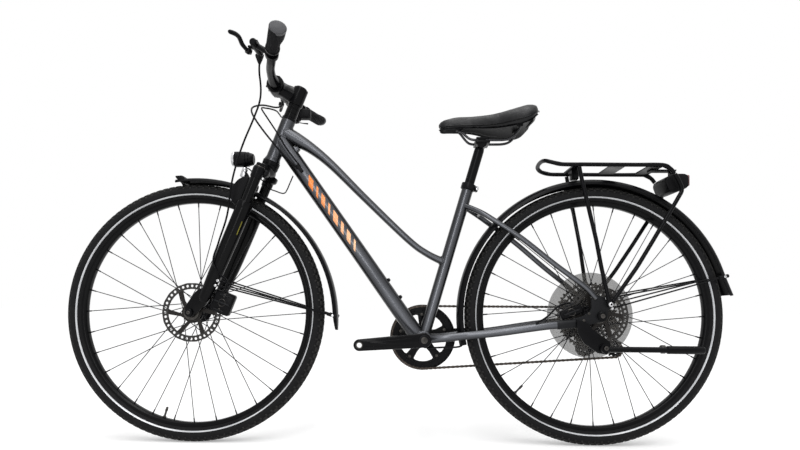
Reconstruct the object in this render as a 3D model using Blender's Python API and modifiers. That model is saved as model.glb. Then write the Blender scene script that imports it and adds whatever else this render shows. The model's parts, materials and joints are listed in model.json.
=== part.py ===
"""Trekking bicycle with low step-through frame, suspension fork, fenders, rack and kickstand.

The bike faces -X and its left side is -Y. The origin is on the ground, half way
between the front of the front tyre and the tip of the rear fender.
"""

import math

import bmesh
import bpy
from mathutils import Matrix, Vector

# Fits
GAP = 0.0003
RUNNING_GAP = 0.0003

# Wheels and tyres
WHEELBASE = 1.0959
TYRE_RADIUS = 0.355
TYRE_WIDTH = 0.047
TYRE_WALL = 0.0035
RIM_BED_RADIUS = 0.3121
RIM_DEPTH = 0.0091
RIM_WIDTH = 0.0252
RIM_FLANGE = 0.0022
RIM_LIP = 0.0016
WHEEL_STEPS = 32
SPOKE_COUNT = 32
SPOKE_RADIUS = 0.0009
SPOKE_CROSSING = math.radians(67.5)
FLANGE_RADIUS = 0.029
FLANGE_THICKNESS = 0.0034
HUB_BODY_RADIUS = 0.018
AXLE_RADIUS = 0.006
ROTOR_RADIUS = 0.080
ROTOR_TRACK = 0.016
ROTOR_THICKNESS = 0.0018
FRONT_HUB_WIDTH = 0.100
REAR_HUB_WIDTH = 0.135
PROTECTOR_RADIUS = 0.120

# Frame
BB_DROP = 0.067
CHAINSTAY_LENGTH = 0.4725
BB_SHELL_RADIUS = 0.0205
BB_SHELL_WIDTH = 0.073
SPINDLE_RADIUS = 0.012
SEAT_TILT = math.radians(16.2)
SEAT_TUBE_LENGTH = 0.445
SEAT_TUBE_RADIUS = 0.016
SEATPOST_RADIUS = 0.0136
SEATPOST_LENGTH = 0.350
SEATPOST_SHOWN = 0.113
HEAD_TILT = math.radians(21.2)
HEAD_BOTTOM = 0.4553
HEAD_LENGTH = 0.1427
HEAD_TOP = HEAD_BOTTOM + HEAD_LENGTH
HEAD_RADIUS = 0.0195
HEAD_CUP_RADIUS = 0.024
DOWN_TUBE_RADIUS = 0.022
TOP_TUBE_DROP = 0.042
TOP_TUBE_FRONT = HEAD_TOP - TOP_TUBE_DROP
DOWN_TUBE_DROP = 0.0254
DOWN_TUBE_HEIGHT = TOP_TUBE_FRONT - DOWN_TUBE_DROP
TOP_TUBE_REAR = 0.2182
TUBE_WALL = 0.002
DROPOUT_THICKNESS = 0.008

# Fork and steering
FORK_OFFSET = 0.0357
STEERER_RADIUS = 0.0143
STEERER_STEPS = 16
STANCHION_RADIUS = 0.014
STANCHION_OFFSET = 0.006
STANCHION_END = 0.230
LEG_SPACING = 0.120
LEG_RADIUS = 0.0195
LEG_TOP = 0.3285
FORK_DROPOUT_THICKNESS = 0.0087
CROWN_HEIGHT = 0.4415
CROWN_DEPTH = 0.0256
SPACER_STACK = 0.039
STEM_BOTTOM = HEAD_TOP + SPACER_STACK
STEM_HEIGHT = 0.049
STEM_TOP = STEM_BOTTOM + STEM_HEIGHT
BAR_LIFT = 0.031
BAR_RISE = STEM_BOTTOM + BAR_LIFT
BAR_REACH = 0.067
BAR_CLAMP_RADIUS = 0.0159
BAR_RADIUS = 0.0111
GRIP_LENGTH = 0.100
GRIP_RADIUS = 0.0160
BAR_WIDTH = 0.650
GRIP_START = BAR_WIDTH / 2 - GRIP_LENGTH

# Drive
CRANK_LENGTH = 0.170
CRANK_TILT = math.radians(4.7)
CRANK_THICKNESS = 0.012
CRANK_SPREAD = 0.176
CHAIN_PITCH = 0.0127
RING_TEETH = 44
COG_TEETH = 11
CHAINLINE_FRONT = 0.0475
CHAINLINE_REAR = 0.0605
CHAIN_RADIUS = 0.0034
CHAIN_TO_TOOTH = 0.0004
PULLEY_WIDTH = 0.005

# Fenders
FENDER_HALF_WIDTH = 0.0275
FENDER_THICKNESS = 0.002
FRONT_FENDER_RADIUS = 0.3725
FRONT_FENDER_FLARE = 0.0225
FRONT_FENDER_ENDS = (math.radians(-6.5), math.radians(99))
REAR_FENDER_RADIUS = 0.377
REAR_FENDER_FLARE = 0.009
REAR_FENDER_ENDS = (math.radians(9), math.radians(193))
STAY_WIRE_RADIUS = 0.0025

# Rack
RACK_CLEARANCE = 0.0285
RACK_HEIGHT = TYRE_RADIUS + REAR_FENDER_RADIUS + RACK_CLEARANCE
TAIL_LIGHT_DROP = 0.0385
RACK_TUBE_RADIUS = 0.0055
RACK_HALF_WIDTH = 0.060
RACK_FOOT_HALF_WIDTH = 0.0850

# Kickstand
STAND_PIVOT = (0.0, -0.0955, 0.272)
STAND_SPLAY = 0.12
STAND_PIN_RADIUS = 0.0045
STAND_LENGTH = 0.257
STAND_RADIUS = 0.0075
STAND_SLEEVE_RADIUS = 0.0105

PAINTS = {
    "frame_grey": ((0.13, 0.15, 0.17), 0.35, 0.6),
    "satin_black": ((0.012, 0.012, 0.013), 0.4, 0.3),
    "black_plastic": ((0.015, 0.015, 0.016), 0.55, 0.0),
    "rubber": ((0.02, 0.02, 0.02), 0.85, 0.0),
    "steel": ((0.55, 0.55, 0.56), 0.3, 1.0),
    "black_alloy": ((0.02, 0.02, 0.022), 0.35, 0.8),
    "saddle_cover": ((0.018, 0.018, 0.019), 0.65, 0.0),
    "cable_black": ((0.01, 0.01, 0.01), 0.45, 0.0),
    "chain_steel": ((0.22, 0.2, 0.18), 0.4, 1.0),
    "red_lens": ((0.35, 0.01, 0.01), 0.2, 0.0),
    "lamp_black": ((0.02, 0.02, 0.02), 0.3, 0.0),
}

TAIL_LENGTH = (REAR_FENDER_RADIUS + REAR_FENDER_FLARE) * math.cos(REAR_FENDER_ENDS[0])
REAR_AXLE_X = (WHEELBASE + TYRE_RADIUS - TAIL_LENGTH) / 2
FRONT_AXLE_X = REAR_AXLE_X - WHEELBASE
REAR_AXLE = Vector((REAR_AXLE_X, 0, TYRE_RADIUS))
FRONT_AXLE = Vector((FRONT_AXLE_X, 0, TYRE_RADIUS))
RING_RADIUS = CHAIN_PITCH / (2 * math.sin(math.pi / RING_TEETH))
COG_RADIUS = CHAIN_PITCH / (2 * math.sin(math.pi / COG_TEETH))
RING_TIP_RADIUS = RING_RADIUS - CHAIN_RADIUS - CHAIN_TO_TOOTH
COG_TIP_RADIUS = COG_RADIUS - CHAIN_RADIUS - CHAIN_TO_TOOTH

for item in list(bpy.data.objects):
    bpy.data.objects.remove(item, do_unlink=True)

BIKE = bpy.data.collections.new("trekking_bike")
GUIDES = bpy.data.collections.new("guides")
AXES = bpy.data.collections.new("joint_axes")
for group in (BIKE, GUIDES, AXES):
    bpy.context.scene.collection.children.link(group)


def aim(origin, direction, across=(0, 1, 0)):
    """A frame at origin whose Z runs along direction."""
    up = Vector(direction).normalized()
    first = Vector(across).cross(up).normalized()
    second = up.cross(first)
    turn = Matrix((first, second, up)).transposed().to_4x4()
    return Matrix.Translation(origin) @ turn


def bike(x, y, z):
    """A point measured from the ground below the rear axle."""
    return Vector((REAR_AXLE_X + x, y, z))


STEER_FOOT = FRONT_AXLE + FORK_OFFSET * Vector((math.cos(HEAD_TILT), 0, -math.sin(HEAD_TILT)))
STEER = aim(STEER_FOOT, (math.sin(HEAD_TILT), 0, math.cos(HEAD_TILT)))
BB = REAR_AXLE + Vector((-math.sqrt(CHAINSTAY_LENGTH ** 2 - BB_DROP ** 2), 0, -BB_DROP))
SEAT = aim(BB, (math.sin(SEAT_TILT), 0, math.cos(SEAT_TILT)))


def fork(up, ahead, y=0.0):
    """World place of a point up the steering axis, ahead of it and y across."""
    return STEER @ Vector((-ahead, y, up))


def seat(up, behind=0.0, y=0.0):
    """World place of a point up the seat tube from the bottom bracket."""
    return SEAT @ Vector((behind, y, up))


def paint(name, finish):
    """A sub-part's own material in one of the bike's finishes."""
    colour, roughness, metallic = PAINTS[finish]
    made = bpy.data.materials.new(f"{name} {finish}")
    made.use_nodes = True
    shader = made.node_tree.nodes["Principled BSDF"]
    shader.inputs["Base Color"].default_value = (*colour, 1)
    shader.inputs["Roughness"].default_value = roughness
    shader.inputs["Metallic"].default_value = metallic
    made.diffuse_color = (*colour, 1)
    return made


def keep(thing, finish=None):
    """Puts a finished sub-part in the bike, or a guide shape among the guides."""
    if finish:
        BIKE.objects.link(thing)
        thing.data.materials.clear()
        thing.data.materials.append(paint(thing.name, finish))
    else:
        GUIDES.objects.link(thing)
        thing.hide_render = True
        thing.display_type = "WIRE"
    return thing


def from_bmesh(name, bm, matrix=None, finish=None, smooth=True):
    mesh = bpy.data.meshes.new(name)
    bm.to_mesh(mesh)
    bm.free()
    if smooth:
        mesh.shade_smooth()
        mesh.set_sharp_from_angle(angle=math.radians(35))
    thing = bpy.data.objects.new(name, mesh)
    thing.matrix_world = matrix or Matrix()
    return keep(thing, finish)


def turned(name, profile, matrix, steps=20, finish=None, closed=False):
    """A turned shape: the profile of (radius, height) spins round the frame's Z."""
    bm = bmesh.new()
    corners = [bm.verts.new((radius, 0, height)) for radius, height in profile]
    for first, second in zip(corners, corners[1:]):
        bm.edges.new((first, second))
    if closed:
        bm.edges.new((corners[-1], corners[0]))
    thing = from_bmesh(name, bm, matrix, finish, smooth=False)
    screw = thing.modifiers.new("turn", "SCREW")
    screw.axis = "Z"
    screw.steps = steps
    screw.render_steps = steps
    screw.use_merge_vertices = True
    screw.merge_threshold = 0.00001
    screw.use_smooth_shade = True
    return thing


def as_mesh(curve_object, finish=None):
    """Makes a curve object a welded mesh object, so that it can be cut and joined."""
    bpy.context.view_layer.update()
    evaluated = curve_object.evaluated_get(bpy.context.evaluated_depsgraph_get())
    mesh = bpy.data.meshes.new_from_object(evaluated)
    bm = bmesh.new()
    bm.from_mesh(mesh)
    bmesh.ops.remove_doubles(bm, verts=bm.verts, dist=0.000005)
    bmesh.ops.recalc_face_normals(bm, faces=bm.faces)
    bm.to_mesh(mesh)
    bm.free()
    name = curve_object.name
    place = curve_object.matrix_world.copy()
    bpy.data.objects.remove(curve_object, do_unlink=True)
    thing = bpy.data.objects.new(name, mesh)
    thing.matrix_world = place
    return keep(thing, finish)


def tube(name, route, radius, finish=None, sides=8, swell=None, ring=False, caps=True):
    """A round tube along a route, with an optional share of the radius at each point."""
    curve = bpy.data.curves.new(name, "CURVE")
    curve.dimensions = "3D"
    curve.bevel_depth = radius
    curve.bevel_resolution = (sides - 4) // 2
    curve.use_fill_caps = caps and not ring
    spline = curve.splines.new("POLY")
    spline.points.add(len(route) - 1)
    for index, place in enumerate(route):
        spline.points[index].co = (*place, 1)
        spline.points[index].radius = swell[index] if swell else 1
    spline.use_cyclic_u = ring
    return keep(bpy.data.objects.new(name, curve), finish)


def solid_tube(name, route, radius, sides=8, swell=None, finish=None, caps=True):
    """A tube as a mesh."""
    return as_mesh(tube(name, route, radius, None, sides, swell, False, caps), finish)


def plate(name, outlines, thickness, matrix, finish=None):
    """A flat plate: outlines in the frame's XY, half the thickness to each side."""
    curve = bpy.data.curves.new(name, "CURVE")
    curve.dimensions = "2D"
    curve.fill_mode = "BOTH"
    curve.extrude = thickness / 2
    for outline in outlines:
        spline = curve.splines.new("POLY")
        spline.points.add(len(outline) - 1)
        for index, (x, y) in enumerate(outline):
            spline.points[index].co = (x, y, 0, 1)
        spline.use_cyclic_u = True
    thing = bpy.data.objects.new(name, curve)
    thing.matrix_world = matrix
    return as_mesh(keep(thing), finish)


def block(name, size, matrix, bevel=0.0, finish=None):
    """A box of the given size round the frame's origin, with bevelled edges."""
    bm = bmesh.new()
    bmesh.ops.create_cube(bm, size=1)
    bmesh.ops.scale(bm, vec=size, verts=bm.verts)
    if bevel:
        bmesh.ops.bevel(bm, geom=bm.edges, offset=bevel, segments=1, affect="EDGES")
    return from_bmesh(name, bm, matrix, finish)


def rod(name, start, end, radius, steps=12, finish=None):
    """A plain round rod from one point to another."""
    run = end - start
    across = (0, 1, 0) if abs(run.normalized().y) < 0.9 else (1, 0, 0)
    bm = bmesh.new()
    bmesh.ops.create_cone(
        bm, cap_ends=True, segments=steps, radius1=radius, radius2=radius, depth=run.length
    )
    return from_bmesh(name, bm, aim((start + end) / 2, run, across), finish)


def fuse(thing, *others):
    for other in others:
        join = thing.modifiers.new("join " + other.name, "BOOLEAN")
        join.operation = "UNION"
        join.solver = "EXACT"
        join.object = other
    return thing


def carve(thing, *cutters):
    for cutter in cutters:
        cut = thing.modifiers.new("cut " + cutter.name, "BOOLEAN")
        cut.operation = "DIFFERENCE"
        cut.solver = "EXACT"
        cut.object = cutter
    return thing


def side_view(y):
    """A frame for flat outlines given as (x, z), seen from the side at y."""
    return Matrix(((1, 0, 0, 0), (0, 0, -1, y), (0, 1, 0, 0), (0, 0, 0, 1)))


def smooth_route(points, spacing):
    """Evenly spaced points on a smooth curve through the given ones."""
    ends = [2 * points[0] - points[1]] + list(points) + [2 * points[-1] - points[-2]]
    fine = []
    for before, start, end, after in zip(ends, ends[1:], ends[2:], ends[3:]):
        for step in range(20):
            t = step / 20
            fine.append(0.5 * (
                2 * start + (end - before) * t
                + (2 * before - 5 * start + 4 * end - after) * t * t
                + (3 * start - before - 3 * end + after) * t ** 3
            ))
    fine.append(points[-1].copy())
    length = sum((b - a).length for a, b in zip(fine, fine[1:]))
    count = max(2, round(length / spacing))
    route = [fine[0]]
    walked = 0.0
    for a, b in zip(fine, fine[1:]):
        run = (b - a).length
        while run and walked + run >= len(route) * length / count and len(route) < count:
            route.append(a.lerp(b, (len(route) * length / count - walked) / run))
        walked += run
    route.append(fine[-1])
    return route


def hull(circles, steps=12):
    """The outline round a set of circles (x, z, radius)."""
    cloud = sorted({
        (round(x + r * math.cos(k * math.tau / steps), 7), round(z + r * math.sin(k * math.tau / steps), 7))
        for x, z, r in circles for k in range(steps)
    })

    def half(points):
        chain = []
        for point in points:
            while len(chain) > 1 and (
                (chain[-1][0] - chain[-2][0]) * (point[1] - chain[-2][1])
                - (chain[-1][1] - chain[-2][1]) * (point[0] - chain[-2][0])
            ) <= 1e-12:
                chain.pop()
            chain.append(point)
        return chain[:-1]

    return half(cloud) + half(cloud[::-1])


def circle(x, z, radius, steps=16):
    return [
        (x + radius * math.cos(k * math.tau / steps), z + radius * math.sin(k * math.tau / steps))
        for k in range(steps)
    ]


def across(centre, y=0.0):
    """A frame whose Z points to the bike's right, for pieces turned on an axle."""
    return aim(centre + Vector((0, y, 0)), (0, 1, 0), (1, 0, 0))


def wheel_frame(axle):
    """An axle frame turned half a step, so that a flat of the tyre meets the ground."""
    return across(axle) @ Matrix.Rotation(math.pi / WHEEL_STEPS, 4, "Z")


def wheel_ring(profile):
    """Widens a ring's profile so that its flats, not its corners, have the given radius."""
    return [(radius / math.cos(math.pi / WHEEL_STEPS), y) for radius, y in profile]


# Wheels


def make_tyre(name, axle):
    half = TYRE_WIDTH / 2
    bead = RIM_WIDTH / 2 - RIM_LIP - 0.0020
    foot = RIM_BED_RADIUS + GAP
    outer = [
        (foot, bead), (TYRE_RADIUS - 0.022, half), (TYRE_RADIUS - 0.008, half * 0.80),
        (TYRE_RADIUS, half * 0.34),
    ]
    inner = [
        (TYRE_RADIUS - TYRE_WALL - 0.003, half * 0.62), (TYRE_RADIUS - 0.022, half - TYRE_WALL),
        (foot, bead - 0.0023),
    ]
    profile = (
        outer[::-1][:1] + [(r, -y) for r, y in outer[::-1]] + [(r, -y) for r, y in inner[::-1]]
        + inner + outer[:-1]
    )
    return turned(name, wheel_ring(profile), wheel_frame(axle), WHEEL_STEPS, "rubber", True)


def make_rim(name, axle):
    half = RIM_WIDTH / 2
    lip = RIM_BED_RADIUS + RIM_FLANGE
    inside = RIM_BED_RADIUS - RIM_DEPTH
    profile = [
        (lip, half), (lip, half - RIM_LIP), (RIM_BED_RADIUS, half - RIM_LIP),
        (RIM_BED_RADIUS, -half + RIM_LIP), (lip, -half + RIM_LIP), (lip, -half),
        (inside, -half * 0.55), (inside, half * 0.55),
    ]
    return turned(name, wheel_ring(profile), wheel_frame(axle), WHEEL_STEPS, "black_alloy", True)


def spokes(name, axle, left_flange, right_flange):
    """Crossed spokes as one guide shape, from the flanges to the rim's inside."""
    rim = RIM_BED_RADIUS - RIM_DEPTH - GAP
    hole = FLANGE_RADIUS - 0.0025
    bm = bmesh.new()
    for index in range(SPOKE_COUNT):
        right = index % 2
        trailing = (index // 2) % 2
        flange = right_flange if right else left_flange
        head = 0.0022 if trailing else -0.0022
        rim_angle = index * math.tau / SPOKE_COUNT
        hub_angle = rim_angle + (SPOKE_CROSSING if trailing else -SPOKE_CROSSING)
        rim_y = (0.003 if right else -0.003) + head * 0.35
        start = Vector((math.cos(hub_angle) * hole, flange + head, math.sin(hub_angle) * hole))
        end = Vector((math.cos(rim_angle) * rim, rim_y, math.sin(rim_angle) * rim))
        place = aim((start + end) / 2, end - start)
        bmesh.ops.create_cone(
            bm, cap_ends=True, segments=3, radius1=SPOKE_RADIUS, radius2=SPOKE_RADIUS,
            depth=(end - start).length, matrix=place,
        )
    return from_bmesh(name, bm, Matrix.Translation(axle), smooth=False)


def flange(y):
    half = FLANGE_THICKNESS / 2
    return [(HUB_BODY_RADIUS, y + half + 0.001), (FLANGE_RADIUS, y + half),
            (FLANGE_RADIUS, y - half), (HUB_BODY_RADIUS, y - half - 0.001)]


HUB_BORE = AXLE_RADIUS + RUNNING_GAP
LOCKNUT_RADIUS = 0.0095
ROTOR_SEAT_RADIUS = 0.017
FRONT_ROTOR_Y = -0.0395
REAR_ROTOR_Y = -0.050
FRONT_FLANGES = (-0.0285, 0.0335)
REAR_FLANGES = (-0.034, 0.0165)
FREEHUB_RADIUS = 0.0172
FREEHUB_END = 0.0640


def make_front_hub():
    end = FRONT_HUB_WIDTH / 2 - GAP
    seat_y = FRONT_ROTOR_Y + ROTOR_THICKNESS / 2 + GAP
    profile = (
        [(HUB_BORE, end), (LOCKNUT_RADIUS, end), (LOCKNUT_RADIUS, FRONT_FLANGES[1] + 0.005)]
        + flange(FRONT_FLANGES[1]) + flange(FRONT_FLANGES[0])
        + [(ROTOR_SEAT_RADIUS, seat_y), (LOCKNUT_RADIUS, seat_y), (LOCKNUT_RADIUS, -end), (HUB_BORE, -end)]
    )
    hub = turned("front_hub", profile, across(FRONT_AXLE), 12, "black_alloy", True)
    return fuse(hub, spokes("front spokes", FRONT_AXLE, *FRONT_FLANGES))


def make_rear_hub():
    end = REAR_HUB_WIDTH / 2 - GAP
    seat_y = REAR_ROTOR_Y + ROTOR_THICKNESS / 2 + GAP
    profile = (
        [(HUB_BORE, end), (LOCKNUT_RADIUS, end), (LOCKNUT_RADIUS, FREEHUB_END), (FREEHUB_RADIUS, FREEHUB_END),
         (FREEHUB_RADIUS, REAR_FLANGES[1] + 0.0035)]
        + flange(REAR_FLANGES[1])[1:] + flange(REAR_FLANGES[0])
        + [(ROTOR_SEAT_RADIUS, seat_y), (LOCKNUT_RADIUS, seat_y), (LOCKNUT_RADIUS, -end), (HUB_BORE, -end)]
    )
    hub = turned("rear_hub", profile, across(REAR_AXLE), 12, "black_alloy", True)
    return fuse(hub, spokes("rear spokes", REAR_AXLE, *REAR_FLANGES))


def make_rotor(name, axle, y):
    """A brake disc: outer track, six arms and a middle with the hub's hole."""
    track = ROTOR_RADIUS - ROTOR_TRACK
    hub_ring = 0.023
    outlines = [circle(0, 0, ROTOR_RADIUS, 24), circle(0, 0, LOCKNUT_RADIUS + GAP * 2, 12)]
    for arm in range(6):
        middle = arm * math.tau / 6
        outer = [middle + math.radians(a) for a in (-23, -8, 8, 23)]
        inner = [middle + math.radians(a) for a in (14, -14)]
        outlines.append(
            [(track * math.cos(a), track * math.sin(a)) for a in outer]
            + [(hub_ring * math.cos(a), hub_ring * math.sin(a)) for a in inner]
        )
    return plate(name, outlines, ROTOR_THICKNESS, Matrix.Translation(axle) @ side_view(y), "steel")


def make_spoke_protector():
    inner = FREEHUB_RADIUS + 2 * GAP
    profile = [(PROTECTOR_RADIUS, 0.0240), (PROTECTOR_RADIUS, 0.0225), (inner, 0.0235), (inner, 0.0250)]
    return turned("spoke_protector", profile, across(REAR_AXLE), 24, "black_plastic", True)


def make_cassette():
    """The stack of sprockets, as steps of the sizes that show."""
    bore = FREEHUB_RADIUS + RUNNING_GAP * 1.5
    steps = [
        (COG_TIP_RADIUS, 0.0630, 0.0566), (0.0262, 0.0566, 0.0485), (0.048, 0.0485, 0.040),
        (0.072, 0.040, 0.0315), (0.0945, 0.0315, 0.0275),
    ]
    profile = [(bore, steps[0][1])]
    for radius, outside, inside in steps:
        profile += [(radius, outside), (radius, inside)]
    profile.append((bore, steps[-1][2]))
    return turned("cassette", profile, across(REAR_AXLE), 18, "chain_steel", True)


def make_axle(name, centre, hub_width, plate_thickness, head_radius):
    """A through axle with a head outside each dropout."""
    inside = hub_width / 2 + plate_thickness + GAP
    head = 0.008
    profile = [
        (0, inside + head), (head_radius * 0.8, inside + head), (head_radius, inside), (AXLE_RADIUS, inside),
        (AXLE_RADIUS, -inside), (head_radius, -inside), (head_radius * 0.8, -inside - head),
        (0, -inside - head),
    ]
    return turned(name, profile, across(centre), 12, "black_alloy")


# Frame


def sleeve(name, matrix, outer, inner, bottom, top, steps, finish=None):
    """A plain round tube with open ends along the frame's Z."""
    profile = [(outer, top), (outer, bottom), (inner, bottom), (inner, top)]
    return turned(name, profile, matrix, steps, finish, True)


def core(name, matrix, radius, bottom, top, steps=24, finish=None):
    """A solid round bar along the frame's Z."""
    bm = bmesh.new()
    bmesh.ops.create_cone(
        bm, cap_ends=True, segments=steps, radius1=radius, radius2=radius, depth=top - bottom,
        matrix=Matrix.Translation((0, 0, (top + bottom) / 2)),
    )
    return from_bmesh(name, bm, matrix, finish)


def make_head_tube():
    bore = STEERER_RADIUS + RUNNING_GAP
    profile = [
        (HEAD_RADIUS, HEAD_TOP), (HEAD_RADIUS, HEAD_BOTTOM + 0.022), (HEAD_CUP_RADIUS, HEAD_BOTTOM + 0.012),
        (HEAD_CUP_RADIUS, HEAD_BOTTOM), (bore, HEAD_BOTTOM), (bore, HEAD_TOP),
    ]
    return turned("head_tube", profile, STEER, STEERER_STEPS, "frame_grey", True)


def make_clearance_cutters():
    """Cutters that leave a gap round the tubes that others are mitred against."""
    return {
        "head": core("head clearance", STEER, HEAD_RADIUS + GAP * 2, HEAD_BOTTOM, HEAD_TOP + 0.05),
        "seat": core("seat clearance", SEAT, SEAT_TUBE_RADIUS + GAP * 2, -0.02, SEAT_TUBE_LENGTH + 0.05),
        "bb": core("bottom bracket clearance", across(BB), BB_SHELL_RADIUS + GAP * 2, -0.06, 0.06),
    }


DOWN_TUBE_AXIS = (fork(DOWN_TUBE_HEIGHT, 0), BB)


def down_tube_route():
    """The down tube's centre line, bent a little where it meets the bottom bracket."""
    start, end = DOWN_TUBE_AXIS
    run = (end - start).normalized()
    below = Vector((run.z, 0, -run.x)) * 0.0085
    return [start, start.lerp(end, 0.5) + below * 0.5, end - run * 0.036 + below, end]


def boss_place(share):
    """The place and direction of a bottle boss on the down tube's upper side."""
    start, end = DOWN_TUBE_AXIS
    run = (end - start).normalized()
    route = down_tube_route()
    middle = route[1].lerp(route[2], (share - 0.5) / 0.5)
    return middle, Vector((-run.z, 0, run.x)), run


def make_down_tube(clearance):
    route = down_tube_route()
    swell = (1, 1, 1, 0.92)
    outer = solid_tube("down_tube", route, DOWN_TUBE_RADIUS, 10, swell, "frame_grey", caps=False)
    wall = outer.modifiers.new("wall", "SOLIDIFY")
    wall.thickness = TUBE_WALL
    wall.offset = -1
    for index, share in enumerate((0.752, 0.846)):
        middle, up, _ = boss_place(share)
        start = middle + up * (DOWN_TUBE_RADIUS - TUBE_WALL * 0.9)
        fuse(outer, rod(f"bottle boss {index}", start, middle + up * (DOWN_TUBE_RADIUS + 0.004), 0.006, 8))
    return carve(outer, clearance["head"], clearance["seat"], clearance["bb"])


TOP_TUBE_BOW = (
    (0.00, 0.000, 0.0195, 0.0195), (0.08, 0.008, 0.0190, 0.0190), (0.18, 0.0165, 0.0147, 0.0180),
    (0.30, 0.0155, 0.0120, 0.0165), (0.50, -0.0015, 0.0103, 0.0150), (0.77, -0.020, 0.0095, 0.0140),
    (0.89, -0.016, 0.0095, 0.0140), (1.00, 0.000, 0.0110, 0.0140),
)


def top_tube_route():
    """Points of the low curved top tube with their half heights and half widths."""
    start = fork(TOP_TUBE_FRONT, 0)
    end = seat(TOP_TUBE_REAR)
    return [
        (start.lerp(end, share) + Vector((0, 0, rise)), high, wide)
        for share, rise, high, wide in TOP_TUBE_BOW
    ]


def make_top_tube(clearance):
    """An oval tube, wider than it is high."""
    points = top_tube_route()
    swell = [high / 0.010 for _, high, _ in points]
    thing = solid_tube("top_tube", [p for p, _, _ in points], 0.010, 10, swell, "frame_grey", caps=False)
    places = [(p.x, wide / high) for p, high, wide in points]
    for vertex in thing.data.vertices:
        for (x0, w0), (x1, w1) in zip(places, places[1:]):
            if x0 <= vertex.co.x <= x1:
                share = (vertex.co.x - x0) / (x1 - x0)
                vertex.co.y *= w0 + (w1 - w0) * share
                break
    wall = thing.modifiers.new("wall", "SOLIDIFY")
    wall.thickness = TUBE_WALL
    wall.offset = -1
    under = solid_tube("down tube clearance", down_tube_route()[:2], DOWN_TUBE_RADIUS + 3 * GAP, 12)
    return carve(thing, clearance["head"], clearance["seat"], under)


def make_seat_tube(clearance):
    bore = SEATPOST_RADIUS + RUNNING_GAP
    thing = sleeve("seat_tube", SEAT, SEAT_TUBE_RADIUS, bore, 0, SEAT_TUBE_LENGTH, 14, "frame_grey")
    return carve(thing, clearance["bb"])


def make_bottom_bracket_shell():
    half = BB_SHELL_WIDTH / 2
    bore = SPINDLE_RADIUS + RUNNING_GAP * 1.5
    return sleeve("bottom_bracket_shell", across(BB), BB_SHELL_RADIUS, bore, -half, half, 14, "frame_grey")


def make_seat_clamp():
    """The collar round the top of the seat tube, with its bolt lug behind."""
    inner = SEAT_TUBE_RADIUS + GAP * 2
    outer = inner + 0.0035
    low = SEAT_TUBE_LENGTH - 0.014
    high = SEAT_TUBE_LENGTH + 0.002
    collar = sleeve("seat_clamp", SEAT, outer, inner, low, high, 14, "black_alloy")
    lug_place = SEAT @ Matrix.Translation((outer + 0.003, 0, (low + high) / 2))
    lug = block("clamp lug", (0.010, 0.017, high - low - 0.002), lug_place, 0.002)
    return fuse(collar, lug)


STAY_Y = DROPOUT_THICKNESS / 2 + REAR_HUB_WIDTH / 2


SEATSTAY_RADIUS = 0.0070
CHAINSTAY_HALF_HEIGHT = 0.0110
CHAINSTAY_HALF_WIDTH = 0.0073


def chainstay_route(side):
    start = BB + Vector((0.018, side * 0.024, 0))
    middle = [
        bike(-0.430, side * 0.031, 0.2895), bike(-0.400, side * 0.0360, 0.2925),
        bike(-0.355, side * 0.0368, 0.2980), bike(-0.325, side * 0.0405, 0.3015),
        bike(-0.264, side * 0.050, 0.3090), bike(-0.146, side * 0.066, 0.3270),
    ]
    return [start] + middle + [REAR_AXLE + Vector((-0.065, side * STAY_Y, -0.020))]


def seatstay_route(side):
    start = seat(0.385, 0.004, side * 0.009)
    middle = [
        bike(-0.314, side * 0.031, 0.634), bike(-0.280, side * 0.0400, 0.612),
        bike(-0.207, side * 0.051, 0.562), bike(-0.119, side * 0.061, 0.4905),
        bike(-0.045, side * 0.0700, 0.4335),
    ]
    return [start] + middle + [REAR_AXLE + Vector((-0.014, side * STAY_Y, 0.046))]


RACK_BOLT = Vector((0.0194, 0, 0.0305))
HANGER_BOLT = Vector((0.012, 0, -0.028))
DROPOUT = [
    (-0.080, -0.009), (-0.044, 0.001), (-0.027, 0.016), (-0.028, 0.046), (-0.010, 0.055), (0.006, 0.050),
    (0.014, 0.040), (0.024, 0.040), (0.029, 0.032), (0.026, 0.022), (0.016, 0.014), (0.015, -0.006),
    (0.006, -0.015), (-0.016, -0.019), (-0.060, -0.033), (-0.080, -0.030),
]
HANGER = [(-0.014, -0.010), (-0.010, 0.0), (0.010, 0.004), (0.016, -0.006), (0.022, -0.030), (0.014, -0.038),
          (0.003, -0.036)]


def chainstay_tube(name, side, extra=0.0, finish=None):
    """An oval chainstay, or with an extra thickness the space that it needs."""
    route = chainstay_route(side)
    stay = solid_tube(name, route, CHAINSTAY_HALF_HEIGHT + extra, 8, None, finish)
    for vertex in stay.data.vertices:
        centre = min(route, key=lambda point: abs(point.x - vertex.co.x)).y
        slim = (CHAINSTAY_HALF_WIDTH + extra) / (CHAINSTAY_HALF_HEIGHT + extra)
        vertex.co.y = centre + (vertex.co.y - centre) * slim
    return stay


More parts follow.
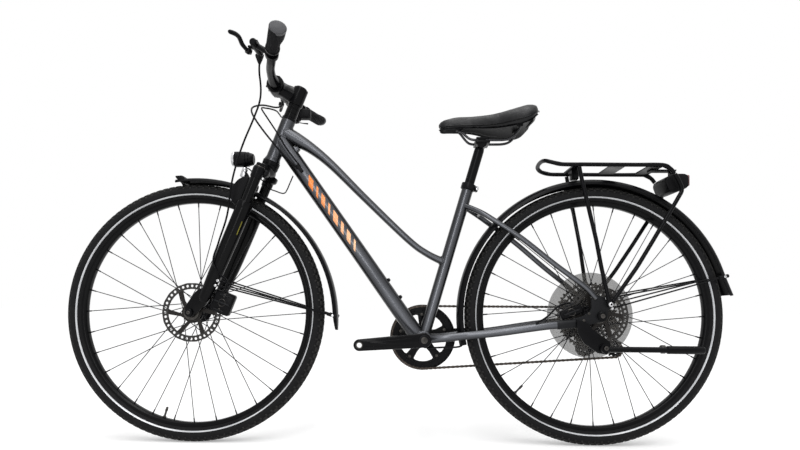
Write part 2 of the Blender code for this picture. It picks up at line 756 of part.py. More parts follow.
def make_rear_stays(side, clearance):
    """Chainstay, seatstay and dropout of one side, welded into a triangle."""
    word = "right" if side > 0 else "left"
    low = chainstay_tube(f"{word}_rear_stays", side, 0.0, "frame_grey")
    high = solid_tube(f"{word} seatstay", seatstay_route(side), SEATSTAY_RADIUS, 8)
    axle = Matrix.Translation(REAR_AXLE)
    drop = plate(f"{word} dropout", [DROPOUT], DROPOUT_THICKNESS, axle @ side_view(side * STAY_Y))
    fuse(low, high, drop)
    if side > 0:
        fuse(low, plate("hanger", [HANGER], DROPOUT_THICKNESS, axle @ side_view(STAY_Y)))
    else:
        for stay, place in (("seatstay", seatstay_route(1)[1]), ("chainstay", chainstay_route(1)[2])):
            left = Vector((place.x, -place.y, place.z))
            fuse(low, rod(f"{stay} bridge", left, place, 0.0055, 8))
        spare = 2 * GAP
        carve(low, solid_tube("right seatstay clearance", seatstay_route(1), SEATSTAY_RADIUS + spare, 8))
        carve(low, chainstay_tube("right chainstay clearance", 1, spare))
    reach = 0.02
    middle = side * STAY_Y
    hole = core(f"{word} axle hole", across(REAR_AXLE), AXLE_RADIUS + GAP, middle - reach, middle + reach, 12)
    return carve(low, clearance["bb"], clearance["seat"], hole)


def make_rear_caliper():
    """The rear brake caliper between the stays, with the slot its disc runs in."""
    centre = REAR_AXLE + Vector((-0.0755, -0.0505, 0.009))
    thing = block(
        "rear_brake_caliper", (0.062, 0.0245, 0.026), aim(centre, (-0.37, 0, 0.93)), 0.003, "black_plastic",
    )
    slot = core("rear disc slot", across(REAR_AXLE), ROTOR_RADIUS + 0.002, REAR_ROTOR_Y - 0.0018,
                REAR_ROTOR_Y + 0.0018, 36)
    return carve(thing, slot)


# Fenders


def fender_section():
    half = FENDER_HALF_WIDTH
    return [(-0.014, half), (-0.0035, half * 0.72), (0, 0), (-0.0035, -half * 0.72), (-0.014, -half)]


def fender(name, axle, radius, start, end, steps, flare):
    """A curved blade round the tyre; flare gives the extra radius at an angle."""
    bm = bmesh.new()
    corners = []
    for drop, y in fender_section():
        reach = radius + drop
        corners.append(bm.verts.new((reach * math.cos(start), y, reach * math.sin(start))))
    edges = [bm.edges.new(pair) for pair in zip(corners, corners[1:])]
    bmesh.ops.spin(
        bm, geom=corners + edges, cent=(0, 0, 0), axis=(0, -1, 0), angle=end - start, steps=steps,
        use_merge=False, use_duplicate=False,
    )
    for vertex in bm.verts:
        angle = math.atan2(vertex.co.z, vertex.co.x)
        if angle < -math.pi / 2:
            angle += math.tau
        grow = 1 + flare(angle) / radius
        vertex.co.x *= grow
        vertex.co.z *= grow
    thing = from_bmesh(name, bm, Matrix.Translation(axle), "satin_black")
    wall = thing.modifiers.new("wall", "SOLIDIFY")
    wall.thickness = FENDER_THICKNESS
    wall.offset = 1
    return thing


def on_fender(axle, radius, angle, y):
    return axle + Vector((radius * math.cos(angle), y, radius * math.sin(angle)))


def front_flare(angle):
    """The front blade stands further off the tyre toward its rear end."""
    start = math.radians(75)
    share = max(0.0, (start - angle) / (start - FRONT_FENDER_ENDS[0]))
    return FRONT_FENDER_FLARE * share ** 1.5


def rear_flare(angle):
    """The rear blade's tip turns a little outward."""
    start = REAR_FENDER_ENDS[0] + math.radians(11)
    share = max(0.0, (start - angle) / (start - REAR_FENDER_ENDS[0]))
    return REAR_FENDER_FLARE * share ** 2


def make_front_fender():
    thing = fender("front_fender", FRONT_AXLE, FRONT_FENDER_RADIUS, *FRONT_FENDER_ENDS, 10, front_flare)
    clip_angle = math.radians(-1.0)
    clip_radius = FRONT_FENDER_RADIUS + front_flare(clip_angle) - 0.009
    for side in (-1, 1):
        clip = on_fender(FRONT_AXLE, clip_radius, clip_angle, side * (FENDER_HALF_WIDTH - 0.0015))
        y = side * LEG_SPACING / 2
        for index, (up, ahead) in enumerate(((0.1085, -0.0085), (0.0945, -0.0075))):
            fuse(thing, rod(f"front stay wire {side} {index}", fork(up, ahead, y), clip, STAY_WIRE_RADIUS, 6))
    top = fork(0.3761, 0.0595)
    foot = fork(0.3695, 0.0595)
    fuse(thing, rod("front fender lug", foot, top, 0.005, 8))
    return thing


def make_rear_fender():
    thing = fender("rear_fender", REAR_AXLE, REAR_FENDER_RADIUS, *REAR_FENDER_ENDS, 17, rear_flare)
    clip_angle = math.radians(17.3)
    for side in (-1, 1):
        clip = on_fender(REAR_AXLE, REAR_FENDER_RADIUS - 0.008, clip_angle, side * (FENDER_HALF_WIDTH - 0.0015))
        upper = REAR_AXLE + Vector((0.0117, side * STAY_Y, 0.0461))
        lower = REAR_AXLE + Vector((0.0272, side * STAY_Y, 0.0203))
        for index, start in enumerate((upper, lower)):
            fuse(thing, rod(f"rear stay wire {side} {index}", start, clip, STAY_WIRE_RADIUS, 6))
    return thing


# Rack


def rack_rail_route():
    """The deck's rail: from the rear end of one side round the front loop to the other."""
    half = RACK_HALF_WIDTH
    top = RACK_HEIGHT
    one_side = [
        bike(0.1995, half, top - 0.0225), bike(0.189, half, top - 0.010), bike(0.168, half, top),
        bike(0.03, half, top), bike(-0.100, half, top), bike(-0.128, half * 0.97, top + 0.006),
        bike(-0.142, half * 0.75, top + 0.013), bike(-0.146, half * 0.3, top + 0.017),
    ]
    other = [Vector((p.x, -p.y, p.z)) for p in reversed(one_side)]
    return one_side + other


def make_rack_deck():
    deck = solid_tube("rack_deck", rack_rail_route(), RACK_TUBE_RADIUS, 8, None, "satin_black")
    for index, (start, end) in enumerate(((-0.066, -0.044), (0.034, 0.076), (0.139, 0.178))):
        centre = bike((start + end) / 2, 0, RACK_HEIGHT + 0.0015)
        size = (end - start, 2 * RACK_HALF_WIDTH - 0.002, 0.004)
        fuse(deck, block(f"deck plate {index}", size, Matrix.Translation(centre)))
    post_x = -0.051
    fender_top = math.sqrt(REAR_FENDER_RADIUS ** 2 - (post_x + 0.010) ** 2) + TYRE_RADIUS
    height = RACK_HEIGHT - fender_top - GAP * 4
    centre = bike(post_x, 0, fender_top + GAP * 4 + height / 2)
    return fuse(deck, block("fender post", (0.020, 0.024, height), Matrix.Translation(centre), 0.002))


def make_rack_side(side):
    """One side of the rack: the rear leg and the front strut, joined at the foot."""
    word = "right" if side > 0 else "left"
    top = side * RACK_HALF_WIDTH
    foot = side * RACK_FOOT_HALF_WIDTH
    bolt = REAR_AXLE + RACK_BOLT
    leg_route = [
        bike(0.2008, top, RACK_HEIGHT - 0.0236), bike(0.213, top, RACK_HEIGHT - 0.044),
        bike(0.2215, top, 0.694), bike(0.209, side * 0.0615, 0.673), bike(0.139, side * 0.0700, 0.559),
        bike(0.092, side * 0.0770, 0.485), Vector((bolt.x + 0.006, foot, bolt.z + 0.008)),
    ]
    leg = solid_tube(f"rack_{word}_side", leg_route, RACK_TUBE_RADIUS, 8, None, "satin_black")
    strut_top = RACK_HEIGHT - RACK_TUBE_RADIUS - GAP * 5
    strut_route = [
        bike(-0.0545, top, strut_top), bike(-0.051, top, strut_top - 0.02), bike(-0.0136, side * 0.071, 0.557),
        bike(-0.002, side * 0.076, 0.485), Vector((bolt.x - 0.004, foot, bolt.z + 0.008)),
    ]
    strut = solid_tube(f"{word} rack strut", strut_route, RACK_TUBE_RADIUS, 8)
    outline = [
        (0.000, -0.010), (0.008, -0.006), (0.011, 0.004), (0.010, 0.016), (-0.008, 0.016),
        (-0.011, 0.004), (-0.008, -0.006),
    ]
    eye = plate(f"{word} rack eye", [outline], 0.005, Matrix.Translation(bolt) @ side_view(foot))
    inner = STAY_Y + DROPOUT_THICKNESS / 2 + GAP
    bolt_end = bolt + Vector((0, foot + side * 0.006, 0))
    bolt_rod = rod(f"{word} rack bolt", bolt + Vector((0, side * inner, 0)), bolt_end, 0.0045)
    return fuse(leg, strut, eye, bolt_rod)


def make_tail_light():
    """The tail light behind the rack, on a tongue that lies under the rear deck plate."""
    centre = bike(0.2365, 0, RACK_HEIGHT - TAIL_LIGHT_DROP)
    body = block("tail_light", (0.050, 0.092, 0.050), Matrix.Translation(centre), 0.007, "red_lens")
    tongue_place = Matrix.Translation(bike(0.192, 0, RACK_HEIGHT - 0.0028))
    tongue = block("light tongue", (0.070, 0.030, 0.004), tongue_place)
    drop = block("light arm", (0.008, 0.030, 0.030), Matrix.Translation(bike(0.223, 0, RACK_HEIGHT - 0.014)))
    return fuse(body, tongue, drop)


# Drive


def wrap_belt(wheels):
    """The closed line round (x, z, radius, turn, y) wheels; turn is 1 for anticlockwise."""
    ends = []
    for first, second in zip(wheels, wheels[1:] + wheels[:1]):
        dx = second[0] - first[0]
        dz = second[1] - first[1]
        lean = math.asin((second[3] * second[2] - first[3] * first[2]) / math.hypot(dx, dz))
        way = math.atan2(dz, dx) - lean
        normal = Vector((-math.sin(way), math.cos(way)))
        for x, z, radius, turn, y in (first, second):
            ends.append((way, Vector((x, z)) - normal * turn * radius))
    route = []
    for index, (x, z, radius, turn, y) in enumerate(wheels):
        arrive = ends[(2 * index - 1) % len(ends)]
        leave = ends[2 * index]
        sweep = (turn * (leave[0] - arrive[0])) % math.tau
        count = max(2, round(sweep / math.radians(26)))
        start = math.atan2(arrive[1].y - z, arrive[1].x - x)
        reach = radius / math.cos(sweep / count / 2)
        for step in range(count):
            angle = start + turn * sweep * (step + 0.5) / count
            route.append(Vector((x + reach * math.cos(angle), y, z + reach * math.sin(angle))))
    return route


GUIDE_PULLEY = REAR_AXLE + Vector((-0.005, 0, -0.093))
TENSION_PULLEY = REAR_AXLE + Vector((0.082, 0, -0.0975))
CAGE_PIVOT = REAR_AXLE + Vector((-0.012, 0, -0.080))
LINK_PIVOT = REAR_AXLE + Vector((0.030, 0.0905, -0.052))
KNUCKLE_PIVOT = REAR_AXLE + Vector((-0.014, 0.0905, -0.066))
SLANT = Vector((0, 1, -1)).normalized()
CAGE_PIN_RADIUS = 0.003
LINK_PIN_RADIUS = 0.0025


def make_chain():
    wheels = [
        (BB.x, BB.z, RING_RADIUS, 1, CHAINLINE_FRONT),
        (TENSION_PULLEY.x, TENSION_PULLEY.z, COG_RADIUS, 1, CHAINLINE_REAR),
        (GUIDE_PULLEY.x, GUIDE_PULLEY.z, COG_RADIUS, -1, CHAINLINE_REAR),
        (REAR_AXLE.x, REAR_AXLE.z, COG_RADIUS, 1, CHAINLINE_REAR),
    ]
    return tube("chain", wrap_belt(wheels), CHAIN_RADIUS, "chain_steel", 6, ring=True)


def make_chainring():
    """The toothed ring, open inside for the spider."""
    teeth = []
    for index in range(2 * RING_TEETH):
        reach = RING_TIP_RADIUS if index % 2 else RING_TIP_RADIUS - 0.003
        angle = index * math.pi / RING_TEETH
        teeth.append((reach * math.cos(angle), reach * math.sin(angle)))
    place = Matrix.Translation(BB) @ side_view(CHAINLINE_FRONT)
    return plate("chainring", [teeth, circle(0, 0, SPIDER_REACH + GAP * 4, 20)], 0.003, place, "black_alloy")


SPIDER_REACH = 0.0705


def crank_eye(side):
    """The pedal end of a crank, left ahead and right behind."""
    run = Vector((math.cos(CRANK_TILT), 0, math.sin(CRANK_TILT))) * CRANK_LENGTH * side
    return BB + run + Vector((0, side * CRANK_SPREAD / 2, 0))


def crank_arm(name, side, finish):
    eye = crank_eye(side) - BB
    outline = hull([(0, 0, 0.019), (eye.x, eye.z, 0.0155)], 12)
    hole = circle(eye.x, eye.z, 0.0065, 12)
    return plate(name, [outline, hole], CRANK_THICKNESS, Matrix.Translation(BB) @ side_view(eye.y), finish)


def make_left_crank():
    arm = crank_arm("left_crank", -1, "black_alloy")
    inner = -BB_SHELL_WIDTH / 2 - GAP
    outer = -CRANK_SPREAD / 2
    return fuse(arm, core("left crank boss", across(BB), 0.016, outer, inner, 12))


def make_right_crank():
    """The right crank with the spindle and the five-armed spider."""
    arm = crank_arm("right_crank", 1, "black_alloy")
    inner = BB_SHELL_WIDTH / 2 + GAP
    outer = CRANK_SPREAD / 2
    boss = core("right crank boss", across(BB), 0.016, inner, outer, 12)
    spindle = core("spindle", across(BB), SPINDLE_RADIUS, -BB_SHELL_WIDTH / 2, inner + 0.004, 16)
    outline = []
    for index in range(5):
        middle = index * math.tau / 5 + math.radians(20)
        for turn in (-15, -5, 5, 15):
            angle = middle + math.radians(turn)
            outline.append((SPIDER_REACH * math.cos(angle), SPIDER_REACH * math.sin(angle)))
        valley = middle + math.tau / 10
        outline.append((0.030 * math.cos(valley), 0.030 * math.sin(valley)))
    spider = plate("spider", [outline], 0.0044, Matrix.Translation(BB) @ side_view(CHAINLINE_FRONT))
    return fuse(arm, boss, spindle, spider)


def make_derailleur_base():
    """The part bolted to the hanger, reaching to the swinging link."""
    inner = STAY_Y + DROPOUT_THICKNESS / 2 + GAP
    bolt = REAR_AXLE + HANGER_BOLT
    end = bolt + Vector((0, inner + 0.014, 0))
    body = rod("derailleur_base", bolt + Vector((0, inner, 0)), end, 0.010, 14, "black_alloy")
    pin_start = LINK_PIVOT - SLANT * 0.0130
    outline = hull([(bolt.x, bolt.z, 0.008), (pin_start.x, pin_start.z, 0.006)], 10)
    arm = plate("base arm", [outline], 0.004, side_view(inner + 0.0025))
    return fuse(body, arm, rod("link pin", pin_start, LINK_PIVOT + SLANT * 0.010, LINK_PIN_RADIUS, 10))


def make_derailleur_link():
    """The link that swings the lower parts across the sprockets."""
    run = KNUCKLE_PIVOT - LINK_PIVOT
    place = aim((LINK_PIVOT + KNUCKLE_PIVOT) / 2, run, SLANT)
    link = block("derailleur_link", (0.011, 0.012, run.length + 0.010), place, 0.002, "black_plastic")
    for word, centre in (("front", KNUCKLE_PIVOT), ("rear", LINK_PIVOT)):
        hole_radius = LINK_PIN_RADIUS + RUNNING_GAP * 1.5
        carve(link, rod(f"{word} link hole", centre - SLANT * 0.02, centre + SLANT * 0.02, hole_radius, 10))
    return link


def make_derailleur_cage():
    """Two plates with the pulley pins between them."""
    circles = [(p.x, p.z, 0.010) for p in (GUIDE_PULLEY, TENSION_PULLEY)]
    circles.append((CAGE_PIVOT.x, CAGE_PIVOT.z, 0.008))
    outline = hull(circles, 10)
    inner_y = CHAINLINE_REAR - CHAIN_RADIUS - 0.0018
    outer_y = CHAINLINE_REAR + CHAIN_RADIUS + 0.0018
    thing = plate("derailleur_cage", [outline], 0.0015, side_view(outer_y), "black_alloy")
    fuse(thing, plate("inner cage plate", [outline], 0.0015, side_view(inner_y)))
    for index, centre in enumerate((GUIDE_PULLEY, TENSION_PULLEY)):
        start = centre + Vector((0, inner_y, 0))
        end = centre + Vector((0, outer_y, 0))
        fuse(thing, rod(f"pulley pin {index}", start, end, CAGE_PIN_RADIUS, 12))
    return thing


def make_derailleur_knuckle():
    """The lower knuckle that carries the cage."""
    start_y = CHAINLINE_REAR + CHAIN_RADIUS + 0.0018 + 0.00075 + GAP
    start = CAGE_PIVOT + Vector((0, start_y, 0))
    end = CAGE_PIVOT + Vector((0, start_y + 0.013, 0))
    body = rod("derailleur_knuckle", start, end, 0.011, 12, "black_plastic")
    pin_start = KNUCKLE_PIVOT - SLANT * 0.0165
    outline = hull([(CAGE_PIVOT.x, CAGE_PIVOT.z, 0.010), (pin_start.x, pin_start.z, 0.006)], 10)
    lobe = plate("knuckle lobe", [outline], 0.006, side_view(pin_start.y + 0.0005))
    return fuse(body, lobe, rod("knuckle pin", pin_start, KNUCKLE_PIVOT + SLANT * 0.010, LINK_PIN_RADIUS, 10))


def make_pulley(name, centre):
    half = PULLEY_WIDTH / 2
    profile = [(COG_TIP_RADIUS, half), (COG_TIP_RADIUS, -half), (CAGE_PIN_RADIUS + RUNNING_GAP, -half),
               (CAGE_PIN_RADIUS + RUNNING_GAP, half)]
    return turned(name, profile, across(centre, CHAINLINE_REAR), 14, "black_plastic", True)


# Fork


def make_fork_crown():
    """Steerer, crown and the two sliding tubes, which steer together."""
    crown_route = [
        (0.414, -LEG_SPACING / 2), (0.430, -LEG_SPACING * 0.34), (CROWN_HEIGHT, -LEG_SPACING * 0.15),
        (CROWN_HEIGHT, LEG_SPACING * 0.15), (0.430, LEG_SPACING * 0.34), (0.414, LEG_SPACING / 2),
    ]
    points = [Vector((-STANCHION_OFFSET, y, up)) for up, y in crown_route]
    crown = solid_tube("fork_crown", points, CROWN_DEPTH / 2, 10, None, "satin_black")
    for vertex in crown.data.vertices:
        reach = 2.5 - 1.1 * min(1.0, abs(vertex.co.y) / (LEG_SPACING / 2))
        vertex.co.x = -STANCHION_OFFSET + (vertex.co.x + STANCHION_OFFSET) * reach
    crown.matrix_world = STEER
    steerer = core("steerer", STEER, STEERER_RADIUS, CROWN_HEIGHT - 0.008, STEM_TOP - GAP * 2, STEERER_STEPS)
    fuse(crown, steerer)
    for side in (-1, 1):
        place = STEER @ Matrix.Translation((-STANCHION_OFFSET, side * LEG_SPACING / 2, 0))
        fuse(crown, core(f"crown ear {side}", place, 0.0185, 0.390, 0.434, 12))
        fuse(crown, core(f"stanchion {side}", place, STANCHION_RADIUS, STANCHION_END, 0.400, 12))
    return crown


def fork_leg(side):
    """A lower leg: thick at the seal, thinner toward the dropout."""
    shape = [
        (0.045, 0.0130, 0.0150), (0.085, 0.0105, 0.0167), (0.190, 0.0090, 0.0195), (0.3135, 0.0068, 0.0195),
        (0.3175, 0.0062, 0.0208), (LEG_TOP, 0.0060, 0.0208),
    ]
    route = [fork(up, ahead, side * LEG_SPACING / 2) for up, ahead, _ in shape]
    swell = [radius / LEG_RADIUS for _, _, radius in shape]
    return solid_tube(f"fork leg {side}", route, LEG_RADIUS, 10, swell)


FORK_DROPOUT = [
    (0.072, -0.002), (0.078, 0.022), (0.062, 0.041), (0.014, 0.052), (-0.008, 0.048), (-0.013, 0.036),
    (-0.008, 0.024), (0.012, 0.014), (0.042, 0.000),
]


def make_fork_lowers():
    """Both legs, the brace in front of them, the dropouts and the lamp bracket."""
    brace_shape = [
        (0.316, 0.020, 0.0600, 1.05), (0.340, 0.0405, 0.0565, 1.05), (0.366, 0.0535, 0.0440, 1.0),
        (0.384, 0.0585, 0.0230, 1.0), (0.388, 0.0595, 0.0, 1.0),
    ]
    half = [(up, ahead, -y, swell) for up, ahead, y, swell in brace_shape]
    full = half + [(up, ahead, y, swell) for up, ahead, y, swell in brace_shape[-2::-1]]
    brace = solid_tube(
        "fork_lowers", [fork(up, ahead, y) for up, ahead, y, _ in full], 0.0105, 8,
        [swell for _, _, _, swell in full], "satin_black",
    )
    drop_y = FRONT_HUB_WIDTH / 2 + FORK_DROPOUT_THICKNESS / 2
    outline = [(-ahead, up) for up, ahead in FORK_DROPOUT]
    for side in (-1, 1):
        fuse(brace, fork_leg(side))
        place = STEER @ side_view(side * drop_y)
        fuse(brace, plate(f"fork dropout {side}", [outline], FORK_DROPOUT_THICKNESS, place))
    base = STEER @ Matrix.Translation((-0.0600, 0, 0.4020))
    fuse(brace, block("lamp bracket base", (0.013, 0.019, 0.016), base, 0.0015))
    for side in (-1, 1):
        cheek = STEER @ Matrix.Translation((-0.0615, side * 0.0072, 0.4145))
        fuse(brace, block(f"lamp cheek {side}", (0.011, 0.0042, 0.014), cheek))
    for side in (-1, 1):
        place = STEER @ Matrix.Translation((-STANCHION_OFFSET, side * LEG_SPACING / 2, 0))
        bore_radius = STANCHION_RADIUS + RUNNING_GAP
        bore = core(f"leg bore {side}", place, bore_radius, STANCHION_END - 0.065, LEG_TOP + 0.03, 12)
        carve(brace, bore)
    hole = core("front axle hole", across(FRONT_AXLE), AXLE_RADIUS + GAP, -0.08, 0.08, 12)
    carve(brace, hole)
    return brace


def make_front_caliper():
    place = STEER @ Matrix.Translation((0.0345, -0.0425, 0.056))
    thing = block("front_brake_caliper", (0.0565, 0.025, 0.060), place, 0.004, "black_plastic")
    slot = core("front disc slot", across(FRONT_AXLE), ROTOR_RADIUS + 0.002, FRONT_ROTOR_Y - 0.0018,
                FRONT_ROTOR_Y + 0.0018, 36)
    return carve(thing, slot)


LAMP_PIVOT = fork(0.4180, 0.0620)


def make_headlight():
    """The lamp on the brace: a rounded shell with its lens in front."""
    centre = LAMP_PIVOT + Vector((-0.0055, 0, 0.0285))
    profile = [(0, 0.031), (0.020, 0.031), (0.0215, 0.027), (0.0215, 0.002), (0.017, -0.020), (0.009, -0.031),
               (0, -0.031)]
    lamp = turned("headlight", profile, aim(centre, (-1, 0, 0)), 16, "lamp_black")
    lug = block("lamp lug", (0.010, 0.0094, 0.016), Matrix.Translation(LAMP_PIVOT + Vector((0, 0, 0.004))))
    return fuse(lamp, lug)


# Cockpit


BAR_CENTRE = fork(BAR_RISE, BAR_REACH)


def bar_route(side):
    """The bar's centre line on one side, swept back toward the grip."""
    return [
        BAR_CENTRE + Vector((x, side * y, z))
        for x, y, z in (
            (0, 0, 0), (0, 0.030, 0), (0.002, GRIP_START * 0.2985, 0), (0.010, GRIP_START * 0.5224, 0.001),
            (0.024, GRIP_START * 0.7463, 0.001), (0.040, GRIP_START, 0.005),
            (0.071, BAR_WIDTH / 2 - 0.001, 0.0095),
        )
    ]


def grip_axis(side):
    """Where the grip starts, and its direction outward."""
    start, end = bar_route(side)[-2:]
    return start, (end - start).normalized(), (end - start).length


def make_stem():
    """Spacers, clamp on the steerer, arm and bar clamp."""
    bore = STEERER_RADIUS + GAP
    low = HEAD_TOP + GAP
    profile = [
        (0, STEM_TOP + 0.004), (0.015, STEM_TOP + 0.004), (0.0205, STEM_TOP), (0.0205, STEM_BOTTOM),
        (0.0175, STEM_BOTTOM), (0.0175, low), (0, low),
    ]
    stem = turned("stem", profile, STEER, 12, "satin_black")
    middle = (STEM_BOTTOM + STEM_TOP) / 2
    run = fork(BAR_RISE, BAR_REACH) - fork(middle, 0.016)
    place = aim(fork(middle, 0.016) + run / 2, run)
    arm = block("stem arm", (STEM_TOP - STEM_BOTTOM - 0.002, 0.034, run.length), place, 0.006)
    clamp = core("bar clamp", across(BAR_CENTRE), 0.0245, -0.024, 0.024, 12)
    hole = core("bar hole", across(BAR_CENTRE), BAR_CLAMP_RADIUS + GAP, -0.06, 0.06, 16)
    steerer_hole = core("steerer hole", STEER, bore, HEAD_TOP - 0.01, STEM_TOP, STEERER_STEPS)
    return carve(fuse(stem, arm, clamp), steerer_hole, hole)


def make_handlebar():
    left = bar_route(-1)
    route = left[::-1] + bar_route(1)[1:]
    thick = BAR_CLAMP_RADIUS / BAR_RADIUS
    swell = [1, 1, 1, 1, 1.05, thick, thick, thick, 1.05, 1, 1, 1, 1]
    thing = solid_tube("handlebar", route, BAR_RADIUS, 8, swell, "satin_black", caps=False)
    wall = thing.modifiers.new("wall", "SOLIDIFY")
    wall.thickness = TUBE_WALL
    wall.offset = -1
    return thing


def make_grip(side):
    """A grip with a flat wing for the palm."""
    word = "right" if side > 0 else "left"
    start, run, length = grip_axis(side)
    place = aim(start, run, (0, 0, 1))
    bore = BAR_RADIUS + GAP * 2
    inside = length + 2 * GAP
    profile = [
        (0, inside + 0.0045), (GRIP_RADIUS * 0.9, inside + 0.0045), (GRIP_RADIUS, inside),
        (GRIP_RADIUS, 0.004), (GRIP_RADIUS * 1.1, 0.001), (0, 0.001),
    ]
    grip = turned(f"{word}_grip", profile, place, 12, "rubber")
    back = Vector((1, 0, -0.12)).normalized()
    steps = ((0.34, 0.003), (0.64, 0.007), (0.985, 0.009))
    wing_route = [start + run * length * share + back * out for share, out in steps]
    wing = solid_tube(f"{word} palm wing", wing_route, 0.0140, 8, (0.8, 1.0, 1.05))
    hole = core(f"{word} grip bore", place, bore, -0.01, inside, 12)
    return carve(fuse(grip, wing), hole)


LEVER_AXIS = Vector((0.232, 0, 0.973)).normalized()


def lever_pivot(side):
    return BAR_CENTRE + Vector((-0.028, side * (GRIP_START - 0.038), 0.016))


def make_brake_body(side):
    """Clamp, cylinder and lever hinge of one brake; the right one carries the shifter."""
    word = "right" if side > 0 else "left"
    before, after = bar_route(side)[4:6]
    run = (after - before).normalized()
    seat_place = before.lerp(after, 0.56)
    ring_place = aim(seat_place, run, (0, 0, 1))
    ring = sleeve(f"{word}_brake_body", ring_place, 0.0165, BAR_RADIUS + GAP * 2, -0.007, 0.007,
                  12, "black_plastic")
    cylinder_start = BAR_CENTRE + Vector((-0.006, side * (GRIP_START - 0.073), 0.024))
    cylinder_end = BAR_CENTRE + Vector((-0.010, side * (GRIP_START - 0.005), 0.027))
    cylinder = rod(f"{word} cylinder", cylinder_start, cylinder_end, 0.0095, 10)
    middle = cylinder_start.lerp(cylinder_end, 0.72)
    arm = rod(f"{word} clamp arm", seat_place.lerp(middle, 0.29), middle, 0.0065, 8)
    pin_centre = lever_pivot(side)
    pin_end = pin_centre + LEVER_AXIS * 0.0135
    pin = rod(f"{word} lever pin", pin_centre - LEVER_AXIS * 0.0075, pin_end, 0.0035, 10)
    lug_place = aim(pin_centre, LEVER_AXIS) @ Matrix.Translation((0.009, 0, 0.0105))
    lug = block(f"{word} lever lug", (0.026, 0.012, 0.0055), lug_place)
    body = fuse(ring, arm, cylinder, lug, pin)
    if side > 0:
        clamp_place = before.lerp(after, 0.14)
        band_place = aim(clamp_place, run, (0, 0, 1))
        band = sleeve("shifter band", band_place, 0.0150, BAR_RADIUS + GAP * 2, -0.006, 0.006, 12)
        pod_top = SHIFTER_PIVOT + Vector((0, 0, 0.029))
        pod = rod("shifter pod", SHIFTER_PIVOT + Vector((0, 0, 0.0025)), pod_top, 0.015, 12)
        tie_end = seat_place - Vector((0, 0, 0.0187))
        fuse(body, band, pod, rod("shifter tie", SHIFTER_PIVOT + Vector((0, 0, 0.0245)), tie_end, 0.004, 8))
        fuse(body, rod("shifter pin", SHIFTER_PIVOT - Vector((0, 0, 0.006)), pod_top, 0.003, 10))
    return body


SHIFTER_PIVOT = BAR_CENTRE + Vector((0.020, GRIP_START - 0.041, -0.040))


def make_brake_lever(side):
    word = "right" if side > 0 else "left"
    centre = lever_pivot(side)
    route = [
        centre + Vector((x, side * y, z))
        for x, y, z in (
            (-0.002, 0.005, 0.0005), (-0.009, 0.026, 0.0065), (-0.0105, 0.050, 0.0130),
            (-0.0215, 0.086, 0.0080),
        )
    ]
    blade = solid_tube(f"{word}_brake_lever", route, 0.0048, 8, (1.1, 1.0, 0.95, 1.15), "satin_black")
    place = aim(centre, LEVER_AXIS)
    eye = core(f"{word} lever eye", place, 0.0085, -0.005, 0.005, 14)
    hole = core(f"{word} lever hole", place, 0.0035 + RUNNING_GAP * 1.5, -0.02, 0.02, 14)
    return carve(fuse(blade, eye), hole)


def make_shift_lever():
    centre = SHIFTER_PIVOT
    eye = core("shift_lever", Matrix.Translation(centre), 0.009, -0.0035, 0.0018, 12, "black_plastic")
    steps = ((0.004, 0.002, -0.001), (0.020, 0.010, -0.002), (0.034, 0.016, -0.001))
    route = [centre + Vector(step) for step in steps]
    paddle = solid_tube("shift paddle", route, 0.0045, 8, (0.55, 0.6, 1.0))
    for vertex in paddle.data.vertices:
        vertex.co.z = centre.z - 0.001 + (vertex.co.z - centre.z + 0.001) * 0.5
    hole = core("shift lever hole", Matrix.Translation(centre), 0.003 + RUNNING_GAP * 1.5, -0.02, 0.02, 10)
    return carve(fuse(eye, paddle), hole)


# Cables


def cable(name, points, radius, spacing=0.015):
    return tube(name, smooth_route(points, spacing), radius, "cable_black", 8)


def make_front_brake_hose():
    """From the left brake down the outside of the left leg to the front caliper."""
    points = [
        BAR_CENTRE + Vector((-0.0060, 0.0740 - GRIP_START, 0.0240)),
        BAR_CENTRE + Vector((-0.0065, 0.0860 - GRIP_START, 0.0230)),
        BAR_CENTRE + Vector((-0.0110, 0.0950 - GRIP_START, 0.0110)),
        BAR_CENTRE + Vector((-0.0140, 0.0990 - GRIP_START, -0.0060)),
        BAR_CENTRE + Vector((-0.0142, 0.1060 - GRIP_START, -0.0240)),
        bike(-0.8975, -0.107, 0.936), bike(-0.905, -0.098, 0.911), bike(-0.919, -0.094, 0.875),
        bike(-0.951, -0.088, 0.800),
        bike(-0.968, -0.086, 0.7475), bike(-0.980, -0.086, 0.694), fork(0.2777, 0.0320, -0.0800),
        fork(0.200, 0.0260, -0.0790), fork(0.1498, 0.0190, -0.0805), fork(0.1350, 0.0040, -0.0820),
        fork(0.1250, -0.0100, -0.0765), fork(0.1190, -0.0220, -0.0610), fork(0.1110, -0.0280, -0.0485),
        fork(0.0990, -0.0280, -0.0455), fork(0.0870, -0.0280, -0.0450),
    ]
    return cable("front_brake_hose", points, 0.0025)


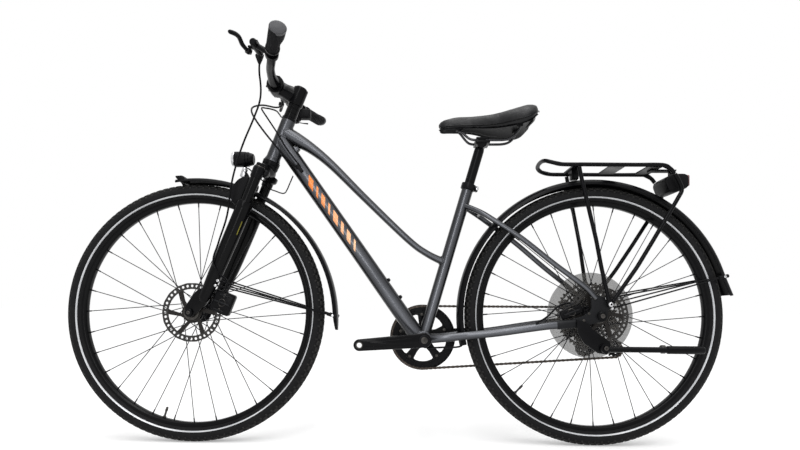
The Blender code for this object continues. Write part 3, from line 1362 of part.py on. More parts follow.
def make_front_cable_loops():
    """The rear brake hose and the shift cable, looping from the bar to the frame's port."""
    hose_points = [
        BAR_CENTRE + Vector((-0.0060, GRIP_START - 0.0740, 0.0240)),
        BAR_CENTRE + Vector((-0.0070, GRIP_START - 0.0860, 0.0230)),
        BAR_CENTRE + Vector((-0.0220, GRIP_START - 0.1040, 0.0050)),
        bike(-0.936, 0.062, 0.958), bike(-0.953, 0.015, 0.936), bike(-0.944, -0.026, 0.903),
        bike(-0.913, -0.044, 0.857), bike(-0.878, -0.042, 0.814), bike(-0.846, -0.034, 0.778),
        bike(-0.8165, -0.0262, 0.7510),
    ]
    hose = solid_tube("front_cable_loops", smooth_route(hose_points, 0.015), 0.0025, 8, None, "cable_black")
    inner_points = [
        SHIFTER_PIVOT + Vector((-0.0160, 0.0, 0.0120)), SHIFTER_PIVOT + Vector((-0.0280, -0.0040, 0.0110)),
        SHIFTER_PIVOT + Vector((-0.0400, -0.0200, 0.0070)),
        bike(-0.905, 0.085, 0.950), bike(-0.925, 0.040, 0.942), bike(-0.924, -0.005, 0.925),
        bike(-0.903, -0.034, 0.893),
        bike(-0.874, -0.039, 0.850), bike(-0.846, -0.033, 0.805), bike(-0.8085, -0.0262, 0.7570),
    ]
    shift = solid_tube("shift cable loop", smooth_route(inner_points, 0.015), 0.0022, 8)
    port = aim(bike(-0.8115, -0.0250, 0.7530), DOWN_TUBE_AXIS[1] - DOWN_TUBE_AXIS[0])
    grommet = block("cable port", (0.009, 0.0044, 0.024), port, 0.001)
    return fuse(hose, shift, grommet)


def make_dynamo_wire():
    """The lamp's wire, under the crown and back into the down tube."""
    points = [
        LAMP_PIVOT + Vector((0.0061, 0, 0.0040)), fork(0.4237, 0.0518), fork(0.4205, 0.0430, -0.0030),
        fork(0.4140, 0.0280, -0.0040), fork(0.4080, 0.0060), fork(0.4020, -0.0100), bike(-0.904, 0, 0.703),
        bike(-0.880, 0, 0.6935), bike(-0.8575, 0, 0.6890), bike(-0.8445, 0, 0.7130), bike(-0.8345, 0, 0.7375),
    ]
    return cable("dynamo_wire", points, 0.0015, 0.010)


def make_rear_brake_hose():
    """The stretch of hose that leaves the left chainstay and arches into the rear caliper."""
    points = [
        bike(-0.1720, -0.0700, 0.3345), bike(-0.1560, -0.0712, 0.3430), bike(-0.1380, -0.0700, 0.3560),
        bike(-0.1150, -0.0640, 0.3770), bike(-0.0880, -0.0560, 0.3880), bike(-0.0740, -0.0520, 0.3860),
    ]
    return cable("rear_brake_hose", points, 0.0025, 0.010)


def make_lower_hose():
    """The hook of hose under the bottom bracket, from the down tube to the chainstay."""
    points = [
        bike(-0.4660, -0.0160, 0.2645), bike(-0.4450, -0.0260, 0.2640), bike(-0.4150, -0.0340, 0.2660),
        bike(-0.3890, -0.0370, 0.2665), bike(-0.3680, -0.0375, 0.2700), bike(-0.3560, -0.0372, 0.2835),
    ]
    return cable("lower_brake_hose", points, 0.0025, 0.010)


# Seat


def make_seatpost():
    """The post, with the cross barrel and clamp that hold the saddle's rails."""
    top = SEAT_TUBE_LENGTH + SEATPOST_SHOWN
    bottom = top - SEATPOST_LENGTH
    post = sleeve("seatpost", SEAT, SEATPOST_RADIUS, SEATPOST_RADIUS - 0.0022, bottom, top, 14, "satin_black")
    head = seat(top + 0.004)
    barrel = core("post barrel", across(head), 0.014, -0.026, 0.026, 14)
    plate_place = Matrix.Translation(Vector((RAIL_MIDDLE_X, 0, RAIL_HEIGHT)))
    clamp = block("rail clamp", (0.040, 0.058, 0.016), plate_place, 0.003)
    neck = rod("clamp neck", head, Vector((RAIL_MIDDLE_X, 0, RAIL_HEIGHT)), 0.011, 12)
    fuse(post, barrel, neck, clamp)
    for side in (-1, 1):
        start = Vector((RAIL_MIDDLE_X - 0.05, side * RAIL_HALF_WIDTH, RAIL_HEIGHT))
        end = Vector((RAIL_MIDDLE_X + 0.05, side * RAIL_HALF_WIDTH, RAIL_HEIGHT))
        carve(post, rod(f"rail groove {side}", start, end, RAIL_RADIUS + GAP, 10))
    return post


RAIL_RADIUS = 0.0035
RAIL_HALF_WIDTH = 0.022
RAIL_RISE = 0.01166
RAIL_HEIGHT = seat(SEAT_TUBE_LENGTH + SEATPOST_SHOWN).z + RAIL_RISE
RAIL_MIDDLE_X = seat(SEAT_TUBE_LENGTH + SEATPOST_SHOWN + 0.012).x
SADDLE_NOSE_X = RAIL_MIDDLE_X - 0.122


def saddle_point(x, y, z):
    """A point of the saddle, measured from its nose and from the rails' height."""
    return Vector((SADDLE_NOSE_X + x, y, RAIL_HEIGHT + z))


def saddle_rail_route():
    """Two rails, joined at the nose."""
    half = [
        (0.058, 0.006, 0.0290), (0.064, 0.012, 0.0265), (0.080, RAIL_HALF_WIDTH * 0.8, 0.0080),
        (0.092, RAIL_HALF_WIDTH, 0.0), (0.150, RAIL_HALF_WIDTH, 0.0), (0.182, RAIL_HALF_WIDTH, 0.0005),
        (0.200, 0.024, 0.0050), (0.214, 0.028, 0.0165), (0.2225, 0.031, 0.0340),
    ]
    left = [saddle_point(x, -y, z) for x, y, z in reversed(half)]
    right = [saddle_point(x, y, z) for x, y, z in half]
    return left + right


def make_saddle_rails():
    return tube("saddle_rails", saddle_rail_route(), RAIL_RADIUS, "steel", 8)


SADDLE_RINGS = (
    # distance from the nose, half width, top, skirt
    (0.000, 0.010, 0.0500, 0.0400),
    (0.010, 0.020, 0.0600, 0.0290),
    (0.034, 0.0255, 0.0665, 0.0300),
    (0.090, 0.0310, 0.0680, 0.0300),
    (0.150, 0.0540, 0.0720, 0.0240),
    (0.200, 0.0800, 0.0820, 0.0250),
    (0.240, 0.0900, 0.0920, 0.0350),
    (0.262, 0.0780, 0.0930, 0.0540),
    (0.2705, 0.0500, 0.0820, 0.0640),
)


def make_saddle():
    """A padded saddle: crowned top, drawn-in skirt, a groove down the middle."""
    bm = bmesh.new()
    rings = []
    for x, wide, top, skirt in SADDLE_RINGS:
        high = top - skirt
        groove = 0.004 if 0.05 < x < 0.25 else 0.0
        section = [
            (0.00, top - groove), (0.40, top - groove * 0.2), (0.78, top - high * 0.20),
            (1.00, top - high * 0.60), (0.90, skirt), (0.50, skirt + high * 0.28),
        ]
        half = [(y * wide, z) for y, z in section]
        loop = half + [(0, skirt + high * 0.34)] + [(-y, z) for y, z in half[:0:-1]]
        rings.append([bm.verts.new(saddle_point(x, y, z)) for y, z in loop])
    for ring, following in zip(rings, rings[1:]):
        for index in range(len(ring)):
            after = (index + 1) % len(ring)
            bm.faces.new((ring[index], ring[after], following[after], following[index]))
    bm.faces.new(rings[0][::-1])
    bm.faces.new(rings[-1])
    bmesh.ops.recalc_face_normals(bm, faces=bm.faces)
    saddle = from_bmesh("saddle", bm, None, "saddle_cover")
    round_off = saddle.modifiers.new("round", "SUBSURF")
    round_off.levels = 1
    round_off.render_levels = 1
    socket_place = Matrix.Translation(saddle_point(0.0600, 0, 0.0360))
    fuse(saddle, block("nose socket", (0.022, 0.034, 0.024), socket_place))
    for side in (-1, 1):
        place = Matrix.Translation(saddle_point(0.2225, side * 0.031, 0.0430))
        fuse(saddle, block(f"rear socket {side}", (0.016, 0.016, 0.026), place))
    space = saddle_rail_route()
    space[0] += (space[0] - space[1]).normalized() * 2 * GAP
    space[-1] += (space[-1] - space[-2]).normalized() * 2 * GAP
    return carve(saddle, solid_tube("rail clearance", space, RAIL_RADIUS + GAP, 8))


# Kickstand


STAND_AXIS = Vector((-STAND_SPLAY, 1, 0)).normalized()


def make_kickstand_bracket():
    """The plate bolted under the left stays, down to the stand's pivot."""
    inner = -(STAY_Y + CHAINSTAY_HALF_WIDTH + GAP)
    outline = [
        (-0.070, 0.346), (-0.040, 0.336), (-0.030, 0.322), (0.018, 0.288), (0.020, 0.262), (0.008, 0.255),
        (-0.014, 0.258), (-0.050, 0.284), (-0.066, 0.310),
    ]
    place = Matrix.Translation((REAR_AXLE_X, 0, 0)) @ side_view(inner - 0.0035)
    bracket = plate("kickstand_bracket", [outline], 0.007, place, "satin_black")
    centre = bike(*STAND_PIVOT)
    pin = rod("stand pin", centre + STAND_AXIS * 0.0130, centre - STAND_AXIS * 0.0095, STAND_PIN_RADIUS, 12)
    return fuse(bracket, pin)


def make_kickstand_leg():
    """The folded leg, with the grey ring and thick sleeve of its adjustable end."""
    centre = bike(*STAND_PIVOT)
    length = STAND_LENGTH
    ring = 0.630 * length
    profile = [
        (0, length), (STAND_SLEEVE_RADIUS * 0.8, length), (STAND_SLEEVE_RADIUS, length - 0.004),
        (STAND_SLEEVE_RADIUS, ring), (STAND_RADIUS, ring - 0.003), (STAND_RADIUS, -0.004), (0, -0.004),
    ]
    leg = turned("kickstand_leg", profile, aim(centre + Vector((0, 0, -0.003)), (1, 0, 0)), 12, "satin_black")
    swing = aim(centre, STAND_AXIS, (1, 0, 0))
    eye = core("stand eye", swing, 0.0125, -0.0055, 0.0055, 12)
    hole = core("stand hole", swing, STAND_PIN_RADIUS + RUNNING_GAP * 1.5, -0.03, 0.03, 12)
    return carve(fuse(leg, eye), hole)


def build():
    clearance = make_clearance_cutters()
    make_head_tube()
    make_down_tube(clearance)
    make_top_tube(clearance)
    make_seat_tube(clearance)
    make_bottom_bracket_shell()
    make_seat_clamp()
    make_rear_stays(-1, clearance)
    make_rear_stays(1, clearance)
    make_rear_caliper()
    make_kickstand_bracket()
    make_kickstand_leg()
    make_rear_fender()
    make_rack_deck()
    make_rack_side(-1)
    make_rack_side(1)
    make_tail_light()
    make_axle("rear_axle", REAR_AXLE, REAR_HUB_WIDTH, DROPOUT_THICKNESS, 0.0125)
    make_tyre("rear_tyre", REAR_AXLE)
    make_rim("rear_rim", REAR_AXLE)
    make_rear_hub()
    make_rotor("rear_rotor", REAR_AXLE, REAR_ROTOR_Y)
    make_spoke_protector()
    make_cassette()
    make_chain()
    make_chainring()
    make_left_crank()
    make_right_crank()
    make_derailleur_base()
    make_derailleur_link()
    make_derailleur_knuckle()
    make_derailleur_cage()
    make_pulley("guide_pulley", GUIDE_PULLEY)
    make_pulley("tension_pulley", TENSION_PULLEY)
    make_rear_brake_hose()
    make_lower_hose()
    make_fork_crown()
    make_stem()
    make_handlebar()
    make_grip(-1)
    make_grip(1)
    make_brake_body(-1)
    make_brake_body(1)
    make_brake_lever(-1)
    make_brake_lever(1)
    make_shift_lever()
    make_front_cable_loops()
    make_dynamo_wire()
    make_fork_lowers()
    make_front_caliper()
    make_front_fender()
    make_axle("front_axle", FRONT_AXLE, FRONT_HUB_WIDTH, FORK_DROPOUT_THICKNESS, 0.010)
    make_front_brake_hose()
    make_headlight()
    make_tyre("front_tyre", FRONT_AXLE)
    make_rim("front_rim", FRONT_AXLE)
    make_front_hub()
    make_rotor("front_rotor", FRONT_AXLE, FRONT_ROTOR_Y)
    make_seatpost()
    make_saddle_rails()
    make_saddle()


# Joints


def joint_frames():
    """Each joint's name, its place with Z along the axis, the joint it rides on and its pieces."""
    axle_front = across(FRONT_AXLE)
    axle_rear = across(REAR_AXLE)
    return (
        ("steering", STEER, None, (
            "fork_crown", "stem", "handlebar", "left_grip", "right_grip", "left_brake_body", "right_brake_body",
            "front_cable_loops",
        )),
        ("fork_travel", STEER, "steering", (
            "fork_lowers", "front_brake_caliper", "front_fender", "front_axle", "front_brake_hose",
        )),
        ("headlight_tilt", across(LAMP_PIVOT), "fork_travel", ("headlight",)),
        ("front_wheel_spin", axle_front, "fork_travel", ("front_tyre", "front_rim", "front_hub", "front_rotor")),
        ("rear_wheel_spin", axle_rear, None, (
            "rear_tyre", "rear_rim", "rear_hub", "rear_rotor", "spoke_protector",
        )),
        ("cassette_spin", axle_rear, None, ("cassette",)),
        ("crank_spin", across(BB), None, ("left_crank", "right_crank", "chainring")),
        ("left_lever_pull", aim(lever_pivot(-1), LEVER_AXIS), "steering", ("left_brake_lever",)),
        ("right_lever_pull", aim(lever_pivot(1), LEVER_AXIS), "steering", ("right_brake_lever",)),
        ("shift_push", Matrix.Translation(SHIFTER_PIVOT), "steering", ("shift_lever",)),
        ("seatpost_slide", SEAT, None, ("seatpost", "saddle_rails", "saddle")),
        ("kickstand_swing", aim(bike(*STAND_PIVOT), STAND_AXIS, (1, 0, 0)), None, ("kickstand_leg",)),
        ("derailleur_swing", aim(LINK_PIVOT, SLANT), None, ("derailleur_link",)),
        ("knuckle_swing", aim(KNUCKLE_PIVOT, SLANT), "derailleur_swing", ("derailleur_knuckle",)),
        ("cage_swing", across(CAGE_PIVOT), "knuckle_swing", ("derailleur_cage",)),
        ("guide_pulley_spin", across(GUIDE_PULLEY), "cage_swing", ("guide_pulley",)),
        ("tension_pulley_spin", across(TENSION_PULLEY), "cage_swing", ("tension_pulley",)),
    )


def ride_on(thing, carrier, place):
    """Hangs a thing on a carrier at the given place, without moving the thing."""
    thing.parent = carrier
    thing.matrix_parent_inverse = place.inverted()


def hang_on_joints():
    """An empty on each joint's axis carries the pieces that the joint moves."""
    made = {}
    for name, place, carrier, pieces in joint_frames():
        empty = bpy.data.objects.new(name, None)
        empty.empty_display_size = 0.05
        empty.matrix_world = place
        AXES.objects.link(empty)
        made[name] = (empty, place)
        if carrier:
            ride_on(empty, *made[carrier])
        for piece in pieces:
            ride_on(bpy.data.objects[piece], empty, place)


build()
hang_on_joints()
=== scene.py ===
"""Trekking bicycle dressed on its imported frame: smooth tubes, wheels, drive and finishes."""

import json
import math

import bpy
from mathutils import Matrix, Vector

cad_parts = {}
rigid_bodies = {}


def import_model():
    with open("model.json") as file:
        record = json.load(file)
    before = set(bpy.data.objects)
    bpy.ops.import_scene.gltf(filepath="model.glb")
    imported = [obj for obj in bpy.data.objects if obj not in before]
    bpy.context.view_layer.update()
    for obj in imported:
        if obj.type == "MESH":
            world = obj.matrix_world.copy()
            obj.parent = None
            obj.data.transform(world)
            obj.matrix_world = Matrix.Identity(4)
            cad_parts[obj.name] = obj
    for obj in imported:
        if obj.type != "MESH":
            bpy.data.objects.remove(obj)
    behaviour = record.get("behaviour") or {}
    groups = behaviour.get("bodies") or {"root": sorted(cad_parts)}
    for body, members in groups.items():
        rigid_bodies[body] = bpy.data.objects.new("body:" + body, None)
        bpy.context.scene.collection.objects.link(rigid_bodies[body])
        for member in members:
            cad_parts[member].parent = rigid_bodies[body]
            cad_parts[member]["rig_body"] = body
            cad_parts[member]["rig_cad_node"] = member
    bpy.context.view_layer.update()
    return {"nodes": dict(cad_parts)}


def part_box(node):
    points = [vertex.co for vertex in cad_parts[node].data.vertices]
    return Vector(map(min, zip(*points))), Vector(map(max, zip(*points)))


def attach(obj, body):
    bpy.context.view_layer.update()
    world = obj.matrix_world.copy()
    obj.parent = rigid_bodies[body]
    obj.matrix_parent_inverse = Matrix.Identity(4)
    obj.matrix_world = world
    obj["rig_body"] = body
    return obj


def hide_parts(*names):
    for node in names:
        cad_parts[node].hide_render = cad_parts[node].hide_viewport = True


bl_info = {
    "name": "Trekking Bicycle",
    "version": (1, 0, 0),
    "blender": (4, 5, 0),
    "location": "View3D > Sidebar > Bicycle",
    "description": "Models the visible pieces of a step-through trekking bicycle",
    "category": "Add Mesh",
}

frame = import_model()


def middle_of(node):
    """The centre of a node's box."""
    low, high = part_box(node)
    return (low + high) / 2


# Places and sizes, as in the part's source
REAR_AXLE = middle_of("rear_rim")
FRONT_AXLE = middle_of("front_rim")
AXLES = {"front": FRONT_AXLE, "rear": REAR_AXLE}
BB = REAR_AXLE + Vector((-math.sqrt(0.4725 ** 2 - 0.067 ** 2), 0, -0.067))
HEAD_TILT = math.radians(21.2)
SEAT_TILT = math.radians(16.2)
HEAD_RADIUS = 0.0195
DOWN_TUBE_RADIUS = 0.022
SEAT_TUBE_RADIUS = 0.016
BB_SHELL_RADIUS = 0.0205
LEG_Y = 0.06
STAY_Y = 0.0715
BAR_RADIUS = 0.0111
RAIL_HEIGHT = 0.8355
RACK_HEIGHT = 0.7605
RACK_HALF_WIDTH = 0.06
FRONT_FLANGES = (-0.0285, 0.0335)
REAR_FLANGES = (-0.034, 0.0165)
ROTOR_Y = {"front": -0.0395, "rear": -0.05}
VALVE_ANGLE = {"front": math.radians(253.7), "rear": math.radians(225.1)}
SPOKE_CROSSING = math.radians(67.5)
CHAIN_PITCH = 0.0127
CHAINLINE_FRONT = 0.0475
CHAINLINE_REAR = 0.0605
GUIDE_PULLEY = REAR_AXLE + Vector((-0.005, 0, -0.093))
TENSION_PULLEY = REAR_AXLE + Vector((0.082, 0, -0.0975))
RACK_BOLT = REAR_AXLE + Vector((0.0194, 0, 0.0305))


SIDES = ((-1, "left"), (1, "right"))


def aim(origin, direction, across=(0, 1, 0)):
    """A frame at origin whose Z runs along direction."""
    up = Vector(direction).normalized()
    first = Vector(across).cross(up).normalized()
    turn = Matrix((first, up.cross(first), up)).transposed().to_4x4()
    return Matrix.Translation(origin) @ turn


STEER_UP = Vector((math.sin(HEAD_TILT), 0, math.cos(HEAD_TILT)))
STEER = aim(FRONT_AXLE + 0.0357 * Vector((math.cos(HEAD_TILT), 0, -math.sin(HEAD_TILT))), STEER_UP)
SEAT = aim(BB, (math.sin(SEAT_TILT), 0, math.cos(SEAT_TILT)))


def mm(values):
    """Metres from millimetres, given as one number or as lists of them."""
    return values / 1000 if isinstance(values, (int, float)) else [mm(value) for value in values]


def bike(x, y, z):
    """A point measured from the ground below the rear axle."""
    return Vector((REAR_AXLE.x + x, y, z))


def fork(up, ahead, y=0.0):
    """A point up the steering axis, ahead of it and y across."""
    return STEER @ Vector((-ahead, y, up))


def seat(up, behind=0.0, y=0.0):
    """A point up the seat tube from the bottom bracket."""
    return SEAT @ Vector((behind, y, up))


def side_view(y, centre=(0, 0, 0)):
    """A frame for flat outlines given as (x, z) round a centre, seen from the side at y."""
    return Matrix.Translation(centre) @ Matrix(((1, 0, 0, 0), (0, 0, -1, y), (0, 1, 0, 0), (0, 0, 0, 1)))


def across(centre, y=0.0):
    """A frame whose Z points to the bike's right, for pieces turned on an axle."""
    return aim(centre + Vector((0, y, 0)), (0, 1, 0), (1, 0, 0))


BAR_CENTRE = fork(0.668, 0.067)
LAMP_PIVOT = fork(0.418, 0.062)
GRIP_START = 0.225
SHIFTER_PIVOT = BAR_CENTRE + Vector((0.02, GRIP_START - 0.041, -0.04))


# Settings that a user would change


class BikeSettings(bpy.types.PropertyGroup):
    frame_colour: bpy.props.FloatVectorProperty(
        name="Frame colour", description="Metallic paint of the frame tubes",
        default=(0.026, 0.027, 0.03), subtype="COLOR", min=0, max=1,
    )
    accent_colour: bpy.props.FloatVectorProperty(
        name="Accent colour", description="Slanted bars on the down tube",
        default=(0.8, 0.2, 0.008), subtype="COLOR", min=0, max=1,
    )
    tread_blocks: bpy.props.IntProperty(
        name="Tread blocks", description="Blocks in each row round a tyre", default=120, min=40, max=200,
    )
    spoke_radius: bpy.props.FloatProperty(
        name="Spoke radius", description="Half the thickness of a spoke",
        default=0.00115, min=0.0005, max=0.002, unit="LENGTH",
    )
    line_width: bpy.props.FloatProperty(
        name="Reflective line", description="Width of the light line on a tyre's side",
        default=0.0034, min=0.001, max=0.01, unit="LENGTH",
    )
    weld_radius: bpy.props.FloatProperty(
        name="Weld bead", description="Radius of the smoothed weld between two tubes",
        default=0.0026, min=0.0005, max=0.006, unit="LENGTH",
    )
    lamp_power: bpy.props.FloatProperty(
        name="Key light", description="Power of the large soft lamp", default=34.0, min=0, max=500, unit="POWER",
    )


def settings():
    return bpy.context.scene.bike_settings


# Modelling tools


def deselect():
    if bpy.context.object and bpy.context.object.mode != "OBJECT":
        bpy.ops.object.mode_set(mode="OBJECT")
    bpy.ops.object.select_all(action="DESELECT")


def choose(things):
    """Selects only these objects and makes the first one active."""
    deselect()
    for thing in things:
        thing.select_set(True)
    bpy.context.view_layer.objects.active = things[0]
    return things[0]


def started(name):
    """Names the primitive that was just added."""
    thing = bpy.context.object
    thing.name = name
    thing.data.name = name
    return thing


def edit(thing):
    """Opens an object for editing with all of its mesh selected."""
    choose([thing])
    bpy.ops.object.mode_set(mode="EDIT")
    bpy.ops.mesh.select_mode(type="VERT")
    bpy.ops.mesh.select_all(action="SELECT")


WELD_REACH = 0.000004


def weld(thing):
    """Merges doubles, drops what has no area and turns the faces outward."""
    edit(thing)
    bpy.ops.mesh.remove_doubles(threshold=WELD_REACH)
    bpy.ops.mesh.dissolve_degenerate(threshold=0.000001)
    bpy.ops.mesh.delete_loose()
    bpy.ops.mesh.select_all(action="SELECT")
    bpy.ops.mesh.normals_make_consistent(inside=False)
    bpy.ops.object.mode_set(mode="OBJECT")
    return thing


def shade(thing, degrees=35):
    choose([thing])
    bpy.ops.object.shade_smooth_by_angle(angle=math.radians(degrees))
    return thing


def apply(thing, kind, **values):
    """Adds a modifier with these values and applies it."""
    choose([thing])
    step = thing.modifiers.new("step", kind)
    for key, value in values.items():
        setattr(step, key, value)
    bpy.ops.object.modifier_apply(modifier=step.name)
    return thing


def soften(thing, width, segments=2, degrees=35):
    """Rounds the edges that are sharper than an angle."""
    limit = math.radians(degrees)
    return apply(thing, "BEVEL", width=width, segments=segments, limit_method="ANGLE", angle_limit=limit)


def move(thing, place):
    thing.data.transform(place)
    return thing


def turned(name, profile, place, steps, degrees=35):
    """Spins a closed profile of (radius, height) round the frame's Z."""
    deselect()
    bpy.ops.mesh.primitive_circle_add(vertices=len(profile), radius=0.01, fill_type="NOTHING")
    thing = started(name)
    for corner, (radius, height) in zip(thing.data.vertices, profile):
        corner.co = (radius, 0, height)
    edit(thing)
    bpy.ops.mesh.spin(steps=steps, angle=math.tau, center=(0, 0, 0), axis=(0, 0, 1))
    weld(thing)
    return shade(move(thing, place), degrees)


def plate(name, outlines, thickness, place, rounding=0.0):
    """A flat plate with its outlines in the frame's XY and rounded edges."""
    deselect()
    bpy.ops.curve.primitive_bezier_circle_add(radius=0.01)
    thing = started(name)
    sheet = thing.data
    sheet.dimensions = "2D"
    sheet.fill_mode = "BOTH"
    sheet.extrude = thickness / 2 - rounding
    sheet.bevel_depth = rounding
    sheet.bevel_resolution = 1
    sheet.offset = -rounding
    sheet.splines.clear()
    for outline in outlines:
        spline = sheet.splines.new("POLY")
        spline.points.add(len(outline) - 1)
        for corner, (x, y) in zip(spline.points, outline):
            corner.co = (x, y, 0, 1)
        spline.use_cyclic_u = True
    choose([thing])
    bpy.ops.object.convert(target="MESH")
    weld(bpy.context.object)
    return shade(move(bpy.context.object, place))


def block(name, size, place, rounding, segments=2):
    """A rounded box on a frame, or on a point without a turn."""
    deselect()
    bpy.ops.mesh.primitive_cube_add(size=1)
    thing = started(name)
    edit(thing)
    bpy.ops.transform.resize(value=size)
    bpy.ops.object.mode_set(mode="OBJECT")
    soften(thing, rounding, segments)
    return shade(move(thing, place if isinstance(place, Matrix) else Matrix.Translation(place)), 50)


def rod(name, start, end, radius, sides=20, end_radius=None, rounding=0.0004):
    """A round bar from one point to another, with its rims rounded."""
    run = end - start
    bpy.ops.object.select_all(action="DESELECT")
    bpy.ops.mesh.primitive_cone_add(
        vertices=sides, radius1=radius, radius2=radius if end_radius is None else end_radius, depth=run.length,
    )
    thing = started(name)
    soften(thing, rounding, degrees=50)
    lean = (0, 1, 0) if abs(run.normalized().y) < 0.9 else (1, 0, 0)
    return shade(move(thing, aim((start + end) / 2, run, lean)), 50)


def skin(name, rings, caps=True, degrees=40):
    """A net of quads pulled over rings of points."""
    around = len(rings[0])
    deselect()
    bpy.ops.mesh.primitive_grid_add(x_subdivisions=around, y_subdivisions=len(rings) - 1, size=0.01)
    thing = started(name)
    for row, ring in enumerate(rings):
        for column in range(around + 1):
            thing.data.vertices[row * (around + 1) + column].co = ring[column % around]
    edit(thing)
    bpy.ops.mesh.remove_doubles(threshold=WELD_REACH)
    if caps:
        bpy.ops.mesh.select_all(action="SELECT")
        bpy.ops.mesh.fill_holes(sides=0)
    bpy.ops.mesh.select_all(action="SELECT")
    bpy.ops.mesh.normals_make_consistent(inside=False)
    bpy.ops.object.mode_set(mode="OBJECT")
    return shade(thing, degrees)


def swept(name, route, sizes, sides, lean=(0, 1, 0)):
    """A tube along a route; a size is a radius, or the half width and half height."""
    if not isinstance(sizes, (list, tuple)):
        sizes = [sizes] * len(route)
    rings = []
    wide_way = Vector(lean)
    for index, (centre, size) in enumerate(zip(route, sizes)):
        before = route[max(0, index - 1)]
        after = route[min(len(route) - 1, index + 1)]
        run = (after - before).normalized()
        wide_way = (wide_way - run * wide_way.dot(run)).normalized()
        high_way = run.cross(wide_way)
        wide, high = size if isinstance(size, (list, tuple)) else (size, size)
        rings.append(oval(centre, wide_way, high_way, wide, high, sides))
    return skin(name, rings)


def flowing(points, steps):
    """Finer rows of numbers on a smooth curve through the given rows."""
    rows = [tuple(point) for point in points]
    before_first = tuple(2 * a - b for a, b in zip(rows[0], rows[1]))
    after_last = tuple(2 * a - b for a, b in zip(rows[-1], rows[-2]))
    rows = [before_first] + rows + [after_last]
    fine = []
    for p, q, r, s in zip(rows, rows[1:], rows[2:], rows[3:]):
        for step in range(steps):
            t = step / steps
            fine.append(tuple(
                0.5 * (2 * b + (c - a) * t + (2 * a - 5 * b + 4 * c - d) * t * t + (3 * b - a - 3 * c + d) * t ** 3)
                for a, b, c, d in zip(p, q, r, s)
            ))
    fine.append(rows[-2])
    return fine


def flowing_tube(name, points, steps, sides, lean=(0, 1, 0)):
    """A smooth tube through rows of x, y, z, half width and half height."""
    rows = flowing(points, steps)
    route = [Vector(row[:3]) for row in rows]
    return swept(name, route, [(row[3], row[4]) for row in rows], sides, lean)


def eased(points, reach):
    """A route whose corners are rounded within reach of each point."""
    steps = 5
    route = [points[0]]
    for before, corner, after in zip(points, points[1:], points[2:]):
        into = corner - before
        out = after - corner
        start = corner - into.normalized() * min(reach, into.length * 0.49)
        end = corner + out.normalized() * min(reach, out.length * 0.49)
        for step in range(steps + 1):
            t = step / steps
            route.append(start * (1 - t) ** 2 + corner * 2 * t * (1 - t) + end * t * t)
    route.append(points[-1])
    return route


def turns(steps):
    """Evenly spaced angles of one full turn."""
    return [step * math.tau / steps for step in range(steps)]


def spot(angle, reach):
    """A point of a flat outline at this angle and distance."""
    return (reach * math.cos(angle), reach * math.sin(angle))


def ray(angle, reach, y=0.0):
    """A step away from an axle at this angle, in the side view."""
    return Vector((reach * math.cos(angle), y, reach * math.sin(angle)))


def facing(point, side, out=0.0):
    """A frame beside a point that looks to the bike's left or right."""
    return aim(point + Vector((0, side * out, 0)), (0, side, 0), (1, 0, 0))


def crossbar(name, centre, low, high, *sizes, **rest):
    """A round bar across the bike, from one distance beside a point to another."""
    return rod(name, centre + Vector((0, low, 0)), centre + Vector((0, high, 0)), *sizes, **rest)


def oval(centre, wide_way, high_way, wide, high, sides):
    """Points on an ellipse that is spanned by two directions."""
    return [centre + wide_way * (wide * math.cos(a)) + high_way * (high * math.sin(a)) for a in turns(sides)]


def circle(x, z, radius, steps=24):
    return [(x + radius * math.cos(a), z + radius * math.sin(a)) for a in turns(steps)]


def hull(circles, steps=32):
    """The outline round a set of circles (x, z, radius)."""
    cloud = sorted({
        (round(x + r * math.cos(a), 7), round(z + r * math.sin(a), 7)) for x, z, r in circles for a in turns(steps)
    })

    def half(points):
        chain = []
        for point in points:
            while len(chain) > 1 and (
                (chain[-1][0] - chain[-2][0]) * (point[1] - chain[-2][1])
                - (chain[-1][1] - chain[-2][1]) * (point[0] - chain[-2][0])
            ) <= 1e-12:
                chain.pop()
            chain.append(point)
        return chain[:-1]

    return half(cloud) + half(cloud[::-1])


def joined(name, things):
    """Makes one object of several."""
    thing = choose(things)
    if len(things) > 1:
        bpy.ops.object.join()
    thing.name = name
    thing.data.name = name
    return thing


def copies(name, pattern, places):
    """One object of a pattern's copies, each with its own mesh."""
    made = []
    for place in places:
        copy = pattern.copy()
        copy.data = pattern.data.copy()
        copy.data.transform(place)
        bpy.context.scene.collection.objects.link(copy)
        made.append(copy)
    bpy.data.objects.remove(pattern)
    return joined(name, made)


def copied_round(thing, count, axle):
    """Repeats an object's mesh evenly round an axle."""
    edit(thing)
    bpy.ops.mesh.spin(
        steps=count, dupli=True, angle=math.tau, center=axle, axis=(0, 1, 0), use_auto_merge=False,
    )
    bpy.ops.mesh.select_all(action="SELECT")
    bpy.ops.mesh.remove_doubles(threshold=0.000001)
    bpy.ops.object.mode_set(mode="OBJECT")
    return thing


def smoothed_node(node, name, width):
    """A welded copy of a node with rounded edges."""
    source = frame["nodes"][node]
    choose([source])
    bpy.ops.object.duplicate()
    copy = started(name)
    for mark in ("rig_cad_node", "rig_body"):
        del copy[mark]
    copy.parent = None
    weld(copy)
    edit(copy)
    bpy.ops.mesh.dissolve_limited(angle_limit=math.radians(1))
    bpy.ops.object.mode_set(mode="OBJECT")
    return shade(soften(copy, width, degrees=38), 38)


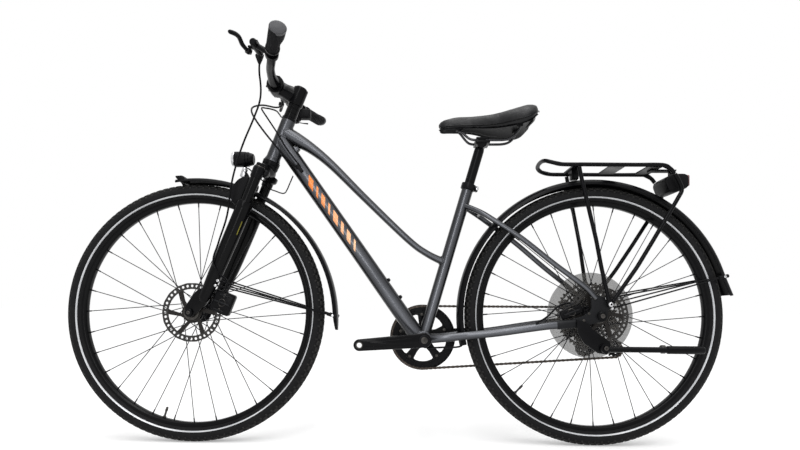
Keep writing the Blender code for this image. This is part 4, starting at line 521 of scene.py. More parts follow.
def hex_bolt(radius, height):
    """A cap screw head with its hexagon socket, standing on the XY plane."""
    deselect()
    bpy.ops.mesh.primitive_cylinder_add(vertices=24, radius=radius, depth=height, location=(0, 0, height / 2))
    thing = started("bolt head")
    bpy.ops.object.transform_apply(location=True)
    soften(thing, radius * 0.14, degrees=50)
    socket = plate("socket", [circle(0, 0, radius * 0.5, 6)], height, Matrix.Translation((0, 0, height)))
    choose([thing])
    cut = thing.modifiers.new("socket", "BOOLEAN")
    cut.solver = "EXACT"
    cut.object = socket
    bpy.ops.object.modifier_apply(modifier=cut.name)
    bpy.data.objects.remove(socket)
    return shade(thing, 40)


def bolts(name, places, radius, height):
    """Cap screws whose heads stand on the XY planes of the given frames."""
    return copies(name, hex_bolt(radius, height), places)


def placed(piece, body, look, *nodes):
    """Gives a piece its material, lets it ride and hides the nodes it stands for."""
    piece.data.materials.clear()
    piece.data.materials.append(material(look))
    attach(piece, body)
    if nodes:
        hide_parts(*nodes)
    return piece


# Materials


class Nodes:
    """A node tree made in short steps; an input is a socket or a plain value."""

    def __init__(self, tree):
        self.tree = tree

    def add(self, kind, inputs=None, **values):
        made = self.tree.nodes.new(f"ShaderNode{kind}")
        for key, value in values.items():
            setattr(made, key, value)
        for key, value in (inputs or {}).items():
            if isinstance(value, bpy.types.NodeSocket):
                self.tree.links.new(value, made.inputs[key])
            else:
                made.inputs[key].default_value = value
        return made

    def calc(self, operation, *values):
        return self.add("Math", dict(enumerate(values)), operation=operation).outputs[0]

    def plus(self, first, second):
        return self.calc("ADD", first, second)

    def times(self, first, second):
        return self.calc("MULTIPLY", first, second)

    def wave(self, value, period):
        return self.calc("SINE", self.times(value, math.tau / period))

    def place(self, centre=(0, 0, 0)):
        """Object coordinates measured from a centre."""
        shift = [-value for value in centre]
        return self.add("Mapping", {"Vector": self.add("TexCoord").outputs["Object"], "Location": shift}).outputs[0]

    def axes(self, place):
        return tuple(self.add("SeparateXYZ", {0: place}).outputs)


class Finish(Nodes):
    """A procedural material, patterned over its object's coordinates."""

    def __init__(self, name, roughness, metallic=0.0, specular=0.5, coat=0.0):
        self.made = bpy.data.materials.new(name)
        self.made.use_nodes = True
        super().__init__(self.made.node_tree)
        self.inputs = self.tree.nodes["Principled BSDF"].inputs
        self.spot = self.place()
        self.inputs["Roughness"].default_value = roughness
        self.inputs["Metallic"].default_value = metallic
        self.inputs["Specular IOR Level"].default_value = specular
        self.inputs["Coat Weight"].default_value = coat
        self.inputs["Coat Roughness"].default_value = 0.12

    def noise(self, scale, detail=3.0, roughness=0.5):
        inputs = {"Scale": scale, "Detail": detail, "Roughness": roughness, "Vector": self.spot}
        return self.add("TexNoise", inputs).outputs["Fac"]

    def cells(self, scale, feature="F1", output="Distance"):
        return self.add("TexVoronoi", {"Scale": scale, "Vector": self.spot}, feature=feature).outputs[output]

    def spread(self, factor, low, high, start=0.25, end=0.75):
        inputs = {"Value": factor, "From Min": start, "From Max": end, "To Min": low, "To Max": high}
        return self.add("MapRange", inputs).outputs["Result"]

    def polar(self, centre):
        """The distance from an axle and the angle round it."""
        x, _, z = self.axes(self.place(centre))
        return self.calc("SQRT", self.plus(self.times(x, x), self.times(z, z))), self.calc("ARCTAN2", z, x)

    def colours(self, factor, *stops):
        """Colours the surface along a factor from 0 to 1."""
        ramp = self.add("ValToRGB", {"Fac": factor})
        for index, (position, colour) in enumerate(stops):
            stop = ramp.color_ramp.elements[index] if index < 2 else ramp.color_ramp.elements.new(position)
            stop.position = position
            stop.color = (*colour, 1)
        self.tree.links.new(ramp.outputs["Color"], self.inputs["Base Color"])

    def gloss(self, factor, low, high):
        self.tree.links.new(self.spread(factor, low, high), self.inputs["Roughness"])

    def relief(self, height, distance, strength):
        bump = self.add("Bump", {"Distance": distance, "Strength": strength, "Height": height})
        self.tree.links.new(bump.outputs["Normal"], self.inputs["Normal"])


PLAIN_FINISHES = {
    # dark and light colour, roughness, metallic, specular, size of the grain, its depth, size of the drift
    "cable_cover": ((0.002, 0.002, 0.0023), (0.004, 0.004, 0.005), 0.4, 0.0, 0.07, 900, 0.0001, 9),
    "satin_black": ((0.002, 0.002, 0.0024), (0.004, 0.004, 0.005), 0.3, 0.0, 0.08, 420, 0.00004, 9),
    "gloss_black": ((0.002, 0.002, 0.0024), (0.0035, 0.0035, 0.004), 0.2, 0.0, 0.09, 300, 0.00002, 9),
    "black_alloy": ((0.003, 0.003, 0.0035), (0.007, 0.007, 0.008), 0.32, 0.2, 0.09, 700, 0.00005, 9),
    "black_plastic": ((0.003, 0.003, 0.0034), (0.006, 0.006, 0.007), 0.48, 0.0, 0.08, 1500, 0.00012, 9),
    "charcoal": ((0.007, 0.0072, 0.008), (0.015, 0.0155, 0.017), 0.36, 0.1, 0.08, 520, 0.00006, 9),
    "bright_steel": ((0.42, 0.42, 0.43), (0.66, 0.66, 0.67), 0.22, 1.0, 0.5, 600, 0.00004, 40),
    "dark_steel": ((0.03, 0.028, 0.026), (0.085, 0.08, 0.074), 0.36, 0.8, 0.4, 600, 0.00006, 60),
    "spoke_steel": ((0.008, 0.008, 0.009), (0.02, 0.02, 0.023), 0.3, 0.6, 0.25, 900, 0.00003, 30),
    "rail_steel": ((0.02, 0.02, 0.022), (0.045, 0.045, 0.05), 0.3, 0.6, 0.4, 500, 0.00005, 30),
    "tread_rubber": ((0.012, 0.012, 0.012), (0.032, 0.031, 0.03), 0.75, 0.0, 0.12, 800, 0.0001, 60),
    "yellow_mark": ((0.15, 0.135, 0.012), (0.26, 0.235, 0.02), 0.35, 0.0, 0.3, 500, 0.00004, 9),
}


def plain_finish(name, dark, light, roughness, metallic, specular, grain, depth, drift):
    """A finish whose colour and gloss drift a little over a fine grain."""
    made = Finish(name, roughness, metallic, specular)
    broad = made.noise(drift, 4.0, 0.6)
    made.colours(broad, (0.3, dark), (0.7, light))
    made.gloss(broad, roughness * 0.88, roughness * 1.12)
    made.relief(made.noise(grain, 2.0), depth, 0.6)
    return made


def frame_paint(name):
    """Metallic grey paint: fine flakes under a clear coat, and a painted highlight where a tube faces the camera."""
    made = Finish(name, 0.28, 0.8, 0.4, 0.2)
    base = Vector(settings().frame_colour)
    flakes = made.add("SeparateColor", {0: made.cells(2600, output="Color")}).outputs
    broad = made.noise(6)
    # painted highlight: the colour brightens where the surface faces the camera, standing in for a softbox reflected
    # along each tube
    away = made.add("LayerWeight", {"Blend": 0.45}).outputs["Facing"]
    tone = made.plus(made.times(flakes[0], 0.04), made.times(broad, 0.14))
    tone = made.plus(tone, made.times(made.calc("SUBTRACT", 1.0, away), 0.8))
    made.colours(tone, (0.3, base * 0.35), (0.62, base * 0.8), (0.82, base * 1.9), (0.92, base * 4.6))
    made.gloss(flakes[1], 0.26, 0.33)
    made.relief(broad, 0.00001, 0.3)
    return made


def tyre_rubber(name):
    """Tyre rubber with fine ribs round the side and dust in the tread."""
    made = Finish(name, 0.72, 0.0, 0.12)
    heights = []
    for axle in AXLES.values():
        radius, angle = made.polar(axle)
        ribs = made.calc("SINE", made.times(angle, 720))
        mixed = made.plus(made.times(made.wave(radius, 0.0022), 0.5), made.times(ribs, 0.28))
        side = made.times(mixed, made.calc("LESS_THAN", radius, 0.3455))
        heights.append(made.times(side, made.calc("LESS_THAN", radius, 0.36)))
    made.relief(made.plus(made.plus(*heights), made.noise(700, 4.0)), 0.00022, 0.7)
    dust = made.noise(45, 6.0, 0.7)
    made.colours(dust, (0.3, (0.004, 0.004, 0.0045)), (0.55, (0.008, 0.008, 0.0085)), (0.8, (0.016, 0.0155, 0.015)))
    made.gloss(dust, 0.58, 0.82)
    return made


def reflective_line(name):
    """Silver-white tape of tiny glass beads."""
    made = Finish(name, 0.38, 0.25, 0.6)
    made.colours(made.noise(14, 5.0), (0.3, (0.5, 0.51, 0.53)), (0.7, (0.72, 0.73, 0.75)))
    made.relief(made.cells(1800), 0.0001, 0.5)
    return made


def disc_steel(name):
    """Ground steel: rings left by the pads, darker away from the track."""
    made = Finish(name, 0.42, 0.6, 0.2)
    tones = []
    for axle in AXLES.values():
        radius, _ = made.polar(axle)
        inputs = {"W": made.times(radius, 2600), "Scale": 1.0, "Detail": 4.0}
        lines = made.add("TexNoise", inputs, noise_dimensions="1D").outputs["Fac"]
        track = made.plus(made.times(made.calc("GREATER_THAN", radius, 0.064), 0.3), lines)
        tones.append(made.times(track, made.calc("LESS_THAN", radius, 0.1)))
    tone = made.plus(*tones)
    made.colours(tone, (0.25, (0.01, 0.009, 0.008)), (0.6, (0.022, 0.02, 0.019)), (1.0, (0.05, 0.049, 0.048)))
    made.gloss(tone, 0.5, 0.38)
    made.relief(tone, 0.00005, 0.4)
    return made


def cog_steel(name):
    """Sprocket steel with brownish road dirt between the teeth."""
    made = Finish(name, 0.4, 0.6)
    dirt = made.noise(85, 7.0, 0.72)
    made.colours(dirt, (0.34, (0.018, 0.014, 0.011)), (0.52, (0.11, 0.09, 0.07)), (0.68, (0.4, 0.35, 0.29)))
    made.gloss(dirt, 0.55, 0.28)
    made.relief(made.noise(500), 0.0001, 0.6)
    return made


def chain_steel(name):
    """Oiled chain steel, dark in the gaps."""
    made = Finish(name, 0.34, 0.85)
    oil = made.noise(260, 5.0, 0.7)
    made.colours(oil, (0.3, (0.012, 0.01, 0.009)), (0.55, (0.055, 0.045, 0.038)), (0.8, (0.16, 0.135, 0.115)))
    made.gloss(oil, 0.28, 0.5)
    made.relief(oil, 0.00008, 0.5)
    return made


def crossed(made):
    """Coordinates along the two diagonals of the side view."""
    x, _, z = made.axes(made.spot)
    return made.plus(x, z), made.calc("SUBTRACT", z, x)


def grip_rubber(name):
    """Soft grip rubber with a crossed diamond relief."""
    made = Finish(name, 0.62, 0.0, 0.08)
    y = made.axes(made.spot)[1]
    hatch = made.times(*(made.wave(made.plus(run, y), 0.003) for run in crossed(made)))
    made.relief(hatch, 0.00045, 0.8)
    made.colours(made.spread(hatch, 0.2, 0.8), (0.2, (0.004, 0.004, 0.005)), (0.8, (0.014, 0.014, 0.015)))
    return made


def grip_end(name):
    """The hatched grey face of a grip's end cap."""
    made = Finish(name, 0.5, 0.0, 0.4)
    hatch = made.calc("MAXIMUM", *(made.wave(run, 0.0036) for run in crossed(made)))
    made.colours(hatch, (0.2, (0.012, 0.012, 0.014)), (0.9, (0.085, 0.085, 0.092)))
    made.relief(hatch, 0.0003, 0.6)
    return made


def saddle_leather(name):
    """Black saddle cover with a pebbled grain and soft creases."""
    made = Finish(name, 0.42, 0.0, 0.2)
    creases = made.noise(60, 5.0, 0.65)
    made.relief(made.plus(made.cells(620, "SMOOTH_F1"), made.times(creases, 0.5)), 0.00028, 0.55)
    made.colours(creases, (0.3, (0.004, 0.004, 0.0045)), (0.7, (0.009, 0.009, 0.01)))
    made.gloss(creases, 0.33, 0.5)
    return made


def smoky_plastic(name):
    """Thin see-through smoke-grey plastic with fine scratches."""
    made = Finish(name, 0.3, 0.0, 0.3)
    haze = made.noise(30, 6.0, 0.7)
    made.colours(haze, (0.3, (0.055, 0.053, 0.05)), (0.7, (0.11, 0.108, 0.104)))
    made.gloss(haze, 0.16, 0.34)
    made.relief(made.noise(240), 0.00008, 0.4)
    made.inputs["Alpha"].default_value = 0.48
    made.made.surface_render_method = "BLENDED"
    return made


def lens_glass(name):
    """Ribbed lamp lens with silver behind it."""
    made = Finish(name, 0.12, 0.55, 0.6, 0.8)
    made.relief(made.wave(made.axes(made.spot)[1], 0.003), 0.0005, 0.6)
    made.colours(made.noise(90), (0.3, (0.42, 0.43, 0.44)), (0.7, (0.7, 0.71, 0.72)))
    return made


def red_lens(name):
    """Red lens moulded with small square prisms."""
    made = Finish(name, 0.16, 0.0, 0.6, 0.6)
    prisms = made.times(*(made.wave(run, 0.004) for run in made.axes(made.spot)[1:]))
    made.relief(prisms, 0.0006, 0.7)
    made.colours(made.spread(prisms, 0.1, 0.9), (0.1, (0.055, 0.002, 0.003)), (0.9, (0.16, 0.005, 0.006)))
    return made


def accent_bars(name):
    """Orange print with a painted highlight that pales it toward its lower end."""
    made = Finish(name, 0.38, 0.0, 0.5, 0.3)
    # painted highlight: the print fades to a pale tint toward its lower end, where the light falls on the tube
    reach = made.spread(made.axes(made.spot)[0], 0, 1, -0.28, -0.1)
    cloud = made.noise(60, 4.0)
    base = Vector(settings().accent_colour)
    highlight_tint = base.lerp(Vector((0.92, 0.6, 0.36)), 0.85)
    made.colours(made.plus(reach, made.times(made.calc("SUBTRACT", cloud, 0.5), 0.3)), (0.2, base), (0.9, highlight_tint))
    made.relief(cloud, 0.00005, 0.3)
    return made


OTHER_FINISHES = {
    made.__name__: made for made in (
        frame_paint, tyre_rubber, reflective_line, disc_steel, cog_steel, chain_steel, grip_rubber, grip_end,
        saddle_leather, smoky_plastic, lens_glass, red_lens, accent_bars,
    )
}


def material(look):
    """The material of a look, made when it is first asked for."""
    name = f"{look}_finish"
    if name not in bpy.data.materials:
        if look in PLAIN_FINISHES:
            plain_finish(name, *PLAIN_FINISHES[look])
        else:
            OTHER_FINISHES[look](name)
    return bpy.data.materials[name]


# Wheels


def mirrored(half):
    """A closed loop of (radius, y) from the half with y above zero, crown last."""
    return half + [(radius, -y) for radius, y in half[-2::-1]]


def make_tyre(end):
    axle = AXLES[end]
    outside = mm([
        (313, 9.3), (316.5, 12.5), (321.5, 17.5), (327, 21.3), (333, 23.3), (338.5, 22.9), (343, 20.6), (347.5, 16.6),
        (351, 11.6), (353, 6), (353.7, 0),
    ])
    inside = mm([(313, 7), (321.5, 14), (333, 20), (340, 17.5), (347, 10.5), (350, 0)])
    loop = mirrored(outside) + mirrored(inside)[::-1]
    casing = turned(f"tyre_{end}", loop, across(axle), 128, 60)
    placed(casing, f"{end}_wheel", "tyre_rubber", f"{end}_tyre")
    placed(make_tread(f"tread_{end}", axle), f"{end}_wheel", "tread_rubber")
    for side, word in SIDES:
        low, high = (0.325 + share * settings().line_width for share in (-0.5, 0.5))
        band = [(low, side * 0.0182), (low, side * 0.0191), (high, side * 0.0219), (high, side * 0.0208)]
        line = turned(f"reflective_line_{end}_{word}", band, across(axle), 128, 60)
        placed(line, f"{end}_wheel", "reflective_line")


def make_tread(name, axle):
    """Rows of small blocks from the crown to the shoulders."""
    count = settings().tread_blocks
    rows = (
        # radius, y, lean of the surface, length, width, how far it stands out, turn in steps
        (0.3531, 0.0056, 9, 0.013, 0.0088, 0.0013, 0.0),
        (0.3487, 0.015, 36, 0.0125, 0.0085, 0.0013, 0.5),
        (0.3436, 0.0203, 55, 0.0045, 0.007, 0.0009, 0.0),
    )
    parts = []
    for radius, y, lean, length, width, proud, turn in rows:
        for side in (-1, 1):
            cosine = math.cos(math.radians(lean))
            sine = side * math.sin(math.radians(lean))
            place = aim((radius, side * y, 0), (cosine, sine, 0), (sine, -cosine, 0))
            shift = Matrix.Translation((0, 0, proud - 0.0015))
            spot = Matrix.Rotation((turn + (side > 0) * 0.5) * math.tau / count, 4, "Y")
            lug = block("lug", (length, width, 0.003), Matrix.Translation(axle) @ spot @ place @ shift, 0.0005, 1)
            parts.append(lug)
    tread = joined(name, parts)
    return copied_round(tread, count, axle)


def make_rim(end):
    axle = AXLES[end]
    half = mm([
        (312.1, 0), (312.3, 10.4), (313.6, 10.9), (314.3, 11.3), (314.3, 12.4), (313.4, 12.6), (310, 12.4),
        (306.2, 10.8), (304, 8.6), (303.1, 5.6), (303, 0),
    ])
    loop = half + [(radius, -y) for radius, y in half[-2:0:-1]]
    rim = turned(f"rim_{end}", loop, across(axle), 128, 50)
    placed(rim, f"{end}_wheel", "gloss_black", f"{end}_rim")
    angle = VALVE_ANGLE[end]
    out = Vector((math.cos(angle), 0, math.sin(angle)))
    stem = rod("valve", axle + out * 0.31, axle + out * 0.279, 0.0028, 12)
    nut = rod("valve nut", axle + out * 0.3022, axle + out * 0.2995, 0.0052, 6)
    cap = rod("valve cap", axle + out * 0.285, axle + out * 0.2735, 0.0037, 10, 0.003, 0.0006)
    placed(joined(f"valve_{end}", [stem, nut, cap]), f"{end}_wheel", "dark_steel")


def make_spokes(end, flanges):
    """Four spokes with nipples and heads, repeated eight times round the hub."""
    axle = AXLES[end]
    thick = settings().spoke_radius
    parts = []
    for index in range(4):
        trailing, right = divmod(index, 2)
        head = 0.0022 if trailing else -0.0022
        rim_angle = index * math.tau / 32
        hub_angle = rim_angle + (SPOKE_CROSSING if trailing else -SPOKE_CROSSING)
        hole = axle + ray(hub_angle, 0.0265, flanges[right])
        start = hole + Vector((0, head, 0))
        finish = axle + ray(rim_angle, 0.3036, (0.003 if right else -0.003) + head * 0.35)
        run = (finish - start).normalized()
        elbow = head + math.copysign(0.0008, head)
        parts += [
            rod("spoke", start, finish, thick, 8, rounding=0.0001),
            rod("nipple", finish - run * 0.013, finish, 0.0018, 8, 0.0021, 0.0003),
            crossbar("elbow", hole, -elbow, elbow, thick * 1.5, 8, rounding=0.0003),
        ]
    spokes = joined(f"spokes_{end}", parts)
    placed(copied_round(spokes, 8, axle), f"{end}_wheel", "spoke_steel")


FRONT_HUB = mm([
    (6.3, 49.7), (8.5, 49.7), (9.5, 48), (9.5, 41.5), (12.5, 40), (13.5, 36.5), (20.5, 35.8), (28.5, 35.2),
    (29, 34.6), (29, 32.4), (28.5, 31.8), (20, 30.8), (15.2, 27), (13.2, 18), (13, 0), (13.6, -15), (16.5, -23),
    (21.5, -26.2), (28.5, -26.8), (29, -27.4), (29, -29.6), (28.5, -30.2), (20, -31.2), (17, -32.5), (17, -38.3),
    (9.5, -38.3), (9.5, -48), (8.5, -49.7), (6.3, -49.7),
])
REAR_HUB = mm([
    (6.3, 67.2), (8.8, 67.2), (9.5, 66.2), (9.5, 64.1), (16.3, 64), (16.9, 63.4), (16.9, 20.5), (20.5, 19.2),
    (28.5, 18.3), (29, 17.7), (29, 15.3), (28.5, 14.7), (21, 13.8), (17.5, 10), (16, 0), (16.5, -18), (19, -27),
    (23, -31.8), (28.5, -32.2), (29, -32.8), (29, -35.2), (28.5, -35.8), (20, -37), (17.5, -38.5), (17, -48.8),
    (9.5, -48.8), (9.5, -66), (8.5, -67.2), (6.3, -67.2),
])


def make_hub(end, profile):
    hub = turned(f"hub_{end}", profile, across(AXLES[end]), 48, 30)
    placed(hub, f"{end}_wheel", "black_alloy", f"{end}_hub")


def make_disc(end):
    """A brake disc: drilled track, six swept arms and its lockring."""
    edge = [spot(a, 0.08 - 0.0004 * (1 - math.cos(18 * a))) for a in turns(144)]
    outlines = [edge, circle(0, 0, 0.0102)]
    for middle in turns(6):
        outer = [spot(middle + math.radians(a), 0.0632) for a in (5, 12, 19, 26, 33, 40, 47, 53)]
        inner = [spot(middle + math.radians(a), 0.0265) for a in (66, 56, 46, 36, 27)]
        outlines.append(outer + inner)
        outlines += [circle(*spot(middle + math.radians(hole * 10), 0.0717), 0.0036, 12) for hole in range(6)]
    disc = plate(f"disc_{end}", outlines, 0.0018, side_view(ROTOR_Y[end], AXLES[end]))
    placed(disc, f"{end}_wheel", "disc_steel", f"{end}_rotor")
    ring = mm([(10.4, -1), (20.8, -1), (20.8, -2.8), (18.5, -4), (12.8, -4), (10.4, -3)])
    lock = turned(f"lockring_{end}", ring, across(AXLES[end], ROTOR_Y[end]), 24, 30)
    placed(lock, f"{end}_wheel", "dark_steel")


def make_spoke_protector():
    profile = mm([
        (119, 22.6), (120, 23), (120, 23.8), (119, 24.2), (60, 24.4), (32, 25), (18, 25), (18, 23.7), (32, 23.6),
        (60, 22.9),
    ])
    guard = turned("spoke_guard", profile, across(REAR_AXLE), 96, 40)
    placed(guard, "rear_wheel", "smoky_plastic", "spoke_protector")


# Drive


def pitch_radius(teeth):
    return CHAIN_PITCH / (2 * math.sin(math.pi / teeth))


def tooth_outline(teeth, phase, tip=0.003, root=0.004):
    """A sprocket's edge with a tooth's middle at the phase angle."""
    return [
        spot(phase + (index + share) * math.tau / teeth, pitch_radius(teeth) + reach)
        for index in range(teeth) for share, reach in ((-0.32, -root), (-0.12, tip), (0.12, tip), (0.32, -root))
    ]


CHAIN_WHEELS = (
    # centre, teeth, way round, y
    (BB, 44, 1, CHAINLINE_FRONT), (TENSION_PULLEY, 11, 1, CHAINLINE_REAR), (GUIDE_PULLEY, 11, -1, CHAINLINE_REAR),
    (REAR_AXLE, 11, 1, CHAINLINE_REAR),
)


def chain_line():
    """Fine points of the closed chain: round each wheel and straight between them."""
    spans = []
    for index, (centre, teeth, way, y) in enumerate(CHAIN_WHEELS):
        other, other_teeth, other_way, other_y = CHAIN_WHEELS[(index + 1) % len(CHAIN_WHEELS)]
        dx, dz = other.x - centre.x, other.z - centre.z
        first = way * pitch_radius(teeth)
        second = other_way * pitch_radius(other_teeth)
        heading = math.atan2(dz, dx) - math.asin((second - first) / math.hypot(dx, dz))
        normal = Vector((-math.sin(heading), 0, math.cos(heading)))
        leave = centre - normal * first + Vector((0, y, 0))
        arrive = other - normal * second + Vector((0, other_y, 0))
        spans.append((heading, leave, arrive))
    points = []
    for index, (centre, teeth, way, y) in enumerate(CHAIN_WHEELS):
        arrive = spans[index - 1][2]
        heading, leave, following = spans[index]
        sweep = (way * (heading - spans[index - 1][0])) % math.tau
        start = math.atan2(arrive.z - centre.z, arrive.x - centre.x)
        count = max(4, round(sweep / 0.03))
        radius = pitch_radius(teeth)
        points += [centre + ray(start + way * sweep * step / count, radius, y) for step in range(count)]
        straight = max(1, round((following - leave).length / 0.01))
        points += [leave.lerp(following, step / straight) for step in range(straight)]
    return points


def chain_rollers():
    """Where each roller of the chain sits, one pitch apart."""
    points = chain_line()
    lengths = [(b - a).length for a, b in zip(points, points[1:] + points[:1])]
    count = 2 * round(sum(lengths) / CHAIN_PITCH / 2)
    pitch = sum(lengths) / count
    rollers, walked, index = [], 0.0, 0
    for number in range(count):
        target = number * pitch
        while walked + lengths[index] < target:
            walked += lengths[index]
            index += 1
        after = points[(index + 1) % len(points)]
        rollers.append(points[index].lerp(after, (target - walked) / lengths[index]))
    return rollers


def tooth_phase(wheel):
    """The angle of a tooth that stands between two rollers on this wheel of the chain."""
    centre, teeth, _, y = CHAIN_WHEELS[wheel]
    centre = centre + Vector((0, y, 0))
    resting = [point for point in chain_rollers() if abs((point - centre).length - pitch_radius(teeth)) < 0.0004]
    middle = resting[len(resting) // 2] - centre
    return math.atan2(middle.z, middle.x) + math.pi / teeth


LINK_THICKNESS = 0.0008


def link_plates(name, y, roller=0.0):
    """Two waisted side plates one pitch apart, with the rollers of an inner link."""
    ends = ((CHAIN_PITCH, (-70, -35, 0, 35, 70)), (0.0, (110, 145, 180, 215, 250)))
    turned_to = [(x, math.radians(degrees)) for x, angles in ends for degrees in angles]
    outline = [(x + 0.0038 * math.cos(angle), 0.0038 * math.sin(angle)) for x, angle in turned_to]
    outline.insert(5, (CHAIN_PITCH / 2, 0.0026))
    outline.append((CHAIN_PITCH / 2, -0.0026))
    parts = [plate("side plate", [outline], LINK_THICKNESS, side_view(side * y)) for side in (-1, 1)]
    reach, *sizes, rounding = (y, roller, 10, 0.0001) if roller else (y + LINK_THICKNESS, 0.0016, 8, 0.0002)
    parts += [crossbar("pin", Vector((x, 0, 0)), -reach, reach, *sizes, rounding=rounding) for x in (0.0, CHAIN_PITCH)]
    return joined(name, parts)


def link_places(first):
    """Frames for every other link of the chain."""
    rollers = chain_rollers()
    half_turn = Matrix.Rotation(math.pi, 4, "Z")
    ends = list(zip(rollers, rollers[1:] + rollers[:1]))[first::2]
    return [aim(start, Vector((0, 1, 0)).cross(end - start)) @ half_turn for start, end in ends]


def make_chain():
    inner = copies("chain_inner_links", link_plates("inner link", 0.00205, 0.0036), link_places(0))
    outer = copies("chain_outer_links", link_plates("outer link", 0.003), link_places(1))
    placed(joined("chain_links", [inner, outer]), "frame", "chain_steel", "chain")


def make_chainring():
    """The toothed ring, and the guard that stands on spacers beside it."""
    outlines = [tooth_outline(44, tooth_phase(0)), circle(0, 0, 0.0712, 64)]
    outlines += [circle(*spot(a, 0.0775), 0.0016, 8) for a in turns(20)]
    ring = plate("toothed_ring", outlines, 0.0026, side_view(CHAINLINE_FRONT, BB))
    placed(ring, "crankset", "black_alloy", "chainring")
    guard = [circle(0, 0, 0.0932, 96), circle(0, 0, 0.069, 64)]
    parts = [plate("guard", guard, 0.0016, side_view(0.054, BB), 0.0004)]
    parts += [crossbar("spacer", BB.lerp(bolt, 1.12), 0.0485, 0.0536, 0.004, 16) for bolt in ring_bolt_spots()]
    placed(joined("chain_guard", parts), "crankset", "black_plastic")


def ring_bolt_spots():
    return [BB + ray(math.radians(20 + 72 * arm), 0.0652) for arm in range(5)]


SPIDER_WINDOW = (
    # distance from the axle, angle
    (0.064, -25), (0.0668, -21), (0.0678, -10), (0.0678, 0), (0.0678, 10), (0.0668, 21), (0.064, 25),
    (0.044, 23), (0.033, 17), (0.0295, 8), (0.029, 0), (0.0295, -8), (0.033, -17), (0.044, -23),
)


def spider_outlines():
    """The spider's edge and its five wide windows."""
    return [circle(0, 0, 0.0707, 80)] + [
        [spot(math.radians(56 + 72 * arm + turn), reach) for reach, turn in SPIDER_WINDOW] for arm in range(5)
    ]


def make_crank(side, word):
    eye = ray(math.radians(4.7), 0.17) * side
    body = side_view(side * 0.088, BB)
    arm_shape = hull([(0, 0, 0.019), (eye.x * 0.35, eye.z * 0.35, 0.0165), (eye.x, eye.z, 0.0155)])
    rib_shape = hull([(eye.x * 0.2, eye.z * 0.2, 0.0085), (eye.x * 0.82, eye.z * 0.82, 0.006)], 20)
    parts = [
        plate("arm", [arm_shape, circle(eye.x, eye.z, 0.0068)], 0.012, body, 0.0026),
        plate("rib", [rib_shape], 0.002, Matrix.Translation((0, side * 0.0062, 0)) @ body, 0.0008),
        crossbar("boss", BB, side * 0.0369, side * 0.086, 0.016, 32, 0.0168),
    ]
    if side > 0:
        place = side_view(CHAINLINE_FRONT, BB)
        parts.append(plate("spider", spider_outlines(), 0.0042, place, 0.0007))
        parts.append(crossbar("spindle", BB, -0.0363, 0.04, 0.0119, 32))
    placed(joined(f"crank_{word}", parts), "crankset", "gloss_black", f"{word}_crank")
    cap = crossbar(f"spindle_cap_{word}", BB, side * 0.0935, side * 0.0957, 0.0142, 32, 0.0135, 0.0006)
    placed(cap, "crankset", "black_alloy")
    screw = facing(BB, side, 0.0955)
    placed(bolts(f"spindle_bolt_{word}", [screw], 0.0088, 0.0022), "crankset", "dark_steel")
    thread = mm([(6.6, 5.6), (9.2, 5.6), (9.2, 6.6), (6.6, 6.6)])
    thread = turned(f"pedal_thread_{word}", thread, facing(BB + eye, side, 0.088), 32)
    placed(thread, "crankset", "dark_steel")


def make_ring_bolts():
    faces = ((-1, 0.0455), (1, 0.0547))
    spots = [facing(point + Vector((0, y, 0)), side) for point in ring_bolt_spots() for side, y in faces]
    placed(bolts("ring_bolts", spots, 0.0042, 0.0014), "crankset", "dark_steel")


COGS = (
    # teeth, y, arms
    (11, 0.0605, 0), (13, 0.0553, 0), (15, 0.0526, 0), (17, 0.0499, 0), (19, 0.0472, 6), (22, 0.0445, 6),
    (26, 0.0418, 6), (30, 0.0391, 6), (34, 0.0364, 6), (39, 0.0337, 6), (46, 0.03, 6),
)


def make_cassette():
    """A stack of toothed sprockets on slim spacers."""
    parts = []
    low, half_window = 0.0225, math.radians(20)
    for teeth, y, arms in COGS:
        tip = 0.0016 if teeth == 46 else 0.0026
        outlines = [tooth_outline(teeth, tooth_phase(3) if teeth == 11 else 0.0, tip), circle(0, 0, 0.0176, 32)]
        high = pitch_radius(teeth) - 0.0085
        if high - low > 0.004:
            corners = ((high, -1), (high, 0), (high, 1), (low, 0.8), (low, -0.8))
            for arm in range(arms):
                middle = arm * math.tau / arms + y * 40
                outlines.append([spot(middle + half_window * share, reach) for reach, share in corners])
        parts.append(plate("cog", outlines, 0.0018, side_view(y, REAR_AXLE)))
    carrier = mm([(17.6, 60), (20.5, 60), (20.5, 30), (17.6, 30)])
    parts.append(turned("carrier", carrier, across(REAR_AXLE), 48))
    lock = mm([(10, 62.2), (15, 62.7), (16, 61.5), (16, 60), (10, 60)])
    parts.append(turned("lock", lock, across(REAR_AXLE), 32))
    placed(joined("cog_stack", parts), "sprockets", "cog_steel", "cassette")


# Frame


def weld_line(start, way, wide, high, axis_point, axis_way, radius):
    """Where an oval tube's skin meets a round tube."""
    way, axis_way = way.normalized(), axis_way.normalized()
    sideways = (Vector((0, 1, 0)) - way * way.y).normalized()
    run = way - axis_way * way.dot(axis_way)
    points = []
    for point in oval(start, sideways, way.cross(sideways), wide, high, 40):
        off = point - axis_point
        off -= axis_way * off.dot(axis_way)
        a, b, c = run.dot(run), off.dot(run), off.dot(off) - radius * radius
        points.append(point + way * ((-b - math.sqrt(max(0.0, b * b - a * c))) / a))
    return points


def weld_bead(name, points, lean):
    """A smooth bead along a closed line."""
    thick = settings().weld_radius
    rings = []
    for before, centre, after in zip(points[-1:] + points, points, points[1:] + points[:1]):
        run = (after - before).normalized()
        out = (lean - run * lean.dot(run)).normalized()
        rings.append(oval(centre, out, run.cross(out), thick, thick, 12))
    return placed(skin(name, rings + rings[:1], caps=False), "frame", "frame_paint")


